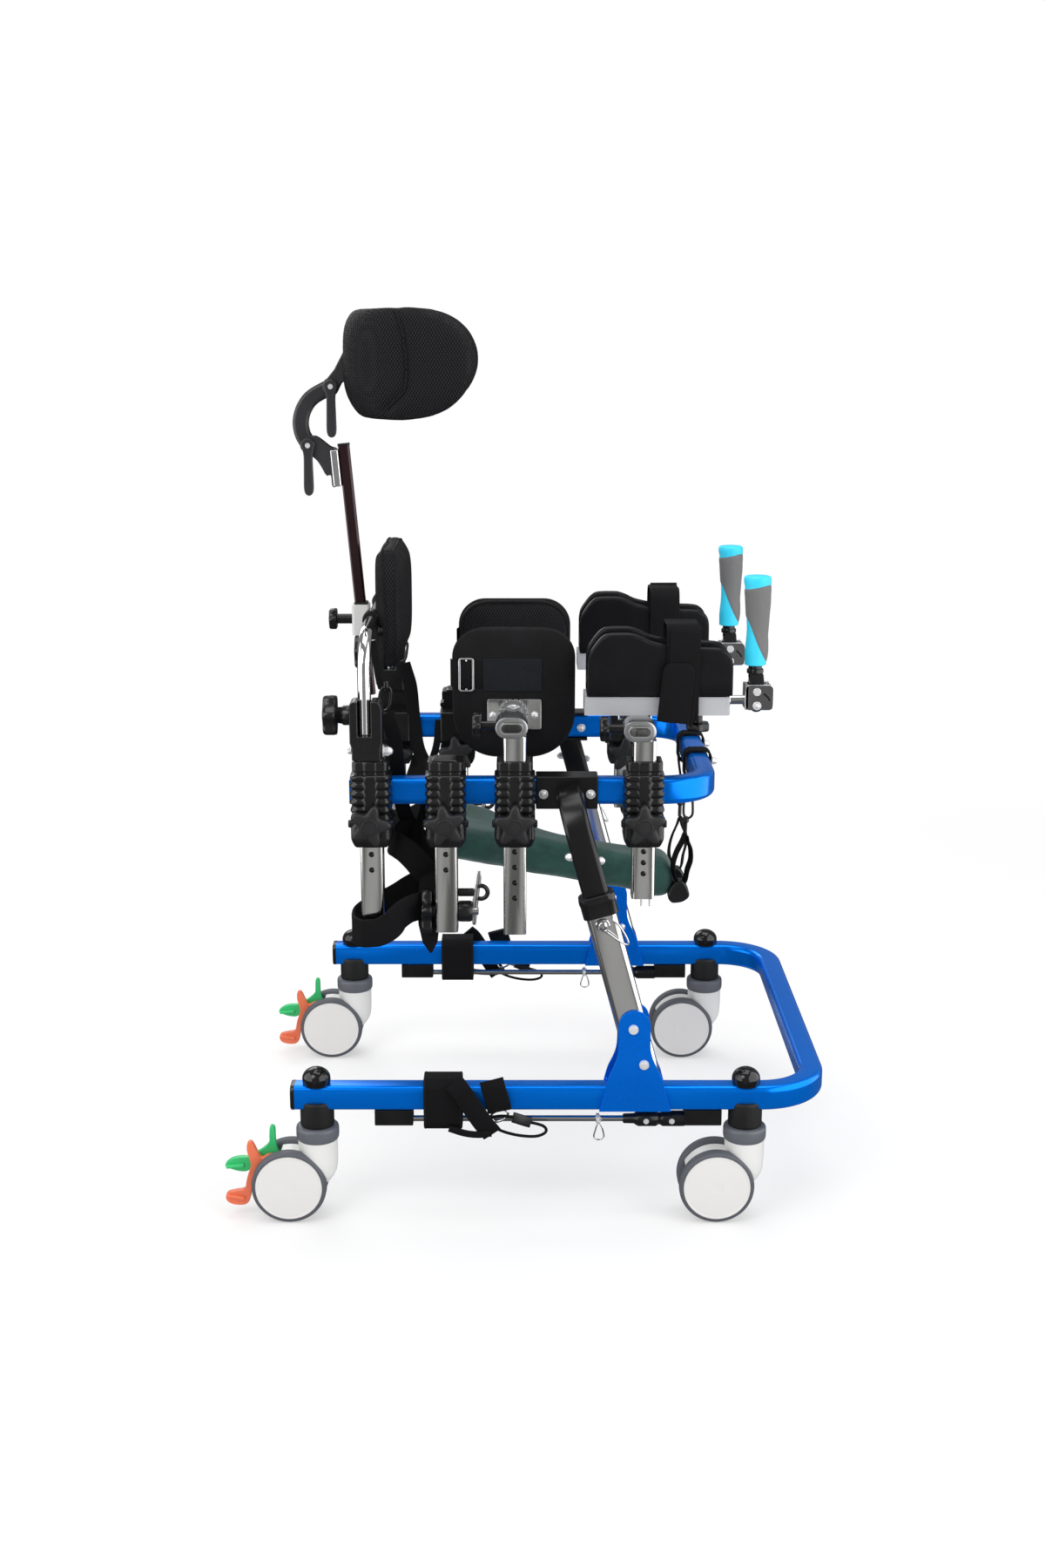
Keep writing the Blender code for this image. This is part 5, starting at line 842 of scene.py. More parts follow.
@dataclass
class Assembly:
    """A sub-assembly, whose pieces ride on one body unless another is named."""

    body: str

    @property
    def tag(self) -> str:
        """Ending that its pieces' names share, or nothing."""
        return ""

    def full(self, name: str) -> str:
        """Name with the tag behind it."""
        return f"{name}_{self.tag}" if self.tag else name

    def add(self, name: str, shell: Shell, finish: Finish, body: str | tuple | None = None,
            bevel: float = 0.0, replaces: tuple[str, ...] = (), segments: int = 2) -> bpy.types.Object:
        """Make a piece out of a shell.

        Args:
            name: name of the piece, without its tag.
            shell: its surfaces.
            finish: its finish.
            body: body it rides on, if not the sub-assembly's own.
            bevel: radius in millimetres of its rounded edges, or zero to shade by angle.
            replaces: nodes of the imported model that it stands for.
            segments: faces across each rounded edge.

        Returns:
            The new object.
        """
        piece = placed(shell.mesh(self.full(name)), finish)
        if bevel > 0.0:
            edge = piece.modifiers.new("edge", "BEVEL")
            edge.width = bevel * MM
            edge.segments = segments
            edge.limit_method = "ANGLE"
            edge.angle_limit = BEVELLED
            piece.modifiers.new("shade", "WEIGHTED_NORMAL")
        else:
            piece.data.set_sharp_from_angle(angle=SHARP)
        return self.settle(piece, finish, body, replaces)

    def ribbon(self, name: str, points: list[tuple], width: float, thick: float = 2.6,
               across: np.ndarray | tuple = (0.0, 1.0, 0.0), count: int = 40, closed: bool = False,
               **options) -> bpy.types.Object:
        """Make a flat strap along the smooth line through some points.

        Args:
            name: name of the piece.
            points: places that the strap passes through.
            width: its width, which lies along across.
            thick: its thickness.
            across: direction that its width keeps closest to.
            count: stations along it.
            closed: whether it joins its own start.
            options: body, replaces and scale, as add and sweep take them.

        Returns:
            The strap.
        """
        scale = options.pop("scale", None)
        shell = Shell().sweep(
            rounded_rect(width, thick, thick * 0.42, 3), spline(points, count, closed=closed),
            across=unit(np.asarray(across, float)), loop=closed, scale=scale)
        return self.add(name, shell, STRAP, **options)

    def settle(self, piece: bpy.types.Object, finish: Finish, body: str | tuple | None = None,
               replaces: tuple[str, ...] = ()) -> bpy.types.Object:
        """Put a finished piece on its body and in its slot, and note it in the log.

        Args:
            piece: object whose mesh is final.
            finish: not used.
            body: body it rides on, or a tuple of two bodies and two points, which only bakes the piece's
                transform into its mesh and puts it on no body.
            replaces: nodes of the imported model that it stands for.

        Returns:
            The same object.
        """
        if isinstance(body, tuple):
            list(body)
            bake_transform(piece)
        else:
            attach(piece, body or self.body)
        if replaces:
            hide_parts(*replaces)
        LOG.info("%s rides on %s", piece.name, body or self.body)
        return piece


@dataclass
class Sided(Assembly):
    """A sub-assembly on one side of the walker, whose name ends its pieces' names."""

    name: str = "right"

    @property
    def side(self) -> float:
        """Sign of Y on this side."""
        return SIDES[self.name]

    @property
    def outward(self) -> np.ndarray:
        """Direction away from the walker's middle plane."""
        return Y_AXIS * self.side

    @property
    def tag(self) -> str:
        """Name of the side."""
        return self.name


@dataclass
class RailPart(Sided):
    """A sub-assembly at one of the four clamps along the upper rail."""

    label: str = "back"

    @property
    def x(self) -> float:
        """Middle of its clamp along the rail."""
        return CLAMP_X[self.label]

    @property
    def tag(self) -> str:
        """Name of the clamp with its side."""
        return f"{self.label}_{self.name}"


@dataclass
class BaseFrame(Assembly):
    """Lower U-shaped rail with its end caps, caster bushings, dome caps and mast brackets."""

    nose: float = 665.0
    bend: float = 75.0
    tail: float = -30.0
    width: float = 32.0
    height: float = 34.0
    plate: float = 3.5

    def build(self) -> None:
        """Make every piece of the base frame."""
        path = u_path(self.tail, self.nose, HALF_TRACK, self.bend, RAIL_Z)
        tube = Shell().sweep(rounded_rect(self.width, self.height, 8, 8), path)
        self.add("base_rail", tube, BLUE, replaces=("base_frame",))
        for name, side in SIDES.items():
            self.add(f"rail_end_cap_{name}", self.end_cap(side), NYLON)
            for end, x in (("rear", 0), ("front", WHEELBASE)):
                self.add(f"bushing_{end}_{name}", self.bushing(x, side * HALF_TRACK), RUBBER)
                self.add(f"dome_cap_{end}_{name}", self.dome(x, side * HALF_TRACK), GLOSS)
            for face, word in ((1, "outer"), (-1, "inner")):
                self.add(f"mast_bracket_{word}_{name}", self.bracket(side, face), BLUE_PLATE, bevel=0.9)
            self.add(f"bracket_bolts_{name}", self.bolts(side), ZINC)
            self.add(f"bracket_welds_{name}", self.welds(side), BLUE_PLATE)

    def end_cap(self, side: float) -> Shell:
        """Cap over the rear end of a rail, with a rounded face."""
        shell = Shell()
        rows = [(-28.5, 1), (-31.5, 1), (-32.8, 0.985), (-33.6, 0.95), (-34, 0.88)]
        outline = rounded_rect(self.width + 0.5, self.height + 0.5, 8, 8)
        grid = [
            np.column_stack(
                [
                    np.full(len(outline), x), side * HALF_TRACK + outline[:, 0] * size,
                    RAIL_Z + outline[:, 1] * size]) for x,
            size in rows]
        return shell.grid(np.stack(grid))

    def bushing(self, x: float, y: float) -> Shell:
        """Round bushing under the rail, whose ears stand up both sides of it."""
        profile = [
            (0, 130.3), (21.6, 130.3), (22.3, 131.2), (22.5, 133), (22.5, 161), (22, 163.6), (20.6, 165),
            (0, 165)]
        return Shell().revolve(profile, (x, y, 0), Z_AXIS, 48)

    def dome(self, x: float, y: float) -> Shell:
        """Glossy dome: a short skirt under an ellipse."""
        turn = np.linspace(0, math.pi / 2, 14)
        crown = np.column_stack([18.7 * np.cos(turn), 195 + 15.2 * np.sin(turn)])
        skirt = np.array([(0, 187), (17.6, 187), (18.3, 188.4), (18.7, 191)])
        return Shell().revolve(np.concatenate([skirt, crown]), (x, y, 0), Z_AXIS, 48)

    def bracket(self, side: float, face: float) -> Shell:
        """Folded plate beside a mast: a foot on the rail, a waist that closes in, and a round head."""
        z = np.array([155, 188, 200, 206, 212, 218, 224, 230, 237, 246, 274])
        rear = np.array([374, 382, 385, 387, 389.8, 392.6, 395, 396.8, 398, 398.5, 398.5])
        front = np.array([469, 460, 457, 454.5, 451.5, 448.6, 445.8, 443.4, 441.6, 440.6, 440.5])
        near = np.interp(z, [200, 206, 236, 250], [16.1, 16, 14.4, 14.3])
        turn = np.radians(np.linspace(6, 84, 12))
        middle, half = 419.5, 21
        z = np.concatenate([z, 274 + half * np.sin(turn)])
        rear = np.concatenate([rear, middle - half * np.cos(turn)])
        front = np.concatenate([front, middle + half * np.cos(turn)])
        near = np.concatenate([near, np.full(len(turn), 14.3)])
        y0 = side * HALF_TRACK + face * near
        y1 = y0 + face * self.plate
        ring = np.stack(
            [
                np.stack([rear, y0, z], -1), np.stack([front, y0, z], -1), np.stack([front, y1, z], -1),
                np.stack([rear, y1, z], -1)],
            1)
        return Shell().grid(ring)

    def bolts(self, side: float) -> Shell:
        """Two bolts through the mast bracket, with nuts inside."""
        shell = Shell()
        for x, z, reach in ((418, 270, 17.8), (432.5, 221, 18.3)):
            outward = Y_AXIS * side
            shell.washer((x, side * (HALF_TRACK + reach), z), outward, 6.6, 3)
            shell.washer((x, side * (HALF_TRACK + reach + 2.4), z), outward, 4.2, 1.6)
            shell.nut((x, side * (HALF_TRACK - reach), z), -outward, 6, 6)
        return shell

    def welds(self, side: float) -> Shell:
        """Rippled beads where the bracket foot meets the rail's top edges."""
        shell = Shell()
        for face in (-1, 1):
            for start, end in ((383.5, 400), (443, 459)):
                x = np.linspace(start, end, 34)
                size = 1 + 0.16 * np.sin(x * 2 * math.pi / 2.6)
                size[[0, -1]] = 0.3
                y = side * HALF_TRACK + face * 14.5
                path = np.stack([x, np.full(34, y), np.full(34, 187.6)], -1)
                shell.sweep(disc(2.6, 12), path, scale=size)
        return shell


@dataclass
class Caster(Sided):
    """One twin-wheel caster: collar, white column and hood, two wheels, and pedals on the rear pair."""

    end: str = "rear"
    trail: float = 37.6
    radius: float = 50.0

    @property
    def x(self) -> float:
        """Swivel axis, forward of the rear one."""
        return 0 if self.end == "rear" else WHEELBASE

    @property
    def tag(self) -> str:
        """Name of the caster's end and side."""
        return f"{self.end}_{self.name}"

    @property
    def braked(self) -> bool:
        """Whether the caster carries pedals."""
        return self.end == "rear"

    def build(self) -> None:
        """Make the housing, the wheels and the pedals."""
        y, wheels = self.side * HALF_TRACK, f"wheels_{self.tag}"
        self.add("caster_collar", self.collar(y), RING)
        self.add("caster_column", self.column(y), SHELL, replaces=(f"caster_housing_{self.tag}",))
        self.add("caster_hood", self.hood(y), SHELL, bevel=1.4, segments=3)
        self.add("tyres", self.tyres(y), TYRE, wheels, replaces=(f"caster_wheels_{self.tag}",))
        self.add("wheel_discs", self.discs(y), DISC, wheels)
        if self.braked:
            self.pedals(y)

    def collar(self, y: float) -> Shell:
        """Grey swivel collar with a groove round its foot."""
        profile = [
            (0, 110.5), (26.8, 110.5), (27.6, 111.5), (28.2, 113), (28.5, 116), (28.5, 125), (27.9, 127.6),
            (26.2, 129.2), (24, 129.7), (0, 129.7)]
        return Shell().revolve(profile, (self.x, y, 0), Z_AXIS, 56)

    def column(self, y: float) -> Shell:
        """White column under the collar, rounded at its foot."""
        profile = [
            (0, 47), (11, 47), (15, 49.5), (20.5, 57), (24, 64), (25.6, 72), (26.2, 84), (26.4, 110.8),
            (0, 110.8)]
        return Shell().revolve(profile, (self.x, y, 0), Z_AXIS, 56)

    def hood(self, y: float) -> Shell:
        """White arch between and over the wheels, an arc around the axle that runs into the column."""
        axle = (self.x - self.trail, self.radius)
        rear = 104 if self.braked else 152
        outer = arc(axle, 46.5, -38, rear, 40)
        inner = arc(axle, 15, max(rear, 170), 282, 12)
        outline = np.concatenate([outer, inner])
        return Shell().plate(outline, y - 10.6, y + 10.6)

    def tyres(self, y: float) -> Shell:
        """Two tyres with rounded shoulders and a shallow tread groove."""
        shell = Shell()
        for face in (-1, 1):
            profile = [
                (44.2, 26), (44.5, 28.8), (45.3, 29.6), (46.6, 29.6), (48.3, 28.8), (49.5, 27), (50, 24.6),
                (50, 17.4), (49.3, 14.6), (47.4, 12.8), (44, 12), (36, 12), (36, 26)]
            rows = [lift(disc(r, 72, (self.x - self.trail, self.radius)), y + face * d) for r, d in profile]
            shell.grid(np.stack(rows), loop=True)
        shell.rod((self.x - self.trail, y - 13, self.radius), (self.x - self.trail, y + 13, self.radius), 5)
        return shell

    def discs(self, y: float) -> Shell:
        """Slightly dished white wheel discs with a stepped rim, a small hub mark and a hidden inner side."""
        shell = Shell()
        for face in (-1, 1):
            profile = [
                (0, 12.6), (43.8, 12.6), (44.4, 26), (44.4, 29.2), (43.8, 30), (42.2, 30), (41.6, 29.5),
                (20, 29.9), (8.2, 29.9), (7.8, 29.5), (4, 29.5), (0, 29.6)]
            shell.revolve(profile, (self.x - self.trail, y, self.radius), Y_AXIS * face, 72)
        return shell

    def pedals(self, y: float) -> None:
        """Green release pedal and orange brake pedal on one pin, each a rounded plate with a tread."""
        green = [
            (-126, 68), (-119, 64), (-108, 60.5), (-98, 60), (-91, 63.4), (-84, 66), (-70, 65.4),
            (-60, 67.5), (-53, 74), (-52.4, 84), (-55.6, 93), (-57.2, 104), (-57.7, 121), (-60, 124.5),
            (-64, 124), (-65.2, 112), (-66, 101), (-73, 93), (-83, 86.5), (-94, 80.6), (-106, 80),
            (-116, 77.5), (-122.5, 73)]
        orange = [
            (-99, 39.4), (-110, 37), (-121, 34), (-124.5, 29), (-122.6, 22), (-115, 17.8), (-104, 16.6),
            (-96.5, 18.5), (-92, 25), (-89.5, 40), (-85, 55), (-76, 64), (-64, 66.5), (-54.5, 70.5),
            (-52, 79), (-57, 87.5), (-67, 88), (-75.5, 84), (-81, 94), (-85.5, 104), (-89.5, 108),
            (-93.6, 104.5), (-93.8, 93), (-90.2, 80), (-89.8, 72), (-94, 60), (-96.4, 50)]
        for label, outline, near, far, finish in (("lock", green, 1.3, 10.3, GREEN_PEDAL),
                                                  ("brake", orange, -10.3, -1.3, ORANGE_PEDAL)):
            pedal = Sided(f"{label}_pedal_{self.name}", self.name)
            shape = spline([(self.x + a, b) for a, b in outline], 90, closed=True)
            shell = Shell().plate(shape, y + near, y + far)
            shell.rod((self.x - 62, y + near + 0.4, 78), (self.x - 62, y + far - 0.4, 78), 7.4, 1)
            pedal.add(
                f"{label}_pedal_plate", shell, finish, bevel=1.5, segments=3,
                replaces=(f"{label}_pedal_rear_{self.name}",))
            tip = [(-124, 67.5), (-112, 68.5), (-100, 69.5)] if label == "lock" else [
                (-122, 31), (-110, 29), (-99, 27)]
            wide = 5 if label == "lock" else 4.6
            tread = spline([(self.x + a, b) for a, b in tip], 12)
            pad = Shell().sweep(
                rounded_rect(17, wide, 2, 4), lift(tread, y + (near + far) / 2), across=Y_AXIS)
            pedal.add(f"{label}_pedal_tread", pad, finish, bevel=0.8)


LEAN = math.radians(15.2)


@dataclass
class Mast(Sided):
    """One leaning telescopic mast: lower tube, collar, inner tube with its elbow, and its rail plate."""

    foot_x: float = 438.4
    outer_length: float = 262.0
    collar_foot: float = 243.0
    collar_top: float = 271.4
    inner_foot: float = 86.0
    inner_end_y: float = 222.5
    elbow_start: float = 348.0
    elbow_radius: float = 45.0

    def point(self, s: np.ndarray, u: np.ndarray, v: np.ndarray) -> np.ndarray:
        """Place s up the lean, u forward, v outward: x = foot - s sin + u cos, z = top + s cos + u sin."""
        x = self.foot_x - s * math.sin(LEAN) + u * math.cos(LEAN)
        z = RAIL_TOP + s * math.cos(LEAN) + u * math.sin(LEAN)
        return np.stack([x, self.side * (HALF_TRACK + v), z], -1)

    def level(self, outline: np.ndarray, s: float) -> np.ndarray:
        """Outline (u, v) across the mast at one height."""
        return self.point(np.full(len(outline), s), outline[:, 0], outline[:, 1])

    def build(self) -> None:
        """Make the lower tube with its collar and lever, then the inner mast with its plate."""
        outline = rounded_rect(40, 28, 7, 7)
        foot = self.point(
            (0.4 - outline[:, 0] * math.sin(LEAN)) / math.cos(LEAN), outline[:, 0], outline[:, 1])
        bore = rounded_rect(35.6, 23.6, 5.4, 7)
        base = self.point((0.4 - bore[:, 0] * math.sin(LEAN)) / math.cos(LEAN), bore[:, 0], bore[:, 1])
        tube = Shell().grid(
            np.stack(
                [foot, self.level(outline, self.outer_length), self.level(bore, self.outer_length), base]),
            loop=True)
        self.add("mast_lower_tube", tube, ALUMINIUM, replaces=(f"mast_tube_{self.name}",))
        collar = Shell()
        rows = [
            (self.collar_foot, 3.1), (243.6, 3.3), (261, 3.3), (262.4, 4), (267, 4), (270.2, 3.4),
            (self.collar_top, 2)]
        rings = [self.level(rounded_rect(40 + 2 * w, 28 + 2 * w, 7 + w, 7), s) for s, w in rows]
        throat = rounded_rect(34.8, 23.2, 6.2, 7)
        rings += [
            self.level(throat, self.collar_top), self.level(throat, self.outer_length + 0.2),
            self.level(outline * 1.004, self.outer_length), self.level(outline * 1.004, self.collar_foot)]
        collar.grid(np.stack(rings), loop=True)
        self.add("mast_collar", collar, NYLON)
        self.add("mast_catch", self.catch(), CHROME)
        self.add("mast_inner_tube", self.inner(), POWDER, "upper", replaces=(f"mast_arm_{self.name}",))
        self.add("rail_plate", self.plate(), POWDER, "upper", 1.6, segments=3)
        self.add("rail_plate_bolts", self.bolts(), ZINC, "upper")
        self.add("mast_cross_bolt", self.cross_bolt(), ZINC, "upper")

    def inner(self) -> Shell:
        """Inner tube: straight up the lean, then a quarter bend inward to the plate."""
        outline = rounded_rect(34, 22.5, 6, 7)
        u, v = outline[:, 0], outline[:, 1]
        rows = [self.level(outline, self.inner_foot)]
        for turn in np.linspace(0, math.pi / 2, 14):
            reach = self.elbow_radius + v
            rows.append(
                self.point(
                    self.elbow_start + reach * math.sin(turn), u,
                    reach * math.cos(turn) - self.elbow_radius))
        last = self.elbow_start + self.elbow_radius + v
        rows.append(self.point(last, u, np.full(len(u), self.inner_end_y - HALF_TRACK)))
        return Shell().grid(np.stack(rows))

    def plate(self) -> Shell:
        """Channel plate around the upper rail, open inward."""
        inside, face, wall = 190, 224.3, 4
        top, bottom = 584.8, 549.2
        channel = [
            (inside, top), (face - wall, top), (face - wall, bottom), (inside, bottom),
            (inside, bottom - wall), (face, bottom - wall), (face, top + wall), (inside, top + wall)]
        rows = [np.array([(x, self.side * y, z) for y, z in channel]) for x in (290.5, 372)]
        return Shell().grid(np.stack(rows))

    def cross_bolt(self) -> Shell:
        """Level bolt through the inner tube, with a domed nut on each edge."""
        y, z = self.side * HALF_TRACK, 497
        shell = Shell()
        shell.nut((337.5, y, z + 2), -X_AXIS, 5.4, 10)
        return shell.nut((370.5, y, z - 3), X_AXIS, 5.4, 9)

    def bolts(self) -> Shell:
        """Bolts through the plate: hex heads outside, cap nuts on the inner face of the rail."""
        shell = Shell()
        for x in (300.5, 362.5):
            bolted(shell, [(x, self.side * 224.3, 565.5)], self.outward, 4.8, 4.6)
            bolted(shell, [(x, self.side * 190, 565.5)], -self.outward, 4.8, 6)
        return shell

    def catch(self) -> Shell:
        """Spring catch on the lower tube: a round boss with a pin, and a bent wire lever."""
        shell = Shell()
        y = self.side * (HALF_TRACK + 14)
        centre = self.point(np.array(232), np.array(-1), np.array(14))
        shell.revolve(
            [(0, -0.5), (9.2, -0.5), (9.2, 1.8), (8.4, 2.8), (5.6, 3), (5.4, 6.4), (4.6, 7), (0, 7)],
            tuple(centre), self.outward, 32)
        bends = [
            (-6, 3.5, -3), (8, 6, -10), (22, 6, -20), (33, 5, -25), (30, 5, -14), (20, 5, 2), (12, 4, 8)]
        wire = spline([(centre[0] + a, y + self.side * b, centre[2] + c) for a, b, c in bends], 40)
        return shell.tube(wire, 1.3, 10)


@dataclass
class UpperFrame(Assembly):
    """Blue upper rail, open to the rear."""

    def build(self) -> None:
        """Make the rail and its end plugs."""
        path = u_path(47, 517, UPPER_HALF_TRACK, 58, UPPER_Z)
        self.add(
            "upper_rail", Shell().sweep(rounded_rect(30, 35, 8, 8), path), BLUE, replaces=("upper_frame",))
        for name, side in SIDES.items():
            plug = Shell().block(
                (45.2, side * UPPER_HALF_TRACK - 14, 551), (48, side * UPPER_HALF_TRACK + 14, 583))
            self.add(f"upper_end_plug_{name}", plug, NYLON, bevel=0.8)


@dataclass
class PostClamp(RailPart):
    """Ribbed clamp that holds a post to the upper rail, with a jaw and a star knob outside and inside."""

    turn: float = 0.0
    half_width: float = 26.5
    below: float = 65.0
    above: float = 49.0
    ribs: int = 6
    rib_pitch: float = 10.9
    rib_start: float = -37.4
    rib_depth: float = 2.7
    band: float = 7.8
    near: float = 15.3
    far: float = 54.9
    knob_z: float = 535.0
    inner_knob_z: float = 527.0
    half_jaw: float = 25.0
    bolt_z: float = 533.0
    bolt_reach: tuple[float, float] = (17.5, 29.6)

    def build(self) -> None:
        """Make the ribbed body, the jaw round the rail, the knobs and the cross bolts."""
        self.add("clamp_body", self.ribbed_body(), NYLON, replaces=(f"clamp_{self.tag}",))
        self.add("clamp_jaw", self.jaw(), NYLON, bevel=2.2, segments=3)
        phase = math.radians(self.turn if self.side < 0 else 180 - self.turn)
        face = (self.x, self.side * (UPPER_HALF_TRACK + self.far), self.knob_z)
        back = (self.x, self.side * (UPPER_HALF_TRACK - self.near), self.inner_knob_z)
        outer = Shell().knob(star(28, 16.8, 5, 120, phase), face, self.outward, 6, 12.2, 8.5)
        self.add("clamp_knob", outer, KNOB)
        hub = [(0, 17), (10.6, 17), (10.8, 19.6), (10.2, 20.4), (9, 20.5), (8.5, 19.5), (0, 19.7)]
        self.add("clamp_knob_cap", Shell().revolve(hub, face, self.outward, 40), KNOB)
        inner = Shell().knob(star(28, 16.8, 5, 120, math.pi - phase), back, -self.outward, 5.9, 12.2, 8.5)
        self.add("clamp_inner_knob", inner, KNOB)
        self.add("clamp_bolts", self.cross_bolts(), NYLON)

    def ribbed_body(self) -> Shell:
        """Half-round sleeve about the post: p(z, u) = outline(u) drawn in by inset(z) and by the groove.

        The groove is half a cosine per rib, weighted by the distance from the smooth middle band, so that the
        band keeps its full depth and the grooves run round both sides.
        """
        near, far, corner = self.near, self.far, 9.5
        half = self.half_width
        edge = arc((half - corner, far - corner), corner, 0, 90, 8)
        flat = np.array([(x, far) for x in np.linspace(half - corner - 0.6, self.band + 0.3, 5)])
        middle = np.array([(self.band - 0.6, far + 0.7), (self.band * 0.5, far + 0.9), (0, far + 0.9)])
        right = np.concatenate([[(half, near), (half, (near + far) / 2)], edge, flat, middle])
        outline = np.concatenate([right, right[:-1][::-1] * (-1, 1)])
        normal = unit(
            np.stack(
                [
                    np.clip(outline[:, 0] / half, -1, 1) ** 5,
                    np.clip((outline[:, 1] - far + corner) / corner, 0, 1)],
                -1))
        weight = np.clip((np.abs(outline[:, 0]) - self.band) / 1.6, 0, 1)
        z = np.unique(
            np.concatenate(
                [np.linspace(-self.below, self.above, 130), [self.above - 0.8, -self.below + 0.8]]))
        phase = (z - self.rib_start) / self.rib_pitch
        inside = (phase > 0) & (phase < self.ribs)
        groove = np.where(inside, self.rib_depth * (0.5 - 0.5 * np.cos(2 * math.pi * phase)) ** 1.4, 0)
        drop = self.above - z
        cap = np.interp(
            drop, [0, 0.5, 2, 11.5, 12.5, 13.2, 16.8, 17.5, 19, 20],
            [4.6, 3.6, 3, 3, 3.6, 5.5, 5.5, 4.2, 0.4, 0])
        chin = 5 * np.clip((-z - self.below + 12) / 12, 0, 1) ** 1.6
        rim = 1.2 * np.clip((-z - self.below + 1.2) / 1.2, 0, 1) ** 2
        inset = (cap + chin + rim)[:, None] + groove[:, None] * weight[None]
        x = self.x + outline[None, :, 0] - normal[None, :, 0] * inset
        face = self.side * (UPPER_HALF_TRACK + outline[None, :, 1] - normal[None, :, 1] * inset * 0.6)
        height = np.broadcast_to(UPPER_Z + z[:, None], x.shape)
        middle_y = POST_Y - UPPER_HALF_TRACK
        hole = np.clip(outline - (0, middle_y), -15.8, 15.8) + (0, middle_y)
        bore = np.column_stack(
            [
                self.x + hole[:, 0], self.side * (UPPER_HALF_TRACK + hole[:, 1]),
                np.full(len(hole), UPPER_Z + self.above)])
        rows = np.concatenate(
            [np.stack([x, face, height], -1), [bore, bore - Z_AXIS * (self.above + self.below)]])
        return Shell().grid(rows, loop=True)

    def jaw(self) -> Shell:
        """Block that closes round the rail behind the sleeve."""
        outline = rounded_rect(41, 45.6, 2.4, 4, (self.side * (UPPER_HALF_TRACK + 0.4), UPPER_Z))
        return Shell().grid(np.stack([upright(outline, self.x + end * self.half_jaw) for end in (-1, 1)]))

    def cross_bolts(self) -> Shell:
        """Bolt ends along the rail at knob height, one on each side of the sleeve."""
        shell = Shell()
        y = self.side * (UPPER_HALF_TRACK + 47)
        for end in (-1, 1):
            near, far = ((self.x + end * reach, y, self.bolt_z) for reach in self.bolt_reach)
            shell.rod(near, far, 5.2, 1.2)
        return shell


@dataclass
class Post(RailPart):
    """Square aluminium post with locking holes in its outer wall and a dark plug in its foot."""

    bottom: float = 405.0
    top: float = 614.0
    holes: tuple[float, ...] = (492.0, 470.9)

    @property
    def y(self) -> float:
        """Middle of the post across the walker."""
        return self.side * POST_Y

    def build(self) -> None:
        """Make the drilled tube, its foot plug and its fittings."""
        tube = self.add(
            "post_tube", self.square(self.bottom, self.top), ALUMINIUM,
            replaces=(f"{self.label}_post_{self.name}",))
        self.drill(tube)
        plungers = Shell()
        for z in self.holes:
            start = np.array([self.x - 0.8, self.side * (POST_Y + 6), z - 0.6])
            plungers.rod(start, start + 7.4 * self.outward, 2.7, 0.8, 20)
        self.add("post_plungers", plungers, RUBBER)
        plug = self.square(self.bottom, self.bottom + 4, 25)
        plug.points[-1][:, 2] -= 0.15
        self.add("post_foot_plug", plug, NYLON)
        self.fittings()

    def square(self, bottom: float, top: float, size: float = 30.0) -> Shell:
        """Rounded square column."""
        outline = rounded_rect(size, size, 4.5, 6, (self.x, self.y))
        return Shell().grid(np.stack([level(outline, bottom), level(outline, top)]))

    def drill(self, tube: bpy.types.Object) -> None:
        """Cut the locking holes, then keep the result as the post's mesh."""
        cutter = Shell()
        for z in self.holes:
            start, end = self.side * (POST_Y + 7), self.side * (POST_Y + 19)
            cutter.rod((self.x, start, z), (self.x, end, z), 3.7, 0.1, 28)
        tool = placed(cutter.mesh(f"drill_{self.tag}"), ALUMINIUM)
        cut = tube.modifiers.new("holes", "BOOLEAN")
        cut.solver = "EXACT"
        cut.object = tool
        drilled = bake(tube)
        drilled.shade_smooth()
        drilled.set_sharp_from_angle(angle=SHARP)
        bpy.data.meshes.remove(tool.data)

    def fittings(self) -> None:
        """Add what this kind of post carries."""

    def oval_socket(self, centre: tuple[float, float]) -> Shell:
        """Cast socket across the post: a flat-sided oval ring, whose hollow shows the bar inside."""
        start, end = POST_Y - 20, POST_Y + 20
        outer, inner = oval(42, 27.5), oval(31.6, 16.1)
        rows = [
            (outer * 0.99, start), (outer, start + 1.2), (outer, end - 1.2), (outer * 0.985, end - 0.3),
            (outer * 0.955, end), (inner, end), (inner, start)]
        return Shell().grid(np.stack([lift(o + centre, self.side * y) for o, y in rows]), loop=True)

    def neck(self, low: float, high: float, bottom: float, top: float) -> Shell:
        """Block under a socket, between two places along the walker and two heights."""
        return Shell().block((low, self.y - 14, bottom), (high, self.y + 14, top), 4)

    def side_knob(self, centre: tuple[float, float]) -> Shell:
        """Small lobed knob behind a socket."""
        x, z = centre
        return Shell().knob(star(17.2, 14.3, 6, 96), (x - 20, self.y, z), -X_AXIS, 19.5, 11.2, 5.6)


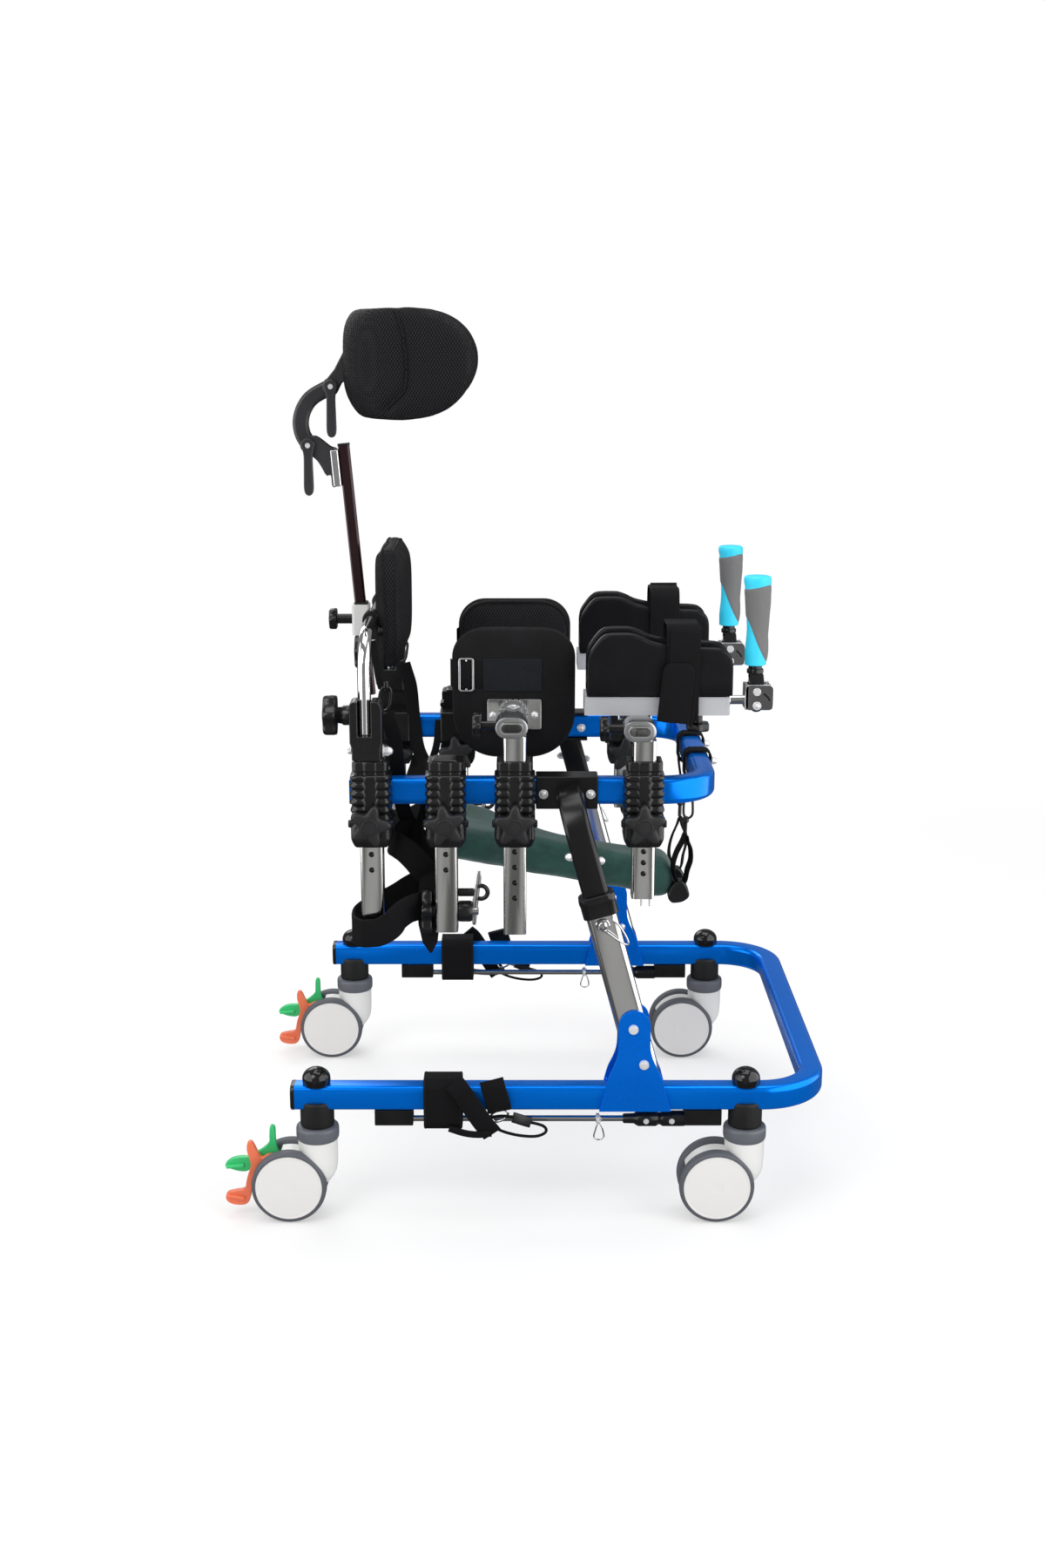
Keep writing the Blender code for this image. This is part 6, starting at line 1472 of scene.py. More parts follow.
@dataclass
class BackPost(Post):
    """Rear post with the slotted block and the large knob that lock the hoop."""

    def fittings(self) -> None:
        """Add the fork block, the knob and the through bolt."""
        y = self.y
        outline = [
            (53, 617.5), (90, 617.5), (90, 633), (92.5, 641), (92.5, 686), (90.4, 691.6), (86.5, 694.7),
            (78, 694.7), (78, 649), (61.2, 649), (61.2, 694.7), (55.2, 694.7), (51.6, 692.6), (50.5, 688.5),
            (50.5, 641), (53, 633)]
        fork = Shell().plate(np.array(outline, float), y - 17, y + 17)
        self.add("hoop_fork", fork, NYLON, bevel=1.6, segments=3)
        shoulder = self.square(615.8, 619, 33.5)
        self.add("hoop_fork_foot", shoulder, NYLON, bevel=1)
        knob = Shell().knob(star(28.6, 23.6, 6, 120, 0.2), (50.5, y, 674.5), -X_AXIS, 17.2, 16.6, 8)
        knob.revolve(
            [(0, -0.5), (13, -0.5), (13, 8), (11, 11), (10, 18), (0, 18)], (50.5, y, 674.5), -X_AXIS, 32)
        self.add("hoop_knob", knob, NYLON)
        bolt = bolted(Shell(), [(92.3, y, 627)], X_AXIS, 6.4, 13)
        bolt.nut((50.6, y, 627), -X_AXIS, 4.4, 4.4)
        self.add("hoop_fork_bolt", bolt, ZINC)


@dataclass
class SeatPost(Post):
    """Second post: a plug on top, and a star knob, two barrels, a lever plate and a ring at its foot."""

    def fittings(self) -> None:
        """Add the plug, the knob, the barrels, the lever plate and the ring."""
        y = self.y
        rows = [(616.2, 34), (617.6, 34), (618.6, 31), (618.8, 27)]
        plug = [level(rounded_rect(s, s, 5, 6, (self.x, y)), z) for z, s in rows]
        self.add("post_top_plug", Shell().grid(np.stack(plug)), NYLON)
        knob = Shell().knob(
            star(30, 19.5, 5, 110, math.pi / 2), (self.x - 15, y, THIGH_Z), -X_AXIS, 4.2, 14, 9)
        self.add("thigh_knob", knob, NYLON)
        barrel = Shell().revolve(
            [(0, -0.5), (11, -0.5), (13.8, 1), (14, 4), (14, 16), (12.6, 18.6), (8, 19.2), (0, 19.2)],
            (self.x + 15, y, THIGH_Z), X_AXIS, 40)
        self.add("thigh_barrel", barrel, NYLON)
        self.add("thigh_stud", Shell().rod((self.x + 15, y, 436), (self.x + 36, y, 436), 5.4, 1), NYLON)
        path = spline(
            [
                (self.x + 36, y, 391), (self.x + 37, y, 412), (self.x + 39, y, 434), (self.x + 42, y, 452),
                (self.x + 43, y, 465)],
            30)
        wide = np.interp(np.arange(30), [0, 1, 14, 27, 29], [0.6, 0.85, 1.3, 1, 0.6])
        lever = Shell().sweep(rounded_rect(6.4, 2.6, 1, 3), path, across=X_AXIS, scale=wide)
        lever.rod((self.x + 33, y, THIGH_Z), (self.x + 42, y, THIGH_Z), 5.2, 1, 20)
        self.add("thigh_lever", lever, CHROME)
        loop = arc((self.x + 45, 436), 9, -120, 120, 20)
        self.add("thigh_ring", Shell().tube(lift(loop, y), 3, 12, up=Y_AXIS), NYLON)


@dataclass
class TrunkPost(Post):
    """Third post with the cast socket that the trunk support's bar slides in."""

    def fittings(self) -> None:
        """Add the socket and its knob."""
        self.add("trunk_socket", self.oval_socket(TRUNK_BAR), CAST)
        self.add("trunk_socket_neck", self.neck(250, 276, 645, 650), CAST, bevel=0.8)
        self.add("trunk_knob", self.side_knob(TRUNK_BAR), NYLON)


@dataclass
class ArmPost(Post):
    """Front post with the oval bar under a forearm tray."""

    def fittings(self) -> None:
        """Add the socket, the bar, the knob, the socket's neck and two pins."""
        self.add("arm_socket", self.oval_socket(ARM_BAR), CAST)
        self.add("arm_bar", oval_bar(ARM_BAR, self.side, ARM_Y - 26, POST_Y + 22.5), ALUMINIUM)
        self.add("arm_knob", self.side_knob(ARM_BAR), NYLON)
        self.add("arm_socket_neck", self.neck(415, 441, 640, 645.5), CAST, bevel=0.8)
        pins = Shell()
        for x in (self.x - 1, self.x + 10):
            pins.rod((x, self.y, 417), (x, self.y, 432.5), 1.4, 0.4, 12)
        self.add("arm_post_pins", pins, ZINC)


@dataclass
class BackRest(Assembly):
    """Hoop, ring clamps, board, white block and knob behind the back cushion."""

    hoop_x: float = 69.5
    bar_z: float = 775.0
    bend: float = 50.0

    def build(self) -> None:
        """Make the hoop on its posts and the rest on the tilting back."""
        bend = self.bend
        path = np.concatenate(
            [
                [(-POST_Y, 649.5)], arc((-POST_Y + bend, self.bar_z - bend), bend, 180, 90, 20),
                arc((POST_Y - bend, self.bar_z - bend), bend, 90, 0, 20), [(POST_Y, 649.5)]])
        self.add(
            "hoop_bar", Shell().tube(upright(path, self.hoop_x), 8.7, 32, up=X_AXIS), CHROME,
            body="back_lift", replaces=("back_hoop",))
        rings = Shell()
        for y in (-85, 85):
            rings.rod((self.hoop_x, y - 9, self.bar_z), (self.hoop_x, y + 9, self.bar_z), 13.3, 0.8, 40)
            rings.block((66, y - 7, 748), (80, y + 7, 768), 2)
            bolted(rings, [(79, y * 1.22, 762)], X_AXIS, 5.4, 11)
        self.add("hoop_ring_clamps", rings, NYLON, bevel=0.7)
        board = rounded_rect(200, 100, 12, 6, (0, 785))
        rows = np.stack([upright(board, 81.3), upright(board, 85.3)])
        self.add("back_board", Shell().grid(rows), NYLON, bevel=1, replaces=("back_bracket",))
        block = Shell().block((35.2, -15, 741.2), (59.5, 15, 784.2), 4)
        self.add("head_post_block", block, WHITE_BLOCK, bevel=1.2, segments=3)
        gasket = Shell().block((38.5, -12, 784), (57, 12, 787), 3)
        self.add("head_post_gasket", gasket, RUBBER, bevel=0.6)
        arms = Shell()
        for y in (-11.8, 11.8):
            arms.block((50, y - 2.2, 743), (83, y + 2.2, 761), 1)
        self.add("block_arms", arms, NYLON, bevel=0.8)
        knob = Shell().knob(star(15.5, 12.8, 6, 96), (35.2, 0, 762.7), -X_AXIS, 21.8, 10.6, 7)
        self.add("head_post_knob", knob, NYLON)
        screw = Shell().rod((13, 0, 762.7), (36, 0, 762.7), 4.3, 0.5)
        self.add("head_post_knob_screw", screw, BRASS)


HEAD_TILT = math.radians(4.91)


@dataclass
class HeadSupport(Assembly):
    """Head post, chrome clamp with its black bracket, curved arm, levers and the stem behind the cushion."""

    lower: tuple[float, float] = (-19.5, 1003.0)
    upper: tuple[float, float] = (13.4, 1081.5)
    post_top: tuple[float, float] = (27.7, 1004.0)
    lever_faces: tuple[float, float] = (-19.3, -12.2)

    def down(self, distance: float, forward: float, y: float) -> tuple[float, float, float]:
        """Place a distance down the post from its top, forward of its middle."""
        x, z = self.post_top
        sine, cosine = math.sin(HEAD_TILT), math.cos(HEAD_TILT)
        return x + distance * sine + forward * cosine, y, z - distance * cosine + forward * sine

    def build(self) -> None:
        """Make the clamp, bracket, arm, stem and levers."""
        self.add(
            "head_clamp_block", self.clamp(), CHROME, body="headrest_lift", bevel=1.2, segments=3,
            replaces=("headrest_clamp",))
        outline = [
            (18.2, 996.5), (9, 1001), (-6, 1012.5), (-14, 1015), (-24, 1013), (-30.6, 1003), (-27, 994.6),
            (-18, 990), (-8, 982), (-1, 971), (4, 962.4), (10.2, 962.2), (12.2, 947.2), (17.4, 947.6),
            (17.8, 960), (16.8, 980)]
        plates = self.cheeks(spline(outline, 90, closed=True))
        plates.plate(
            spline(
                [(18.2, 996.5), (4, 990), (4, 962.4), (10.2, 962.2), (17.4, 947.6), (17.8, 960)], 40,
                closed=True),
            -8.2, 8.2)
        self.add("head_bracket", plates, STEEL, body="headrest_lift", bevel=1)
        self.add(
            "head_arm_bar", self.arm(), STEEL, body="headrest_arm", bevel=3, segments=4,
            replaces=("headrest_arm",))
        self.add("head_stem", self.stem(), STEEL, body="headrest_pad", bevel=1.8, segments=3)
        for label, pivot in (("lower", self.lower), ("upper", self.upper)):
            carrier = "headrest_lift" if label == "lower" else "headrest_pad"
            outer, inner = ((pivot[0], y, pivot[1]) for y in self.lever_faces)
            self.add(
                f"head_lever_{label}", self.lever(pivot), STEEL, body=f"lever_{label}", bevel=1.6,
                segments=3, replaces=(f"headrest_lever_{label}",))
            boss = Shell().rod(inner, (pivot[0], 16.4, pivot[1]), 8.2, 1)
            boss.nut((pivot[0], 16, pivot[1]), Y_AXIS, 5, 5)
            self.add(f"head_pivot_{label}", boss, NYLON, body=carrier)
            screw = Shell().washer(outer, -Y_AXIS, 3.6, 1.4)
            self.add(f"head_lever_screw_{label}", screw, ZINC, body=f"lever_{label}")
        cap = [self.down(distance, a, b) for distance in (2.5, -1.2) for a, b in rounded_rect(16, 16, 2, 4)]
        self.add(
            "head_post_cap", Shell().grid(np.array(cap).reshape(2, -1, 3)), NYLON, body="headrest_lift",
            bevel=0.6)
        screws = Shell()
        for distance in (14, 48):
            x, _, z = self.down(distance, -14.6, 0)
            screws.nut((x + 1, -5, z), -X_AXIS, 4.2, 5)
        self.add("head_clamp_screws", screws, ZINC, body="headrest_lift")

    def clamp(self) -> Shell:
        """Chrome block bolted to the rear of the post, tilted with it."""
        outline = rounded_rect(11, 25.4, 2, 4, (-13.2, 0))
        return Shell().grid(
            np.array([[self.down(distance, a, b) for a, b in outline] for distance in (6.5, 56)]))

    def arm(self) -> Shell:
        """Curved arm: a smooth bow from one pivot to the other, with rounded ends."""
        line = spline(
            [self.lower, (-27.6, 1017), (-30, 1034), (-25, 1052), (-12.5, 1067.5), self.upper], 50)
        return Shell().sweep(rounded_rect(22, 14, 5, 5), lift(line), up=Y_AXIS, scale=self.ease(50))

    @staticmethod
    def ease(count: int) -> np.ndarray:
        """Scale that rounds off both ends of a bar: the height of a half circle over its last stations."""
        t = np.linspace(0, 1, count)
        near_end = np.minimum(t, 1 - t) * count / 3
        return np.where(near_end < 1, 0.55 + 0.45 * np.sqrt(np.clip(1 - (1 - near_end) ** 2, 0, 1)), 1)

    def stem(self) -> Shell:
        """Stem from the upper joint to the rear of the cushion."""
        x, z = self.upper
        outline = np.concatenate(
            [
                arc((x, z), 12, 115, 300, 16),
                [(27, 1086), (38, 1090), (46, 1094), (46, 1129), (38, 1131), (30, 1126), (18, 1104)]])
        shell = self.cheeks(outline)
        shell.plate(
            np.array([(25, 1092), (46, 1094), (46, 1129), (38, 1131), (30, 1126), (20, 1106)], float), -9,
            9)
        return shell

    @staticmethod
    def cheeks(outline: np.ndarray) -> Shell:
        """Two equal plates, one on each side of the arm."""
        return Shell().plate(outline, -7.9, -11.4).plate(outline, 7.9, 11.4)

    def lever(self, pivot: tuple[float, float]) -> Shell:
        """Flat lever hanging from its joint, waisted under its hub."""
        outline = np.array(
            [
                (-9.4, 1), (-8, 6), (0, 9.6), (8, 6), (9.4, 1), (7.6, -6), (6, -16), (6.4, -40), (6.6, -58),
                (4.6, -65.5), (0, -68), (-4.6, -65.5), (-6.6, -58), (-6.4, -40), (-6, -16),
                (-7.6, -6)]) + pivot
        return Shell().plate(spline(outline, 80, closed=True), *self.lever_faces)


@dataclass
class TrunkSupport(Sided):
    """Bar, toothed disc and plate of one trunk pad."""

    def build(self) -> None:
        """Make the metal parts behind the pad."""
        x, z = TRUNK_BAR[0] + 1.5, TRUNK_BAR[1] - 2
        bar = oval_bar(TRUNK_BAR, self.side, 156, POST_Y + 23, 0.6)
        self.add("trunk_bar", bar, ALUMINIUM, replaces=(f"trunk_arm_{self.name}",))
        plate = rounded_rect(72, 41, 2, 4, (262, 656.5))
        self.add(
            "trunk_plate", Shell().plate(plate, self.side * 145.4, self.side * 148.4), ALUMINIUM, bevel=0.6)
        teeth = star(19.6, 17.9, 22, 220, 0, 0.8) + (x, z)
        self.add(
            "trunk_toothed_disc", Shell().plate(teeth, self.side * 148.2, self.side * 156.6), CAST,
            bevel=0.5)
        hub = Shell().revolve(
            [(0, 155), (13, 155), (13, 158.6), (10.5, 161), (0, 161)], (x, 0, z), self.outward, 40)
        self.add("trunk_disc_hub", hub, CAST)
        bolts = Shell()
        for bx in (233.5, 289):
            bolts.nut((bx, self.side * 148, 656), self.outward, 5.2, 6)
        self.add("trunk_plate_bolts", bolts, ZINC)


@dataclass
class ForearmSupport(Sided):
    """Moulded trough on its grey tray, with a strap, a lock knob, the rod, the clevis and the hand grip."""

    rear: float = 357.6
    front: float = 548.0
    base: float = 690.0
    half: float = 34.0
    wall: float = 13.0
    floor: float = 16.0
    rod_z: float = 680.2
    pivot: tuple[float, float] = (582.3, 674.8)
    grip_x: float = 580.4
    grip_foot: float = 727.0
    grip_length: float = 118.0

    @property
    def y(self) -> float:
        """Middle of the support across the walker."""
        return self.side * ARM_Y

    def build(self) -> None:
        """Make the trough, strap and fittings, then the handle."""
        trough = self.add("forearm_trough", self.trough(), FOAM, replaces=(f"arm_pad_{self.name}",))
        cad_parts[f"arm_tray_{self.name}"].material_slots[0].material = TRAY.material()
        self.add("forearm_strap", self.strap(), STRAP)
        self.add("forearm_strap_seams", self.strap_seams(), STRAP)
        fittings = Shell()
        fittings.block((399, self.y - 20, 657), (444, self.y + 20, 664.4), 2)
        fittings.rod((421.5, self.y - 21, 659.5), (421.5, self.y + 21, 659.5), 4.5, 0.8)
        self.add("tray_saddle", fittings, CHROME, bevel=0.9)
        knob = Shell().knob(star(16.6, 13.8, 6, 96), (506, self.y, 664), -Z_AXIS, 14.5, 11, 6.4)
        self.add("tray_lock_knob", knob, NYLON)
        self.handle()

    def trough(self) -> Shell:
        """Trough surface: at each x a rounded U, whose wall height follows the side profile."""
        profile = spline(
            [
                (357.6, 737), (360, 746.5), (366, 756.5), (374, 766.5), (382, 772), (392, 773.4),
                (404, 773.6), (416, 773), (428, 769), (441, 763), (461, 758.4), (484, 756), (507, 754.8),
                (524, 754.2), (535, 752.2), (543, 746.2), (547.2, 738), (548, 730)],
            96)
        x = profile[:, 0]
        x = self.rear + (x - x[0]) / (x[-1] - x[0]) * (self.front - self.rear)
        height = profile[:, 1] - self.base
        half, wall, floor, lip = self.half, self.wall, self.floor, min(self.wall / 2, 6)
        t = np.linspace(0, math.pi / 2, 7)
        shares = []
        for tall in height:
            outer = [
                (half - 5, 0), (half - 1.4, 1.4), (half, 5), (half + 0.6, tall * 0.35), (half, tall * 0.7)]
            crown = [(half - lip + lip * math.cos(a), tall - lip + lip * math.sin(a)) for a in t]
            crown += [(half - wall + lip - lip * math.sin(a), tall - lip + lip * math.cos(a)) for a in t]
            hollow = [
                (half - wall - 0.6, max(tall * 0.55, floor + 7)), (half - wall - 2.4, floor + 4.4),
                (half - wall - 6.5, floor + 1), (half * 0.30, floor - 1.6), (0, floor - 2)]
            right = outer + crown + hollow
            left = [(-a, b) for a, b in reversed(right[:-1])]
            shares.append(right + left)
        grid = np.array(shares)
        ends = np.minimum(np.arange(len(x)), np.arange(len(x))[::-1])
        shrink = np.interp(ends, [0, 1, 3, 6], [0.955, 0.978, 0.995, 1])
        points = np.stack(
            [
                np.broadcast_to(x[:, None], grid.shape[:2]), self.y + grid[..., 0] * shrink[:, None],
                self.base + 0.7 + grid[..., 1] * (0.3 + 0.7 * shrink[:, None])],
            -1)
        return Shell().grid(points)

    def strap(self) -> Shell:
        """Strap round tray and trough: a closed ribbon that lies slack on top."""
        half = self.half + 2.6
        low, high = 659.6, 783
        loop = spline(
            [
                (0, low), (half - 4, low), (half, low + 5), (half + 0.4, 700), (half + 1.2, 740),
                (half + 0.4, 766), (half - 5, 778.5), (half - 16, 783.5), (0, high), (-half + 16, 784.5),
                (-half + 5, 779.5), (-half - 0.4, 767), (-half - 1.2, 740), (-half - 0.4, 700),
                (-half, low + 5), (-half + 4, low)],
            96, closed=True)
        path = upright(loop + (self.y, 0), 482)
        return Shell().sweep(rounded_rect(43, 2.8, 1.2, 3), path, across=X_AXIS, loop=True)

    def strap_seams(self) -> Shell:
        """Hook-and-loop tab on the outer side, with its folded end, and a keeper low on the strap."""
        shell = Shell()
        y = self.y + self.side * (self.half + 5.2)
        out = self.side
        run = spline(
            [
                (484.5, y - out * 6, 785), (484.5, y - out * 1.2, 779), (484, y + out * 0.8, 760),
                (483, y + out * 0.6, 730), (480, y + out * 0.6, 700), (477.5, y + out * 0.4, 668),
                (476.5, y, 656.5)],
            30)
        shell.sweep(rounded_rect(40, 2.4, 1, 3), run, across=X_AXIS)
        flap = spline(
            [
                (477, y + out * 3, 737), (476.5, y + out * 3.6, 726), (473, y + out * 3.4, 692),
                (469.5, y + out * 3.2, 658)],
            24)
        taper = np.interp(np.arange(24), [0, 1, 2, 4, 23], [0.6, 0.82, 0.94, 1, 1])
        return shell.sweep(rounded_rect(42, 3, 1.3, 3), flap, across=X_AXIS, scale=taper)

    def handle(self) -> None:
        """Rod and clevis on the tray, then the tilting grip."""
        y, z, pivot = self.y, self.rod_z, self.pivot
        bracket = Sided(f"handle_{self.name}", self.name)
        rod = Shell().rod((470, y, z), (568, y, z), 6, 0.4, 32)
        rod.revolve([(0, 544.9), (9, 544.9), (9.2, 546.4), (8.6, 547.8), (0, 547.8)], (0, y, z), X_AXIS, 40)
        bracket.add("handle_rod", rod, CHROME, replaces=(f"handle_bracket_{self.name}",))
        clevis = Shell()
        cheek = rounded_rect(38, 34, 6.5, 8, (585.4, 685.8))
        for face in (-1, 1):
            clevis.plate(cheek, y + face * 11.2, y + face * 15)
        clevis.block((566.4, y - 15, 669.5), (571.5, y + 15, 702), 1)
        bracket.add("handle_clevis", clevis, CHROME, bevel=1, segments=3)
        details, slots = Shell(), Shell()
        for face in (-1, 1):
            away = Y_AXIS * face
            details.washer((pivot[0], y + face * 14.9, pivot[1]), away, 5.6, 2.4)
            details.nut((pivot[0], y + face * 16.6, pivot[1]), away, 3.6, 2.4)
            details.washer((582, y + face * 14.9, 693.4), away, 5.2, 2.2)
            slot = lift(arc(pivot, 18.6, 22, 62, 12), y + face * 15.05)
            slots.sweep(rounded_rect(3.6, 0.5, 0.2, 2), slot, up=Y_AXIS)
        bracket.add("handle_pivot", details, ZINC)
        bracket.add("handle_slot", slots, NYLON)
        grip = Sided(f"grip_{self.name}", self.name)
        neck = [(591.7, 706), (590.6, 716), (574, 716), (572.9, 706)]
        shape = Shell().plate(np.concatenate([arc(pivot, 9.4, 180, 360, 16), neck]), y - 10.2, y + 10.2)
        stub = [(0, 710), (8.8, 710), (8.8, 728.5), (0, 728.5)]
        collar = [(0, 716), (10.6, 716), (11, 717.5), (11, 721), (10.4, 722.5), (0, 722.5)]
        for profile in (stub, collar):
            shape.revolve(profile, (self.grip_x, y, 0), Z_AXIS, 32)
        grip.add("grip_tongue", shape, NYLON, bevel=0.8)
        core, sleeve, cap = self.grip_shapes()
        grip.add("grip_core", core, GRIP_CYAN, replaces=(f"handle_grip_{self.name}",))
        grip.add("grip_sleeve", sleeve, GRIP_GREY)
        grip.add("grip_cap", cap, GRIP_CYAN)

    def grip_section(self, t: np.ndarray) -> tuple[np.ndarray, np.ndarray]:
        """Middle and radius of the grip at heights t from 0 to 1: a waisted swell that widens upward."""
        radius = 14 + 3.5 * t ** 1.4 - 1.1 * np.exp(
            -((t - 0.42) / 0.16) ** 2) + 0.8 * np.exp(-((t - 0.15) / 0.1) ** 2)
        middle = 580.2 + 1.6 * np.sin(t * math.pi)
        return middle, radius

    def grip_grid(self, t: np.ndarray, middle: np.ndarray, radius: np.ndarray) -> Shell:
        """Oval rings: p(t, u) = (middle + radius cos u, y + 0.92 radius sin u, foot + length t)."""
        turn = turns(64)[None]
        x, z = middle + radius * np.cos(turn), self.grip_foot + self.grip_length * t
        y = self.y + radius * 0.92 * np.sin(turn)
        return Shell().grid(np.stack([x, y, np.broadcast_to(z, x.shape)], -1))

    def grip_shapes(self) -> tuple[Shell, Shell, Shell]:
        """Cyan core, grey sleeve wrapped on it with slanting edges, and the cyan cap."""
        turn = turns(64)
        t = np.concatenate([[0, 0.008], np.linspace(0.03, 0.93, 40)])[:, None]
        middle, radius = self.grip_section(t)
        radius[0] -= 2
        core = self.grip_grid(t, middle, radius)
        low = 0.04 + 0.50 * (0.5 - 0.5 * np.cos(turn)) ** 1.3
        span = np.linspace(0, 1, 30)
        share = low[None] + (0.885 + 0.03 * np.cos(turn)[None] - low[None]) * span[:, None]
        middle, radius = self.grip_section(share)
        grow = 0.9 * np.minimum(1, np.minimum(span, 1 - span) * 14)[:, None] ** 0.5
        wave = np.sin(share * self.grip_length * 2 * math.pi / 6.4) ** 2
        ribs = 0.35 * wave * ((share > 0.3) & (share < 0.8))
        sleeve = self.grip_grid(share, middle, radius + grow - ribs * (grow > 0.8))
        t = np.array([0.90, 0.905, 0.94, 0.975, 0.992, 1])[:, None]
        middle, radius = self.grip_section(t)
        cap = self.grip_grid(t, middle, radius * np.array([0.9, 1.03, 1.045, 1.03, 0.97, 0.86])[:, None])
        return core, sleeve, cap


# Soft goods


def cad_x(x: float) -> float:
    """Turn X in millimetres from the rear axis into the model's own metres."""
    return x * MM + REAR_AXIS_X


def read(items: bpy.types.bpy_prop_collection, key: str = "co") -> np.ndarray:
    """Vectors (n, 3) of a mesh's points or normals."""
    flat = np.zeros(len(items) * 3)
    items.foreach_get(key, flat)
    return flat.reshape(-1, 3)


def puff(piece: bpy.types.Object, voxel: float, cap: float, pressure: float) -> None:
    """Remesh a closed form and swell it as cloth under pressure, with each point's move capped.

    Args:
        piece: closed form a little smaller than the finished cushion.
        voxel: size of the new faces in millimetres.
        cap: furthest that a point may move, in millimetres.
        pressure: air pressure inside the cloth.
    """
    remesh = piece.modifiers.new("even", "REMESH")
    remesh.mode = "VOXEL"
    remesh.voxel_size = voxel * MM
    even = bake(piece)
    start = read(even.vertices)
    cloth = piece.modifiers.new("swell", "CLOTH")
    cloth.settings.use_pressure = True
    cloth.settings.uniform_pressure_force = pressure
    cloth.settings.effector_weights.gravity = 0
    cloth.settings.quality = 5
    for number in range(1, 21):
        bpy.context.scene.frame_set(number)
    evaluated = piece.evaluated_get(bpy.context.evaluated_depsgraph_get())
    move = read(evaluated.data.vertices) - start
    far = np.linalg.norm(move, axis=1, keepdims=True)
    move *= np.minimum(1, cap * MM / np.maximum(far, 1e-9))
    piece.modifiers.clear()
    even.vertices.foreach_set("co", (start + move).ravel())
    even.update()
    bpy.context.scene.frame_set(1)
    even.shade_smooth()


def relax(piece: bpy.types.Object, rounds: int = 6) -> None:
    """Even out a remeshed surface with a few rounds of smoothing."""
    smooth = piece.modifiers.new("relax", "SMOOTH")
    smooth.factor = 0.5
    smooth.iterations = rounds
    bake(piece).shade_smooth()


def crease(piece: bpy.types.Object, path: np.ndarray, depth: float, reach: float) -> None:
    """Press a sewn channel into a cushion: points near the path move inward by a bell of their distance.

    Args:
        piece: the cushion.
        path: points of the seam in millimetres.
        depth: how deep the channel is.
        reach: half width of the bell.
    """
    mesh = piece.data
    co, normal = read(mesh.vertices), read(mesh.vertex_normals, "vector")
    line = np.asarray(path, float) * MM + np.array([REAR_AXIS_X, 0, 0])
    gap = np.sqrt(((co[:, None] - line[None]) ** 2).sum(-1)).min(1) / MM
    co = co - normal * (depth * MM * np.exp(-(gap / reach) ** 2))[:, None]
    mesh.vertices.foreach_set("co", co.ravel())
    mesh.update()


@dataclass
class Cushion(Assembly):
    """Padded piece grown from a closed form."""

    name: str = "cushion"
    voxel: float = 5.0
    cap: float = 8.0
    pressure: float = 4.0
    fill: float = 0.8
    soften: int = 6
    welt: float = 0.0

    def grow(self, shell: Shell, finish: Finish, replaces: tuple[str, ...],
             seams: list[tuple] | None = None) -> bpy.types.Object:
        """Turn a closed form into a finished cushion.

        Args:
            shell: closed form, slightly smaller than the cushion.
            finish: its cover.
            replaces: nodes that it stands for.
            seams: (path, depth, reach) of each sewn channel.

        Returns:
            The cushion.
        """
        piece = placed(shell.mesh(self.full(self.name)), finish)
        puff(piece, self.voxel, self.cap, self.pressure)
        relax(piece, self.soften)
        for number, (path, depth, reach) in enumerate(seams or []):
            seam = hug(path, piece, closed=False)
            crease(piece, seam, depth, reach)
            if self.welt:
                thread = Shell().tube(hug(seam, piece, closed=False), self.welt, 10)
                self.add(f"{self.name}_seam_{number}", thread, PIPING)
        if not piece.data.materials:
            piece.data.materials.append(finish.material())
        refine = piece.modifiers.new("refine", "SUBSURF")
        refine.levels = 1
        refine.render_levels = 1
        self.settle(piece, finish, replaces=replaces)
        return piece


def slab(outline: np.ndarray, rows: list[tuple[float, float]], place: Callable) -> np.ndarray:
    """Stack copies of an outline, each drawn toward its middle.

    Args:
        outline: points (a, b) of the full outline.
        rows: (depth, inset) of each copy in millimetres.
        place: function that puts (a, b, depth) arrays into space.

    Returns:
        Grid of points for Shell.grid.
    """
    middle = (outline.max(0) + outline.min(0)) / 2
    half = (outline.max(0) - outline.min(0)) / 2
    grid = []
    for depth, inset in rows:
        drawn = middle + (outline - middle) * (1 - inset / half)
        grid.append(place(drawn[:, 0], drawn[:, 1], np.full(len(drawn), depth)))
    return np.stack(grid)


def hug(path: np.ndarray, piece: bpy.types.Object, nearest: int = 6, closed: bool = True) -> np.ndarray:
    """Draw a path onto a piece's skin.

    Each point moves to the mean of its nearest mesh points, weighted by one over their distance, and the path
    is then smoothed by passes of (1, 2, 1) / 4.

    Args:
        path: points near the skin, in millimetres.
        piece: cushion that carries it.
        nearest: how many mesh points count.
        closed: join the last point to the first.

    Returns:
        Points on the skin.
    """
    skin = (read(piece.data.vertices) - (REAR_AXIS_X, 0, 0)) / MM
    gap = np.linalg.norm(path[:, None] - skin[None], axis=2)
    rank = np.argpartition(gap, nearest, axis=1)[:, :nearest]
    weight = 1 / (np.take_along_axis(gap, rank, 1) + 0.5)
    drawn = (skin[rank] * weight[..., None]).sum(1) / weight.sum(1)[:, None]
    for _ in range(6):
        ends = drawn[[0, -1]]
        drawn = (np.roll(drawn, 1, 0) + 2 * drawn + np.roll(drawn, -1, 0)) / 4
        if not closed:
            drawn[[0, -1]] = ends
    return drawn


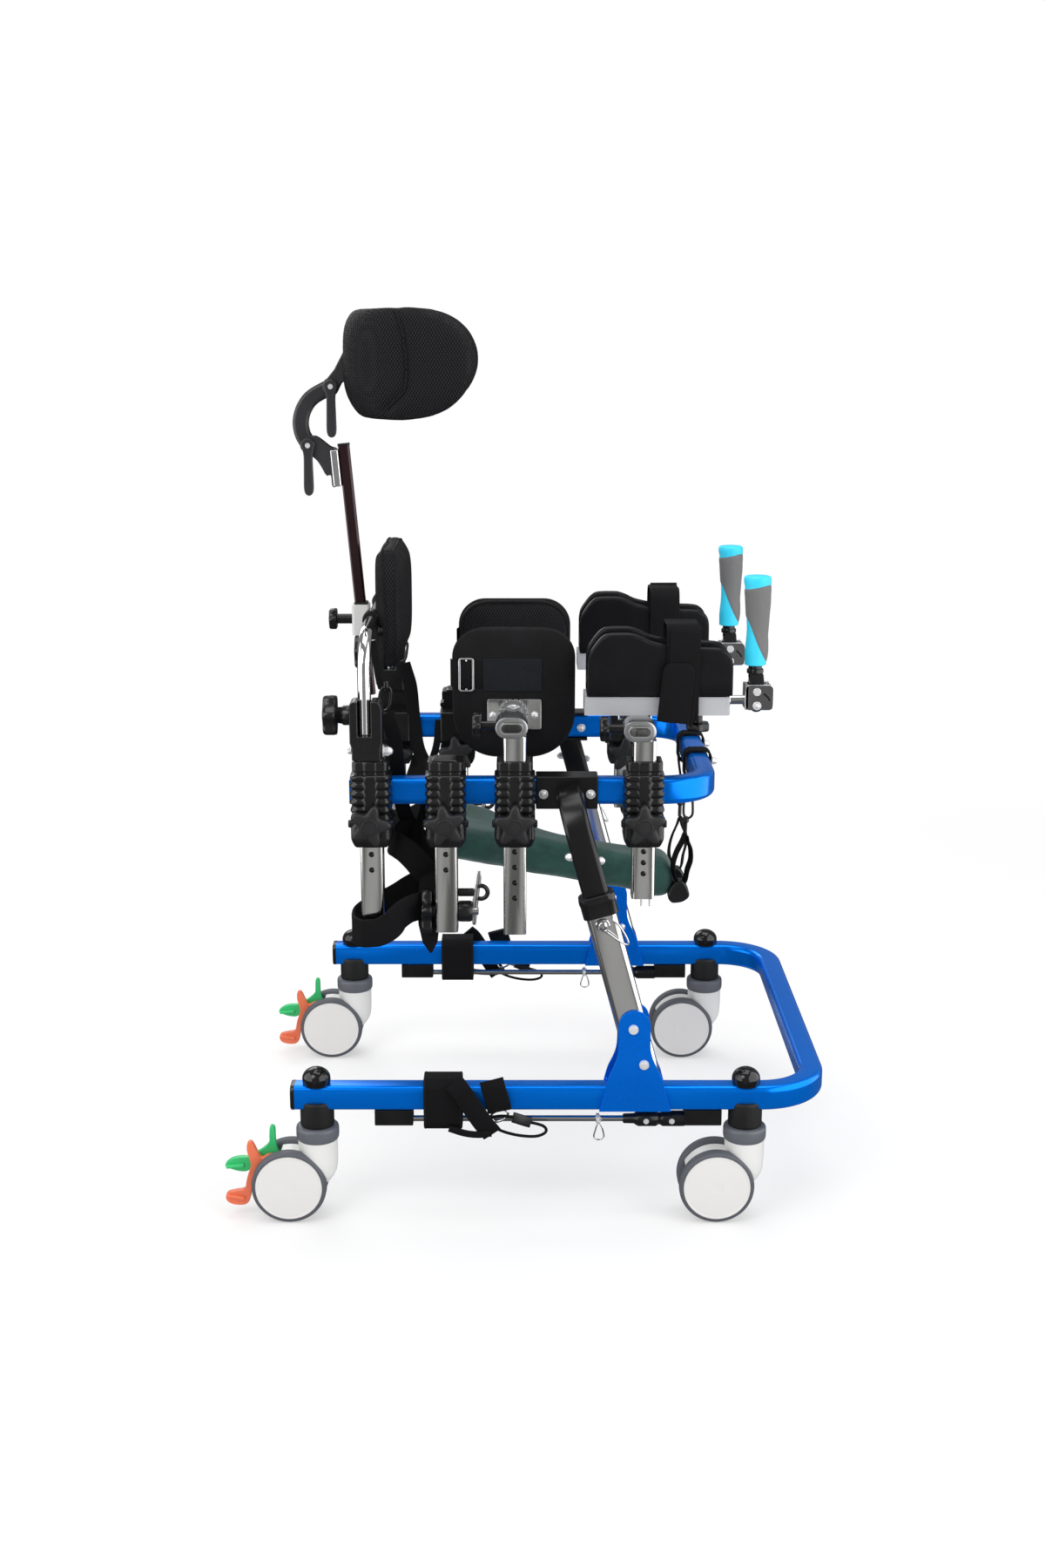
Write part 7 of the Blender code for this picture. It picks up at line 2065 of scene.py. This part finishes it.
@dataclass
class BackCushion(Cushion):
    """Contoured back cushion: a rounded slab whose sides bow forward."""

    def build(self) -> None:
        """Make the cushion and its piping."""
        outline = rounded_rect(229, 168, 46, 14, (0, 788))

        def place(y: np.ndarray, z: np.ndarray, depth: np.ndarray) -> np.ndarray:
            """Bow the slab forward toward its sides, by the square of the distance from its middle."""
            bow = 5.5 * (y / 117) ** 2 - 1.5
            return np.stack([77.4 + depth * 0.93 + bow, y, z], -1)

        rows = [
            (0, 70), (0, 30), (0, 8), (2.5, 2.5), (8, 0), (14, 0), (20, 0), (26, 3.5), (30, 10), (32, 22),
            (32.6, 45), (32.8, 70)]
        pad = self.grow(Shell().grid(slab(outline, rows, place)), MESH, ("back_pad",))
        for label, depth, size in (("rear", 2, 2.2), ("front", 27, 1.5)):
            loop = hug(
                spline(place(outline[:, 0], outline[:, 1], np.full(len(outline), depth)), 170, closed=True),
                pad)
            self.add(
                f"back_cushion_piping_{label}", Shell().tube(loop, size, 12, up=X_AXIS, loop=True), PIPING)


@dataclass
class HeadCushion(Cushion):
    """Wrap-around head cushion: a tall oval section carried round a U, whose wings taper to round tips."""

    rear: float = 32.0
    front: float = 212.0
    bend: float = 140.0
    half_width: float = 127.0
    half_height: float = 76.0
    thickness: float = 46.0
    centre_z: float = 1113.0

    def build(self) -> None:
        """Make the cushion and the seams where each wing meets the middle."""
        thick = self.thickness / 2
        reach, rear = self.half_width - thick, self.rear + thick
        straight = self.front - self.bend
        s = np.array([1, 0.985, 0.95, 0.88, 0.78, 0.62, 0.45, 0.3, 0.15])
        turn = np.radians(np.linspace(-90, 90, 45))
        x = np.concatenate(
            [
                self.bend + straight * s, self.bend - (self.bend - rear) * np.cos(turn),
                self.bend + straight * s[::-1]])
        y = np.concatenate([np.full(9, -reach), reach * np.sin(turn), np.full(9, reach)])
        normal = np.stack(
            [
                np.concatenate([np.zeros(9), -np.cos(turn) / (self.bend - rear), np.zeros(9)]),
                np.concatenate([np.full(9, -1), np.sin(turn) / reach, np.full(9, 1)])],
            -1)
        normal = unit(normal)
        wing = np.clip((x - 75) / (self.front - 75), 0, 1)
        tall = self.half_height * np.clip(1 - wing ** 3.2, 0, 1) ** (1 / 1.9)
        tip = np.clip((wing - 0.82) / 0.18, 0, 1)
        half = thick * np.sqrt(np.clip(1 - 0.93 * tip ** 2, 0.05, 1))
        tall = np.maximum(tall, self.half_height * 0.16)
        angle = turns(48)
        a, b = squared(np.cos(angle), 0.72), squared(np.sin(angle), 0.55)
        out = half[:, None] * a[None]
        lean = 15 * np.clip((-b - 0.35) / 0.65, 0, 1) ** 1.4 + 9 * np.clip((b - 0.45) / 0.55, 0, 1) ** 2
        px = x[:, None] + normal[:, :1] * out + lean[None] * (1 - wing[:, None])
        py = y[:, None] + normal[:, 1:] * out
        pz = self.centre_z + 3 * wing[:, None] + tall[:, None] * b[None]
        self.grow(Shell().grid(np.stack([px, py, pz], -1)), MESH, ("headrest_pad",), self.seams())

    def seams(self) -> list[tuple]:
        """Sewn channels: one across each wing's outer face."""
        route = [
            (106, 108, 1184), (112, 122, 1172), (116, 126, 1158), (122, 127, 1127), (121.5, 127, 1087),
            (106, 126, 1067), (86, 122, 1050)]
        return [(spline(mirrored(route, side), 110), 4, 7) for side in (-1, 1)]


@dataclass
class TrunkCushion(Cushion):
    """Side cushion: wide round corners below, tighter ones above, with a smooth outer cover and piping."""

    side: float = -1.0
    tag: str = "right"
    face: float = 145.0
    depth: float = 36.0

    def outline(self, inset: float = 0.0) -> np.ndarray:
        """Outline in the side view, drawn in by an inset."""
        low, high, left, right = 594 + inset, 773.5 - inset, 177 + inset, 345.5 - inset
        top, foot = 40 - inset * 0.5, 62 - inset * 0.5
        return np.concatenate(
            [
                arc((right - foot, low + foot), foot, -90, 0, 14),
                arc((right - top, high - top), top, 0, 90, 12),
                arc((left + top, high - top), top, 90, 180, 12),
                arc((left + foot, low + foot), foot, 180, 270, 14)])

    def build(self) -> None:
        """Make the cushion, the cover and patch on its outer face, the piping, the strap ring and its tab."""

        def place(x: np.ndarray, z: np.ndarray, depth: np.ndarray) -> np.ndarray:
            """Depth runs inward from the outer face."""
            return np.stack([x, self.side * (self.face - depth), z], -1)

        rows = [
            (6.5, 70), (6.5, 30), (6.5, 10), (7.6, 4), (10, 1), (15, 0), (20, 0), (26, 3), (30, 9),
            (32.4, 20), (33.4, 42), (33.6, 68)]
        pad = self.grow(Shell().grid(slab(self.outline(3), rows, place)), MESH, (f"trunk_pad_{self.tag}",))
        cover = [(0.6, 70), (0, 45), (0, 20), (1, 9), (3.4, 3), (7.5, 1), (10.5, 3), (10.5, 60)]
        piece = self.add("trunk_cover", Shell().grid(slab(self.outline(1), cover, place)), VINYL)
        patch = Shell().plate(rounded_rect(78, 44, 2, 4, (260, 709.5)), self.side * 144, self.side * 146.4)
        self.add("trunk_patch", patch, SATIN, bevel=0.8)
        for label, depth, size in (("outer", 5, 2.9), ("inner", 29, 2.6)):
            edge = spline(self.outline(2.2), 170, closed=True)
            loop = hug(place(edge[:, 0], edge[:, 1], np.full(len(edge), depth)), pad)
            self.add(f"trunk_piping_{label}", Shell().tube(loop, size, 12, up=Y_AXIS, loop=True), PIPING)
        y = self.side * (self.face + 2.4)
        x, z = 198, 710
        wire = Shell().sweep(
            rounded_rect(2.8, 1.8, 0.8, 3), lift(rounded_rect(18, 43, 2.6, 4, (x, z)), y), up=Y_AXIS,
            loop=True)
        self.add("strap_ring", wire, CHROME)
        self.add("strap_ring_bar", Shell().rod((x, y, z - 20.5), (x, y, z + 20.5), 1.3, 0.3, 12), CHROME)
        tab = [
            (x - 21, y - self.side * 22, z), (x - 18.5, y - self.side * 10, z),
            (x - 12, y - self.side * 1.8, z), (x, y + self.side * 0.8, z), (x + 7, y - self.side * 2, z),
            (x + 24, y - self.side * 2.4, z)]
        self.ribbon("strap_tab", tab, 37, 1.8, (0, 0, 1), 30)


@dataclass
class Saddle(Cushion):
    """Green saddle on its webbing, with bands, carabiners and keepers."""

    def build(self) -> None:
        """Make the seat, the sewn channels along its edges, and the straps."""
        stations = np.array(
            [
                (140, 476, 448, 64), (146, 483, 440, 80), (170, 484.6, 432, 90), (194, 481, 427, 92),
                (220, 474.6, 420, 84), (245, 467, 412, 67), (280, 457.5, 400, 48), (323, 444.7, 392, 41),
                (385, 433.7, 380, 40), (421, 427, 376, 46), (461, 424, 364, 48), (481, 418.8, 365, 41),
                (490, 404, 378, 30)],
            float)
        fine = spline(stations, 70)
        angle = turns(64)
        a, b = squared(np.cos(angle), 0.45), squared(np.sin(angle), np.where(np.sin(angle) > 0, 0.34, 0.62))
        middle, tall = (fine[:, 1] + fine[:, 2]) / 2, (fine[:, 1] - fine[:, 2]) / 2 - 1.5
        half = fine[:, 3] - 2.5
        dish = 7 * (1 - np.abs(a)[None] ** 1.5) * (b > 0)[None] * np.exp(-((fine[:, :1] - 190) / 60) ** 2)
        points = np.stack(
            [
                np.broadcast_to(fine[:, :1], (70, 64)), half[:, None] * a[None],
                middle[:, None] + tall[:, None] * b[None] - dish],
            -1)
        seams = []
        for side in (-1, 1):
            edge = spline([(x, side * h, t - 9) for x, t, _, h in stations[1:-1]], 120)
            seams.append((edge, 1.6, 2.2))
        self.grow(Shell().grid(points), GREEN_CLOTH, ("saddle",), seams)
        self.front_straps()
        self.rear_straps()
        self.thigh_straps()

    def band(self, name: str, x: float, y: float, along: np.ndarray, width: float = 25.0) -> None:
        """Strap closed round the upper rail.

        Args:
            name: name of the piece.
            x: place along the walker.
            y: place across it.
            along: direction of the rail there.
            width: width of the strap.
        """
        loop = rounded_rect(36.4, 41.4, 9.5, 6)
        cross = np.cross(along, Z_AXIS)
        path = np.array([x, y, UPPER_Z]) + loop[:, :1] * cross + loop[:, 1:] * Z_AXIS
        self.add(
            name, Shell().sweep(rounded_rect(width, 2.6, 1.1, 3), path, across=along, loop=True), STRAP)

    def carabiner(self, centre: tuple[float, float, float], tilt: float, size: float = 1.0) -> Shell:
        """Snap link: a rounded wire loop with a gate and a swivel eye above it.

        Args:
            centre: middle of the link.
            tilt: lean in degrees in the side view.
            size: scale of the link.

        Returns:
            Shell with the loop, the gate and the eye.
        """
        turn = math.radians(tilt)
        shape = spline(
            [(0, 17), (6.5, 13), (7.5, 3), (6.5, -10), (0, -15), (-6, -10), (-6.5, 2), (-5, 12)], 60,
            closed=True) * size
        x = centre[0] + shape[:, 0] * math.cos(turn) - shape[:, 1] * math.sin(turn)
        z = centre[2] + shape[:, 0] * math.sin(turn) + shape[:, 1] * math.cos(turn)
        shell = Shell().tube(
            np.stack([x, np.full(60, centre[1]), z], -1), 1.9 * size, 12, up=Y_AXIS, loop=True)
        top = np.array(
            [centre[0] - 19 * math.sin(turn) * size, centre[1], centre[2] + 19 * math.cos(turn) * size])
        shell.rod(tuple(top - (0, 0, 4)), tuple(top + (0, 0, 5)), 3.6 * size, 0.8, 16)
        return shell

    def front_straps(self) -> None:
        """Bands on the front rail, links below them, and loops of webbing to a folded keeper at the nose."""
        shape = [
            (503.4, 463.5), (506.5, 453), (511, 441), (512, 424), (508, 408), (505.2, 392), (499, 383.5),
            (493.4, 390), (488.2, 404), (487.6, 418), (491.6, 435), (499, 452)]
        fold = [
            (481, 367), (486, 359.5), (493, 358.8), (503, 361), (511, 368), (510, 378), (502, 391),
            (491, 389), (483, 378)]
        for name, side in SIDES.items():
            y = side * 55
            self.band(f"front_band_{name}", 517, y, Y_AXIS)
            self.add(f"front_band_nut_{name}", bolted(Shell(), [(535.4, y, 571)], X_AXIS, 5.2, 10), ZINC)
            drop = [(500.4, y, 556), (500.4, y, 546), (502.5, side * 54, 530), (505, side * 52, 515)]
            self.ribbon(f"front_drop_{name}", drop, 20, count=20)
            link = self.carabiner((505.8, side * 51, 501), 2, 0.92)
            link.rod((503.6, side * 49, 489), (503.2, side * 49, 480), 4.6, 1.8, 16)
            link.rod((503.2, side * 49, 481), (502.8, side * 48, 464), 2.6, 0.6, 16)
            self.add(f"front_link_{name}", link, NYLON)
            loop = [(x, side * (32 + 0.2 * (z - 382)), z) for x, z in shape]
            self.ribbon(f"front_webbing_{name}", loop, 15, 2, (0.3 * side, 0.95, 0), 80, True)
            keeper = Shell().plate(spline(np.array(fold, float), 48, closed=True), side * 22, side * 42)
            self.add(f"front_keeper_{name}", keeper, NYLON, bevel=2.4, segments=3)

    def rear_straps(self) -> None:
        """Webbing from links under the back cushion, down inside the rails and forward to the saddle."""
        for name, side in SIDES.items():
            hip = mirrored(
                [
                    (94, 184, 666), (98, 185.5, 652), (104, 186, 628), (108, 186.5, 580), (114, 186, 535),
                    (128, 183, 505), (140, 178, 480), (146, 160, 464), (150, 120, 460), (158, 84, 462)],
                side)
            stretch = ("upper", "back_lift", (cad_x(110), 0, 0.590), (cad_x(110), 0, 0.640))
            self.ribbon(f"hip_strap_{name}", hip, 20, 2.6, (1, 0, 0.12), 70, body=stretch)
            second = mirrored(
                [(146, 187.5, 578), (143, 186.5, 545), (137, 186, 522), (128, 187, 502), (122, 190, 484)],
                side)
            self.ribbon(f"hip_strap_inner_{name}", second, 11, 2.2, (1, 0, 0.2), 50)
            link = self.carabiner((91, side * 184, 684), -8, 1.05)
            self.add(f"rear_link_{name}", link, NYLON, body="back_lift")
            hanger = mirrored([(76, 170, 760), (80, 178, 740), (84, 183, 715), (88, 184, 699)], side)
            self.ribbon(f"rear_hanger_{name}", hanger, 10, 2.2, (1, 0, 0.3), 24, body="back_lift")
            loop = mirrored(
                [
                    (101, 213, 498), (108, 224, 496), (120, 225, 488), (132, 221, 474), (143, 214, 457),
                    (155, 204, 443), (160, 191, 442), (152, 182, 453), (139, 180, 476), (126, 182, 499),
                    (114, 190, 507), (104, 201, 504)],
                side)
            piece = self.ribbon(f"hip_band_{name}", loop, 34, 4.6, (0.35, 0, 1), 80, True)

    def thigh_straps(self) -> None:
        """Padded loops that hang round the feet of the rear posts, each with a pointed tail."""
        route = [
            (50, 245, 389), (59, 262, 387), (72, 267, 388), (87, 267, 390.5), (101.5, 264, 399),
            (111, 258, 408.5), (124, 248, 415), (139, 234, 416), (152, 222, 418), (157, 210, 426),
            (145, 201, 438), (126, 201, 431), (107, 205, 420), (88, 210, 411), (64, 217, 400),
            (52, 228, 393)]
        tail = [(150, 206, 462), (150, 222, 440), (148, 232, 412), (149.5, 236, 380), (151, 237, 351)]
        scale = np.interp(np.arange(40), [0, 26, 34, 39], [1, 1, 0.72, 0.10])
        for name, side in SIDES.items():
            piece = self.ribbon(f"thigh_loop_{name}", mirrored(route, side), 38, 5, (0, 0, 1), 110, True)
            self.ribbon(f"thigh_tail_{name}", mirrored(tail, side), 28, 3.2, (1, 0, 0), 40, scale=scale)


@dataclass
class AnkleGuide(Sided):
    """Rod under a lower rail, with its blocks, barrel, padded strap, tether, snap hook and wire clip."""

    rod_z: float = 137.5
    rod_ends: tuple[float, float] = (120.0, 412.0)

    def beside(self, points: list[tuple], y: float, out: float) -> list[tuple]:
        """Put (x, share, z) points that share of a distance outward from one y."""
        return [(x, y + self.side * out * share, z) for x, share, z in points]

    def build(self) -> None:
        """Make the hardware, then the straps and the tether."""
        y, z = self.side * HALF_TRACK, self.rod_z
        blocks = Shell()
        for start, end in ((77, 128), (487, 537)):
            blocks.block((start, y - 12, 131.8), (end, y + 12, 153.7), 2)
        self.add("guide_blocks", blocks, NYLON, bevel=1, replaces=(f"ankle_rod_{self.name}",))
        rear, front = ((x, y, z) for x in self.rod_ends)
        self.add("guide_rod", Shell().rod(rear, front, 4, 0.3, 24), ALUMINIUM)
        profile = [
            (0, 406.5), (5.4, 406.5), (6.6, 408), (6.9, 421), (9, 424), (10.5, 427), (10.5, 450),
            (9.4, 452), (8.2, 453.5), (8.2, 456), (9.6, 457.6), (10.5, 460), (10.5, 488), (0, 488)]
        barrel = Shell().revolve(profile, (0, y, z), X_AXIS, 40)
        self.add("guide_barrel", barrel, NYLON)
        screw = Shell()
        for x in (437, 471):
            screw.washer((x, y + self.side * 9.8, z), self.outward, 3.8, 1.6)
        self.add("guide_screws", screw, ZINC)
        self.ankle_strap(y)
        self.tether(y)
        self.clip(y, z)

    def ankle_strap(self, y: float) -> None:
        """Broad padded strap round rail and rod, and the band that crosses it slantwise with its tail."""
        path = upright(rounded_rect(41, 66.6, 11, 6, (y, 163.6)), 168)
        wrap = self.add(
            "ankle_wrap", Shell().sweep(rounded_rect(51, 4.4, 1.8, 4), path, across=X_AXIS, loop=True),
            STRAP, replaces=(f"ankle_strap_{self.name}",))
        edge = Shell()
        rim = rounded_rect(43.2, 68.8, 12, 6, (y, 163.6))
        for x in (144.5, 191.5):
            edge.tube(upright(rim, x), 1.5, 10, up=X_AXIS, loop=True)
        self.add("ankle_wrap_edges", edge, PIPING)
        slant = spline(
            self.beside(
                [(182, 0.9, 199), (192, 1.12, 188), (206, 1.14, 166), (221, 1.12, 143), (233, 0.98, 126)],
                y, 25),
            40)
        self.add(
            "ankle_cross_band",
            Shell().sweep(rounded_rect(27, 3, 1.2, 3), slant, across=unit(np.array([0.84, 0, 0.54]))),
            STRAP)
        fold = spline(
            self.beside([(176, 1, 134), (196, 1.1, 128.5), (214, 1.15, 126.8), (232, 1.05, 127.6)], y, 25),
            24)
        self.add("ankle_fold", Shell().sweep(rounded_rect(5, 9, 2, 3), fold, up=Z_AXIS), STRAP)
        keeper = spline(
            self.beside([(232, 0.84, 201), (235, 1, 190), (240, 1, 172), (243, 0.9, 158)], y, 25), 16)
        band = self.add(
            "ankle_keeper",
            Shell().sweep(rounded_rect(32, 5, 2, 3), keeper, across=unit(np.array([0.97, 0, 0.25]))), STRAP)

    def tether(self, y: float) -> None:
        """Elastic loop that runs along the rod, with a sleeve and a small snap hook."""
        route = [
            (222, 1, 141), (240, 1.1, 148), (258, 1.1, 147), (278, 1, 140), (300, 0.9, 133),
            (304, 0.9, 124.5), (292, 1, 119), (272, 1, 119.5), (252, 1, 124), (236, 1, 131), (226, 1, 137)]
        loop = spline(self.beside(route, y, 16), 110, closed=True)
        self.add("tether_loop", Shell().tube(loop, 2, 12, up=Y_AXIS, loop=True), STRAP)
        sleeve = Shell().sweep(
            rounded_rect(14, 6.4, 2.4, 4), loop[24:40], across=unit(np.array([0, 0.35, 1])))
        self.add("tether_sleeve", sleeve, NYLON)
        y += self.side * 16
        hook = np.array([(232, 150), (246, 157), (254, 152), (248, 143), (236, 140)])
        shell = Shell().tube(spline(lift(hook, y), 50, closed=True), 1.7, 12, up=Y_AXIS, loop=True)
        shell.rod((252, y, 147), (264, y, 143), 2.6, 0.6, 16)
        self.add("tether_hook", shell, CHROME)

    def clip(self, y: float, z: float) -> None:
        """Wire safety clip that hangs from the rod."""
        bends = np.array(
            [
                (373, 6), (378, 1), (373, -5), (370, -14), (368, -24), (374, -28), (381, -24), (379, -12),
                (375, -4), (370, 2), (374, 7)],
            float)
        wire = spline(lift(bends + (0, z), y + self.side * 6), 80)
        self.add("wire_clip", Shell().tube(wire, 0.9, 10, up=Y_AXIS), CHROME)
        ring = Shell().revolve(
            [(4.1, -2.2), (6.6, -2.2), (6.8, -1.6), (6.8, 1.6), (6.6, 2.2), (4.1, 2.2)], (373, y, z),
            X_AXIS, 32)
        self.add("clip_collar", ring, ZINC)


# Studio


class Lamp(Enum):
    """Soft lamps: place, aim and size in metres, and power in watts."""

    KEY = ((-1.6, -2.2, 2.9), (0.0, 0.0, 0.6), 1.8, 38.0)
    FILL = ((2.3, -1.6, 1.6), (0.1, 0.0, 0.6), 1.6, 24.0)
    TOP = ((0.1, 0.3, 3.2), (0.0, 0.0, 0.5), 2.2, 34.0)
    RIM = ((-1.2, 2.4, 1.9), (0.0, 0.0, 0.7), 1.6, 20.0)


class PaintedReflectionCard(Enum):
    """Upright glowing sheets that paint reflections, in metres: first corner's X and Y, low and high Z,
    second corner's X and Y.
    """

    LEFT_CARD = (-1.35, -2.6, 0.0, 2.2, -1.6, 0.4)
    RIGHT_CARD = (1.35, -2.6, 0.0, 2.2, 1.6, 0.4)


@dataclass
class Studio:
    """Camera at the photograph's angle, lamps, white world, and a pale floor."""

    camera_place: tuple[float, float, float] = (-0.0045, -2.640, 1.175)
    camera_tilt: float = 76.15
    lens: float = 43.64
    world_strength: float = 0.62
    painted_reflection_world: float = 0.24

    def build(self) -> None:
        """Set up everything around the walker."""
        scene = bpy.context.scene
        data = bpy.data.cameras.new("camera")
        data.lens = self.lens
        data.sensor_width = 36.0
        camera = bpy.data.objects.new("camera", data)
        camera.location = self.camera_place
        camera.rotation_euler = (math.radians(self.camera_tilt), 0.0, 0.0)
        scene.collection.objects.link(camera)
        scene.camera = camera
        scene.view_settings.view_transform = "Standard"
        for lamp in Lamp:
            self.lamp(lamp)
        self.world()
        reach = 60000.0
        corners = [[(x, y, -0.5) for x in (-reach, reach)] for y in (-reach, reach)]
        self.sheet("floor", corners, FLOOR)
        for card in PaintedReflectionCard:
            self.card(card)

    def sheet(self, name: str, corners: list, finish: Finish) -> bpy.types.Object:
        """Add one flat sheet for the studio."""
        piece = placed(Shell().grid(np.array(corners), ring=False).mesh(name), finish)
        return piece

    def card(self, card: PaintedReflectionCard) -> None:
        """Add one upright glowing sheet that only reflections see: a painted reflection."""
        x, y, low, high, far_x, far_y = (v / MM for v in card.value)
        corners = [[(x, y, low), (x, y, high)], [(far_x, far_y, low), (far_x, far_y, high)]]
        piece = self.sheet(card.name.lower(), corners, PAINTED_REFLECTION_CARD)
        piece.visible_camera = False
        piece.visible_diffuse = False
        piece.visible_shadow = False
        piece.visible_transmission = False

    def lamp(self, lamp: Lamp) -> None:
        """Add one square area lamp aimed at a point."""
        place, aim, size, power = lamp.value
        data = bpy.data.lights.new(lamp.name.lower(), "AREA")
        data.energy = power
        data.size = size
        item = bpy.data.objects.new(lamp.name.lower(), data)
        item.location = place
        away = np.array(place) - np.array(aim)
        flat = float(np.hypot(away[0], away[1]))
        item.rotation_euler = (math.atan2(flat, away[2]), 0.0, math.atan2(away[1], away[0]) + math.pi / 2)
        bpy.context.scene.collection.objects.link(item)

    def world(self) -> None:
        """White for camera and transmission rays, a dimmer world for glossy rays as a painted darker
        reflection, and an even light for the rest.
        """
        world = bpy.data.worlds.new("studio")
        bpy.context.scene.world = world
        world.use_nodes = True
        tree = world.node_tree
        tree.nodes.clear()
        path = tree.nodes.new("ShaderNodeLightPath")
        seen = Value(tree, path.outputs["Is Camera Ray"])
        seen = seen.most(Value(tree, path.outputs["Is Transmission Ray"]))
        glossy = Value(tree, path.outputs["Is Glossy Ray"])
        # Painted reflection: glossy rays see the world at a lower strength than the light it gives, so metal
        # reflects a darker world.
        strength = seen * (1.0 - self.world_strength) + self.world_strength - glossy * (
            self.world_strength - self.painted_reflection_world)
        background = tree.nodes.new("ShaderNodeBackground")
        background.inputs["Color"].default_value = (1.0, 1.0, 1.0, 1.0)
        tree.links.new(strength.socket, background.inputs["Strength"])
        output = tree.nodes.new("ShaderNodeOutputWorld")
        tree.links.new(background.outputs["Background"], output.inputs["Surface"])


def dress_kept_nodes() -> None:
    """Give the finer finish to the nodes that stay as they are."""
    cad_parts["headrest_post"].material_slots[0].material = MAROON.material()


def main() -> None:
    """Build the walker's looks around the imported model."""
    logging.basicConfig(level=logging.INFO, format="%(name)s: %(message)s")
    Studio().build()
    BaseFrame("base").build()
    UpperFrame("upper").build()
    for name, side in SIDES.items():
        for end in ("rear", "front"):
            Caster(f"caster_{end}_{name}", name, end).build()
        Mast("base", name).build()
        for label, turn in (("back", 74.0), ("seat", 100.0), ("trunk", 89.0), ("arm", 92.0)):
            PostClamp("upper", name, label, turn).build()
        BackPost("back_lift", name, "back", 405.0, 614.0).build()
        SeatPost(f"seat_post_{name}", name, "seat", 385.0, 610.0).build()
        TrunkPost(f"trunk_post_{name}", name, "trunk", 382.0, 648.0, (495.6, 474.5, 453.4, 432.3)).build()
        ArmPost(f"arm_post_{name}", name, "arm", 431.0, 643.0, (496.0, 481.0, 466.0)).build()
        TrunkSupport(f"trunk_arm_{name}", name).build()
        ForearmSupport(f"arm_tray_{name}", name).build()
        AnkleGuide("base", name).build()
        TrunkCushion(f"trunk_arm_{name}", "trunk_cushion", 5.0, 5.0, 3.0, 0.8, side=side, tag=name).build()
    BackRest("back_rest").build()
    HeadSupport("headrest_lift").build()
    BackCushion("back_rest", "back_cushion", 5.0, 5.0).build()
    HeadCushion("headrest_pad", "head_cushion", 5.0, 6.0, welt=2.0).build()
    Saddle("upper", "saddle_seat", 4.5, 2.0, 2.0, 0.9, 1).build()
    dress_kept_nodes()


if __name__ == "__main__":
    main()
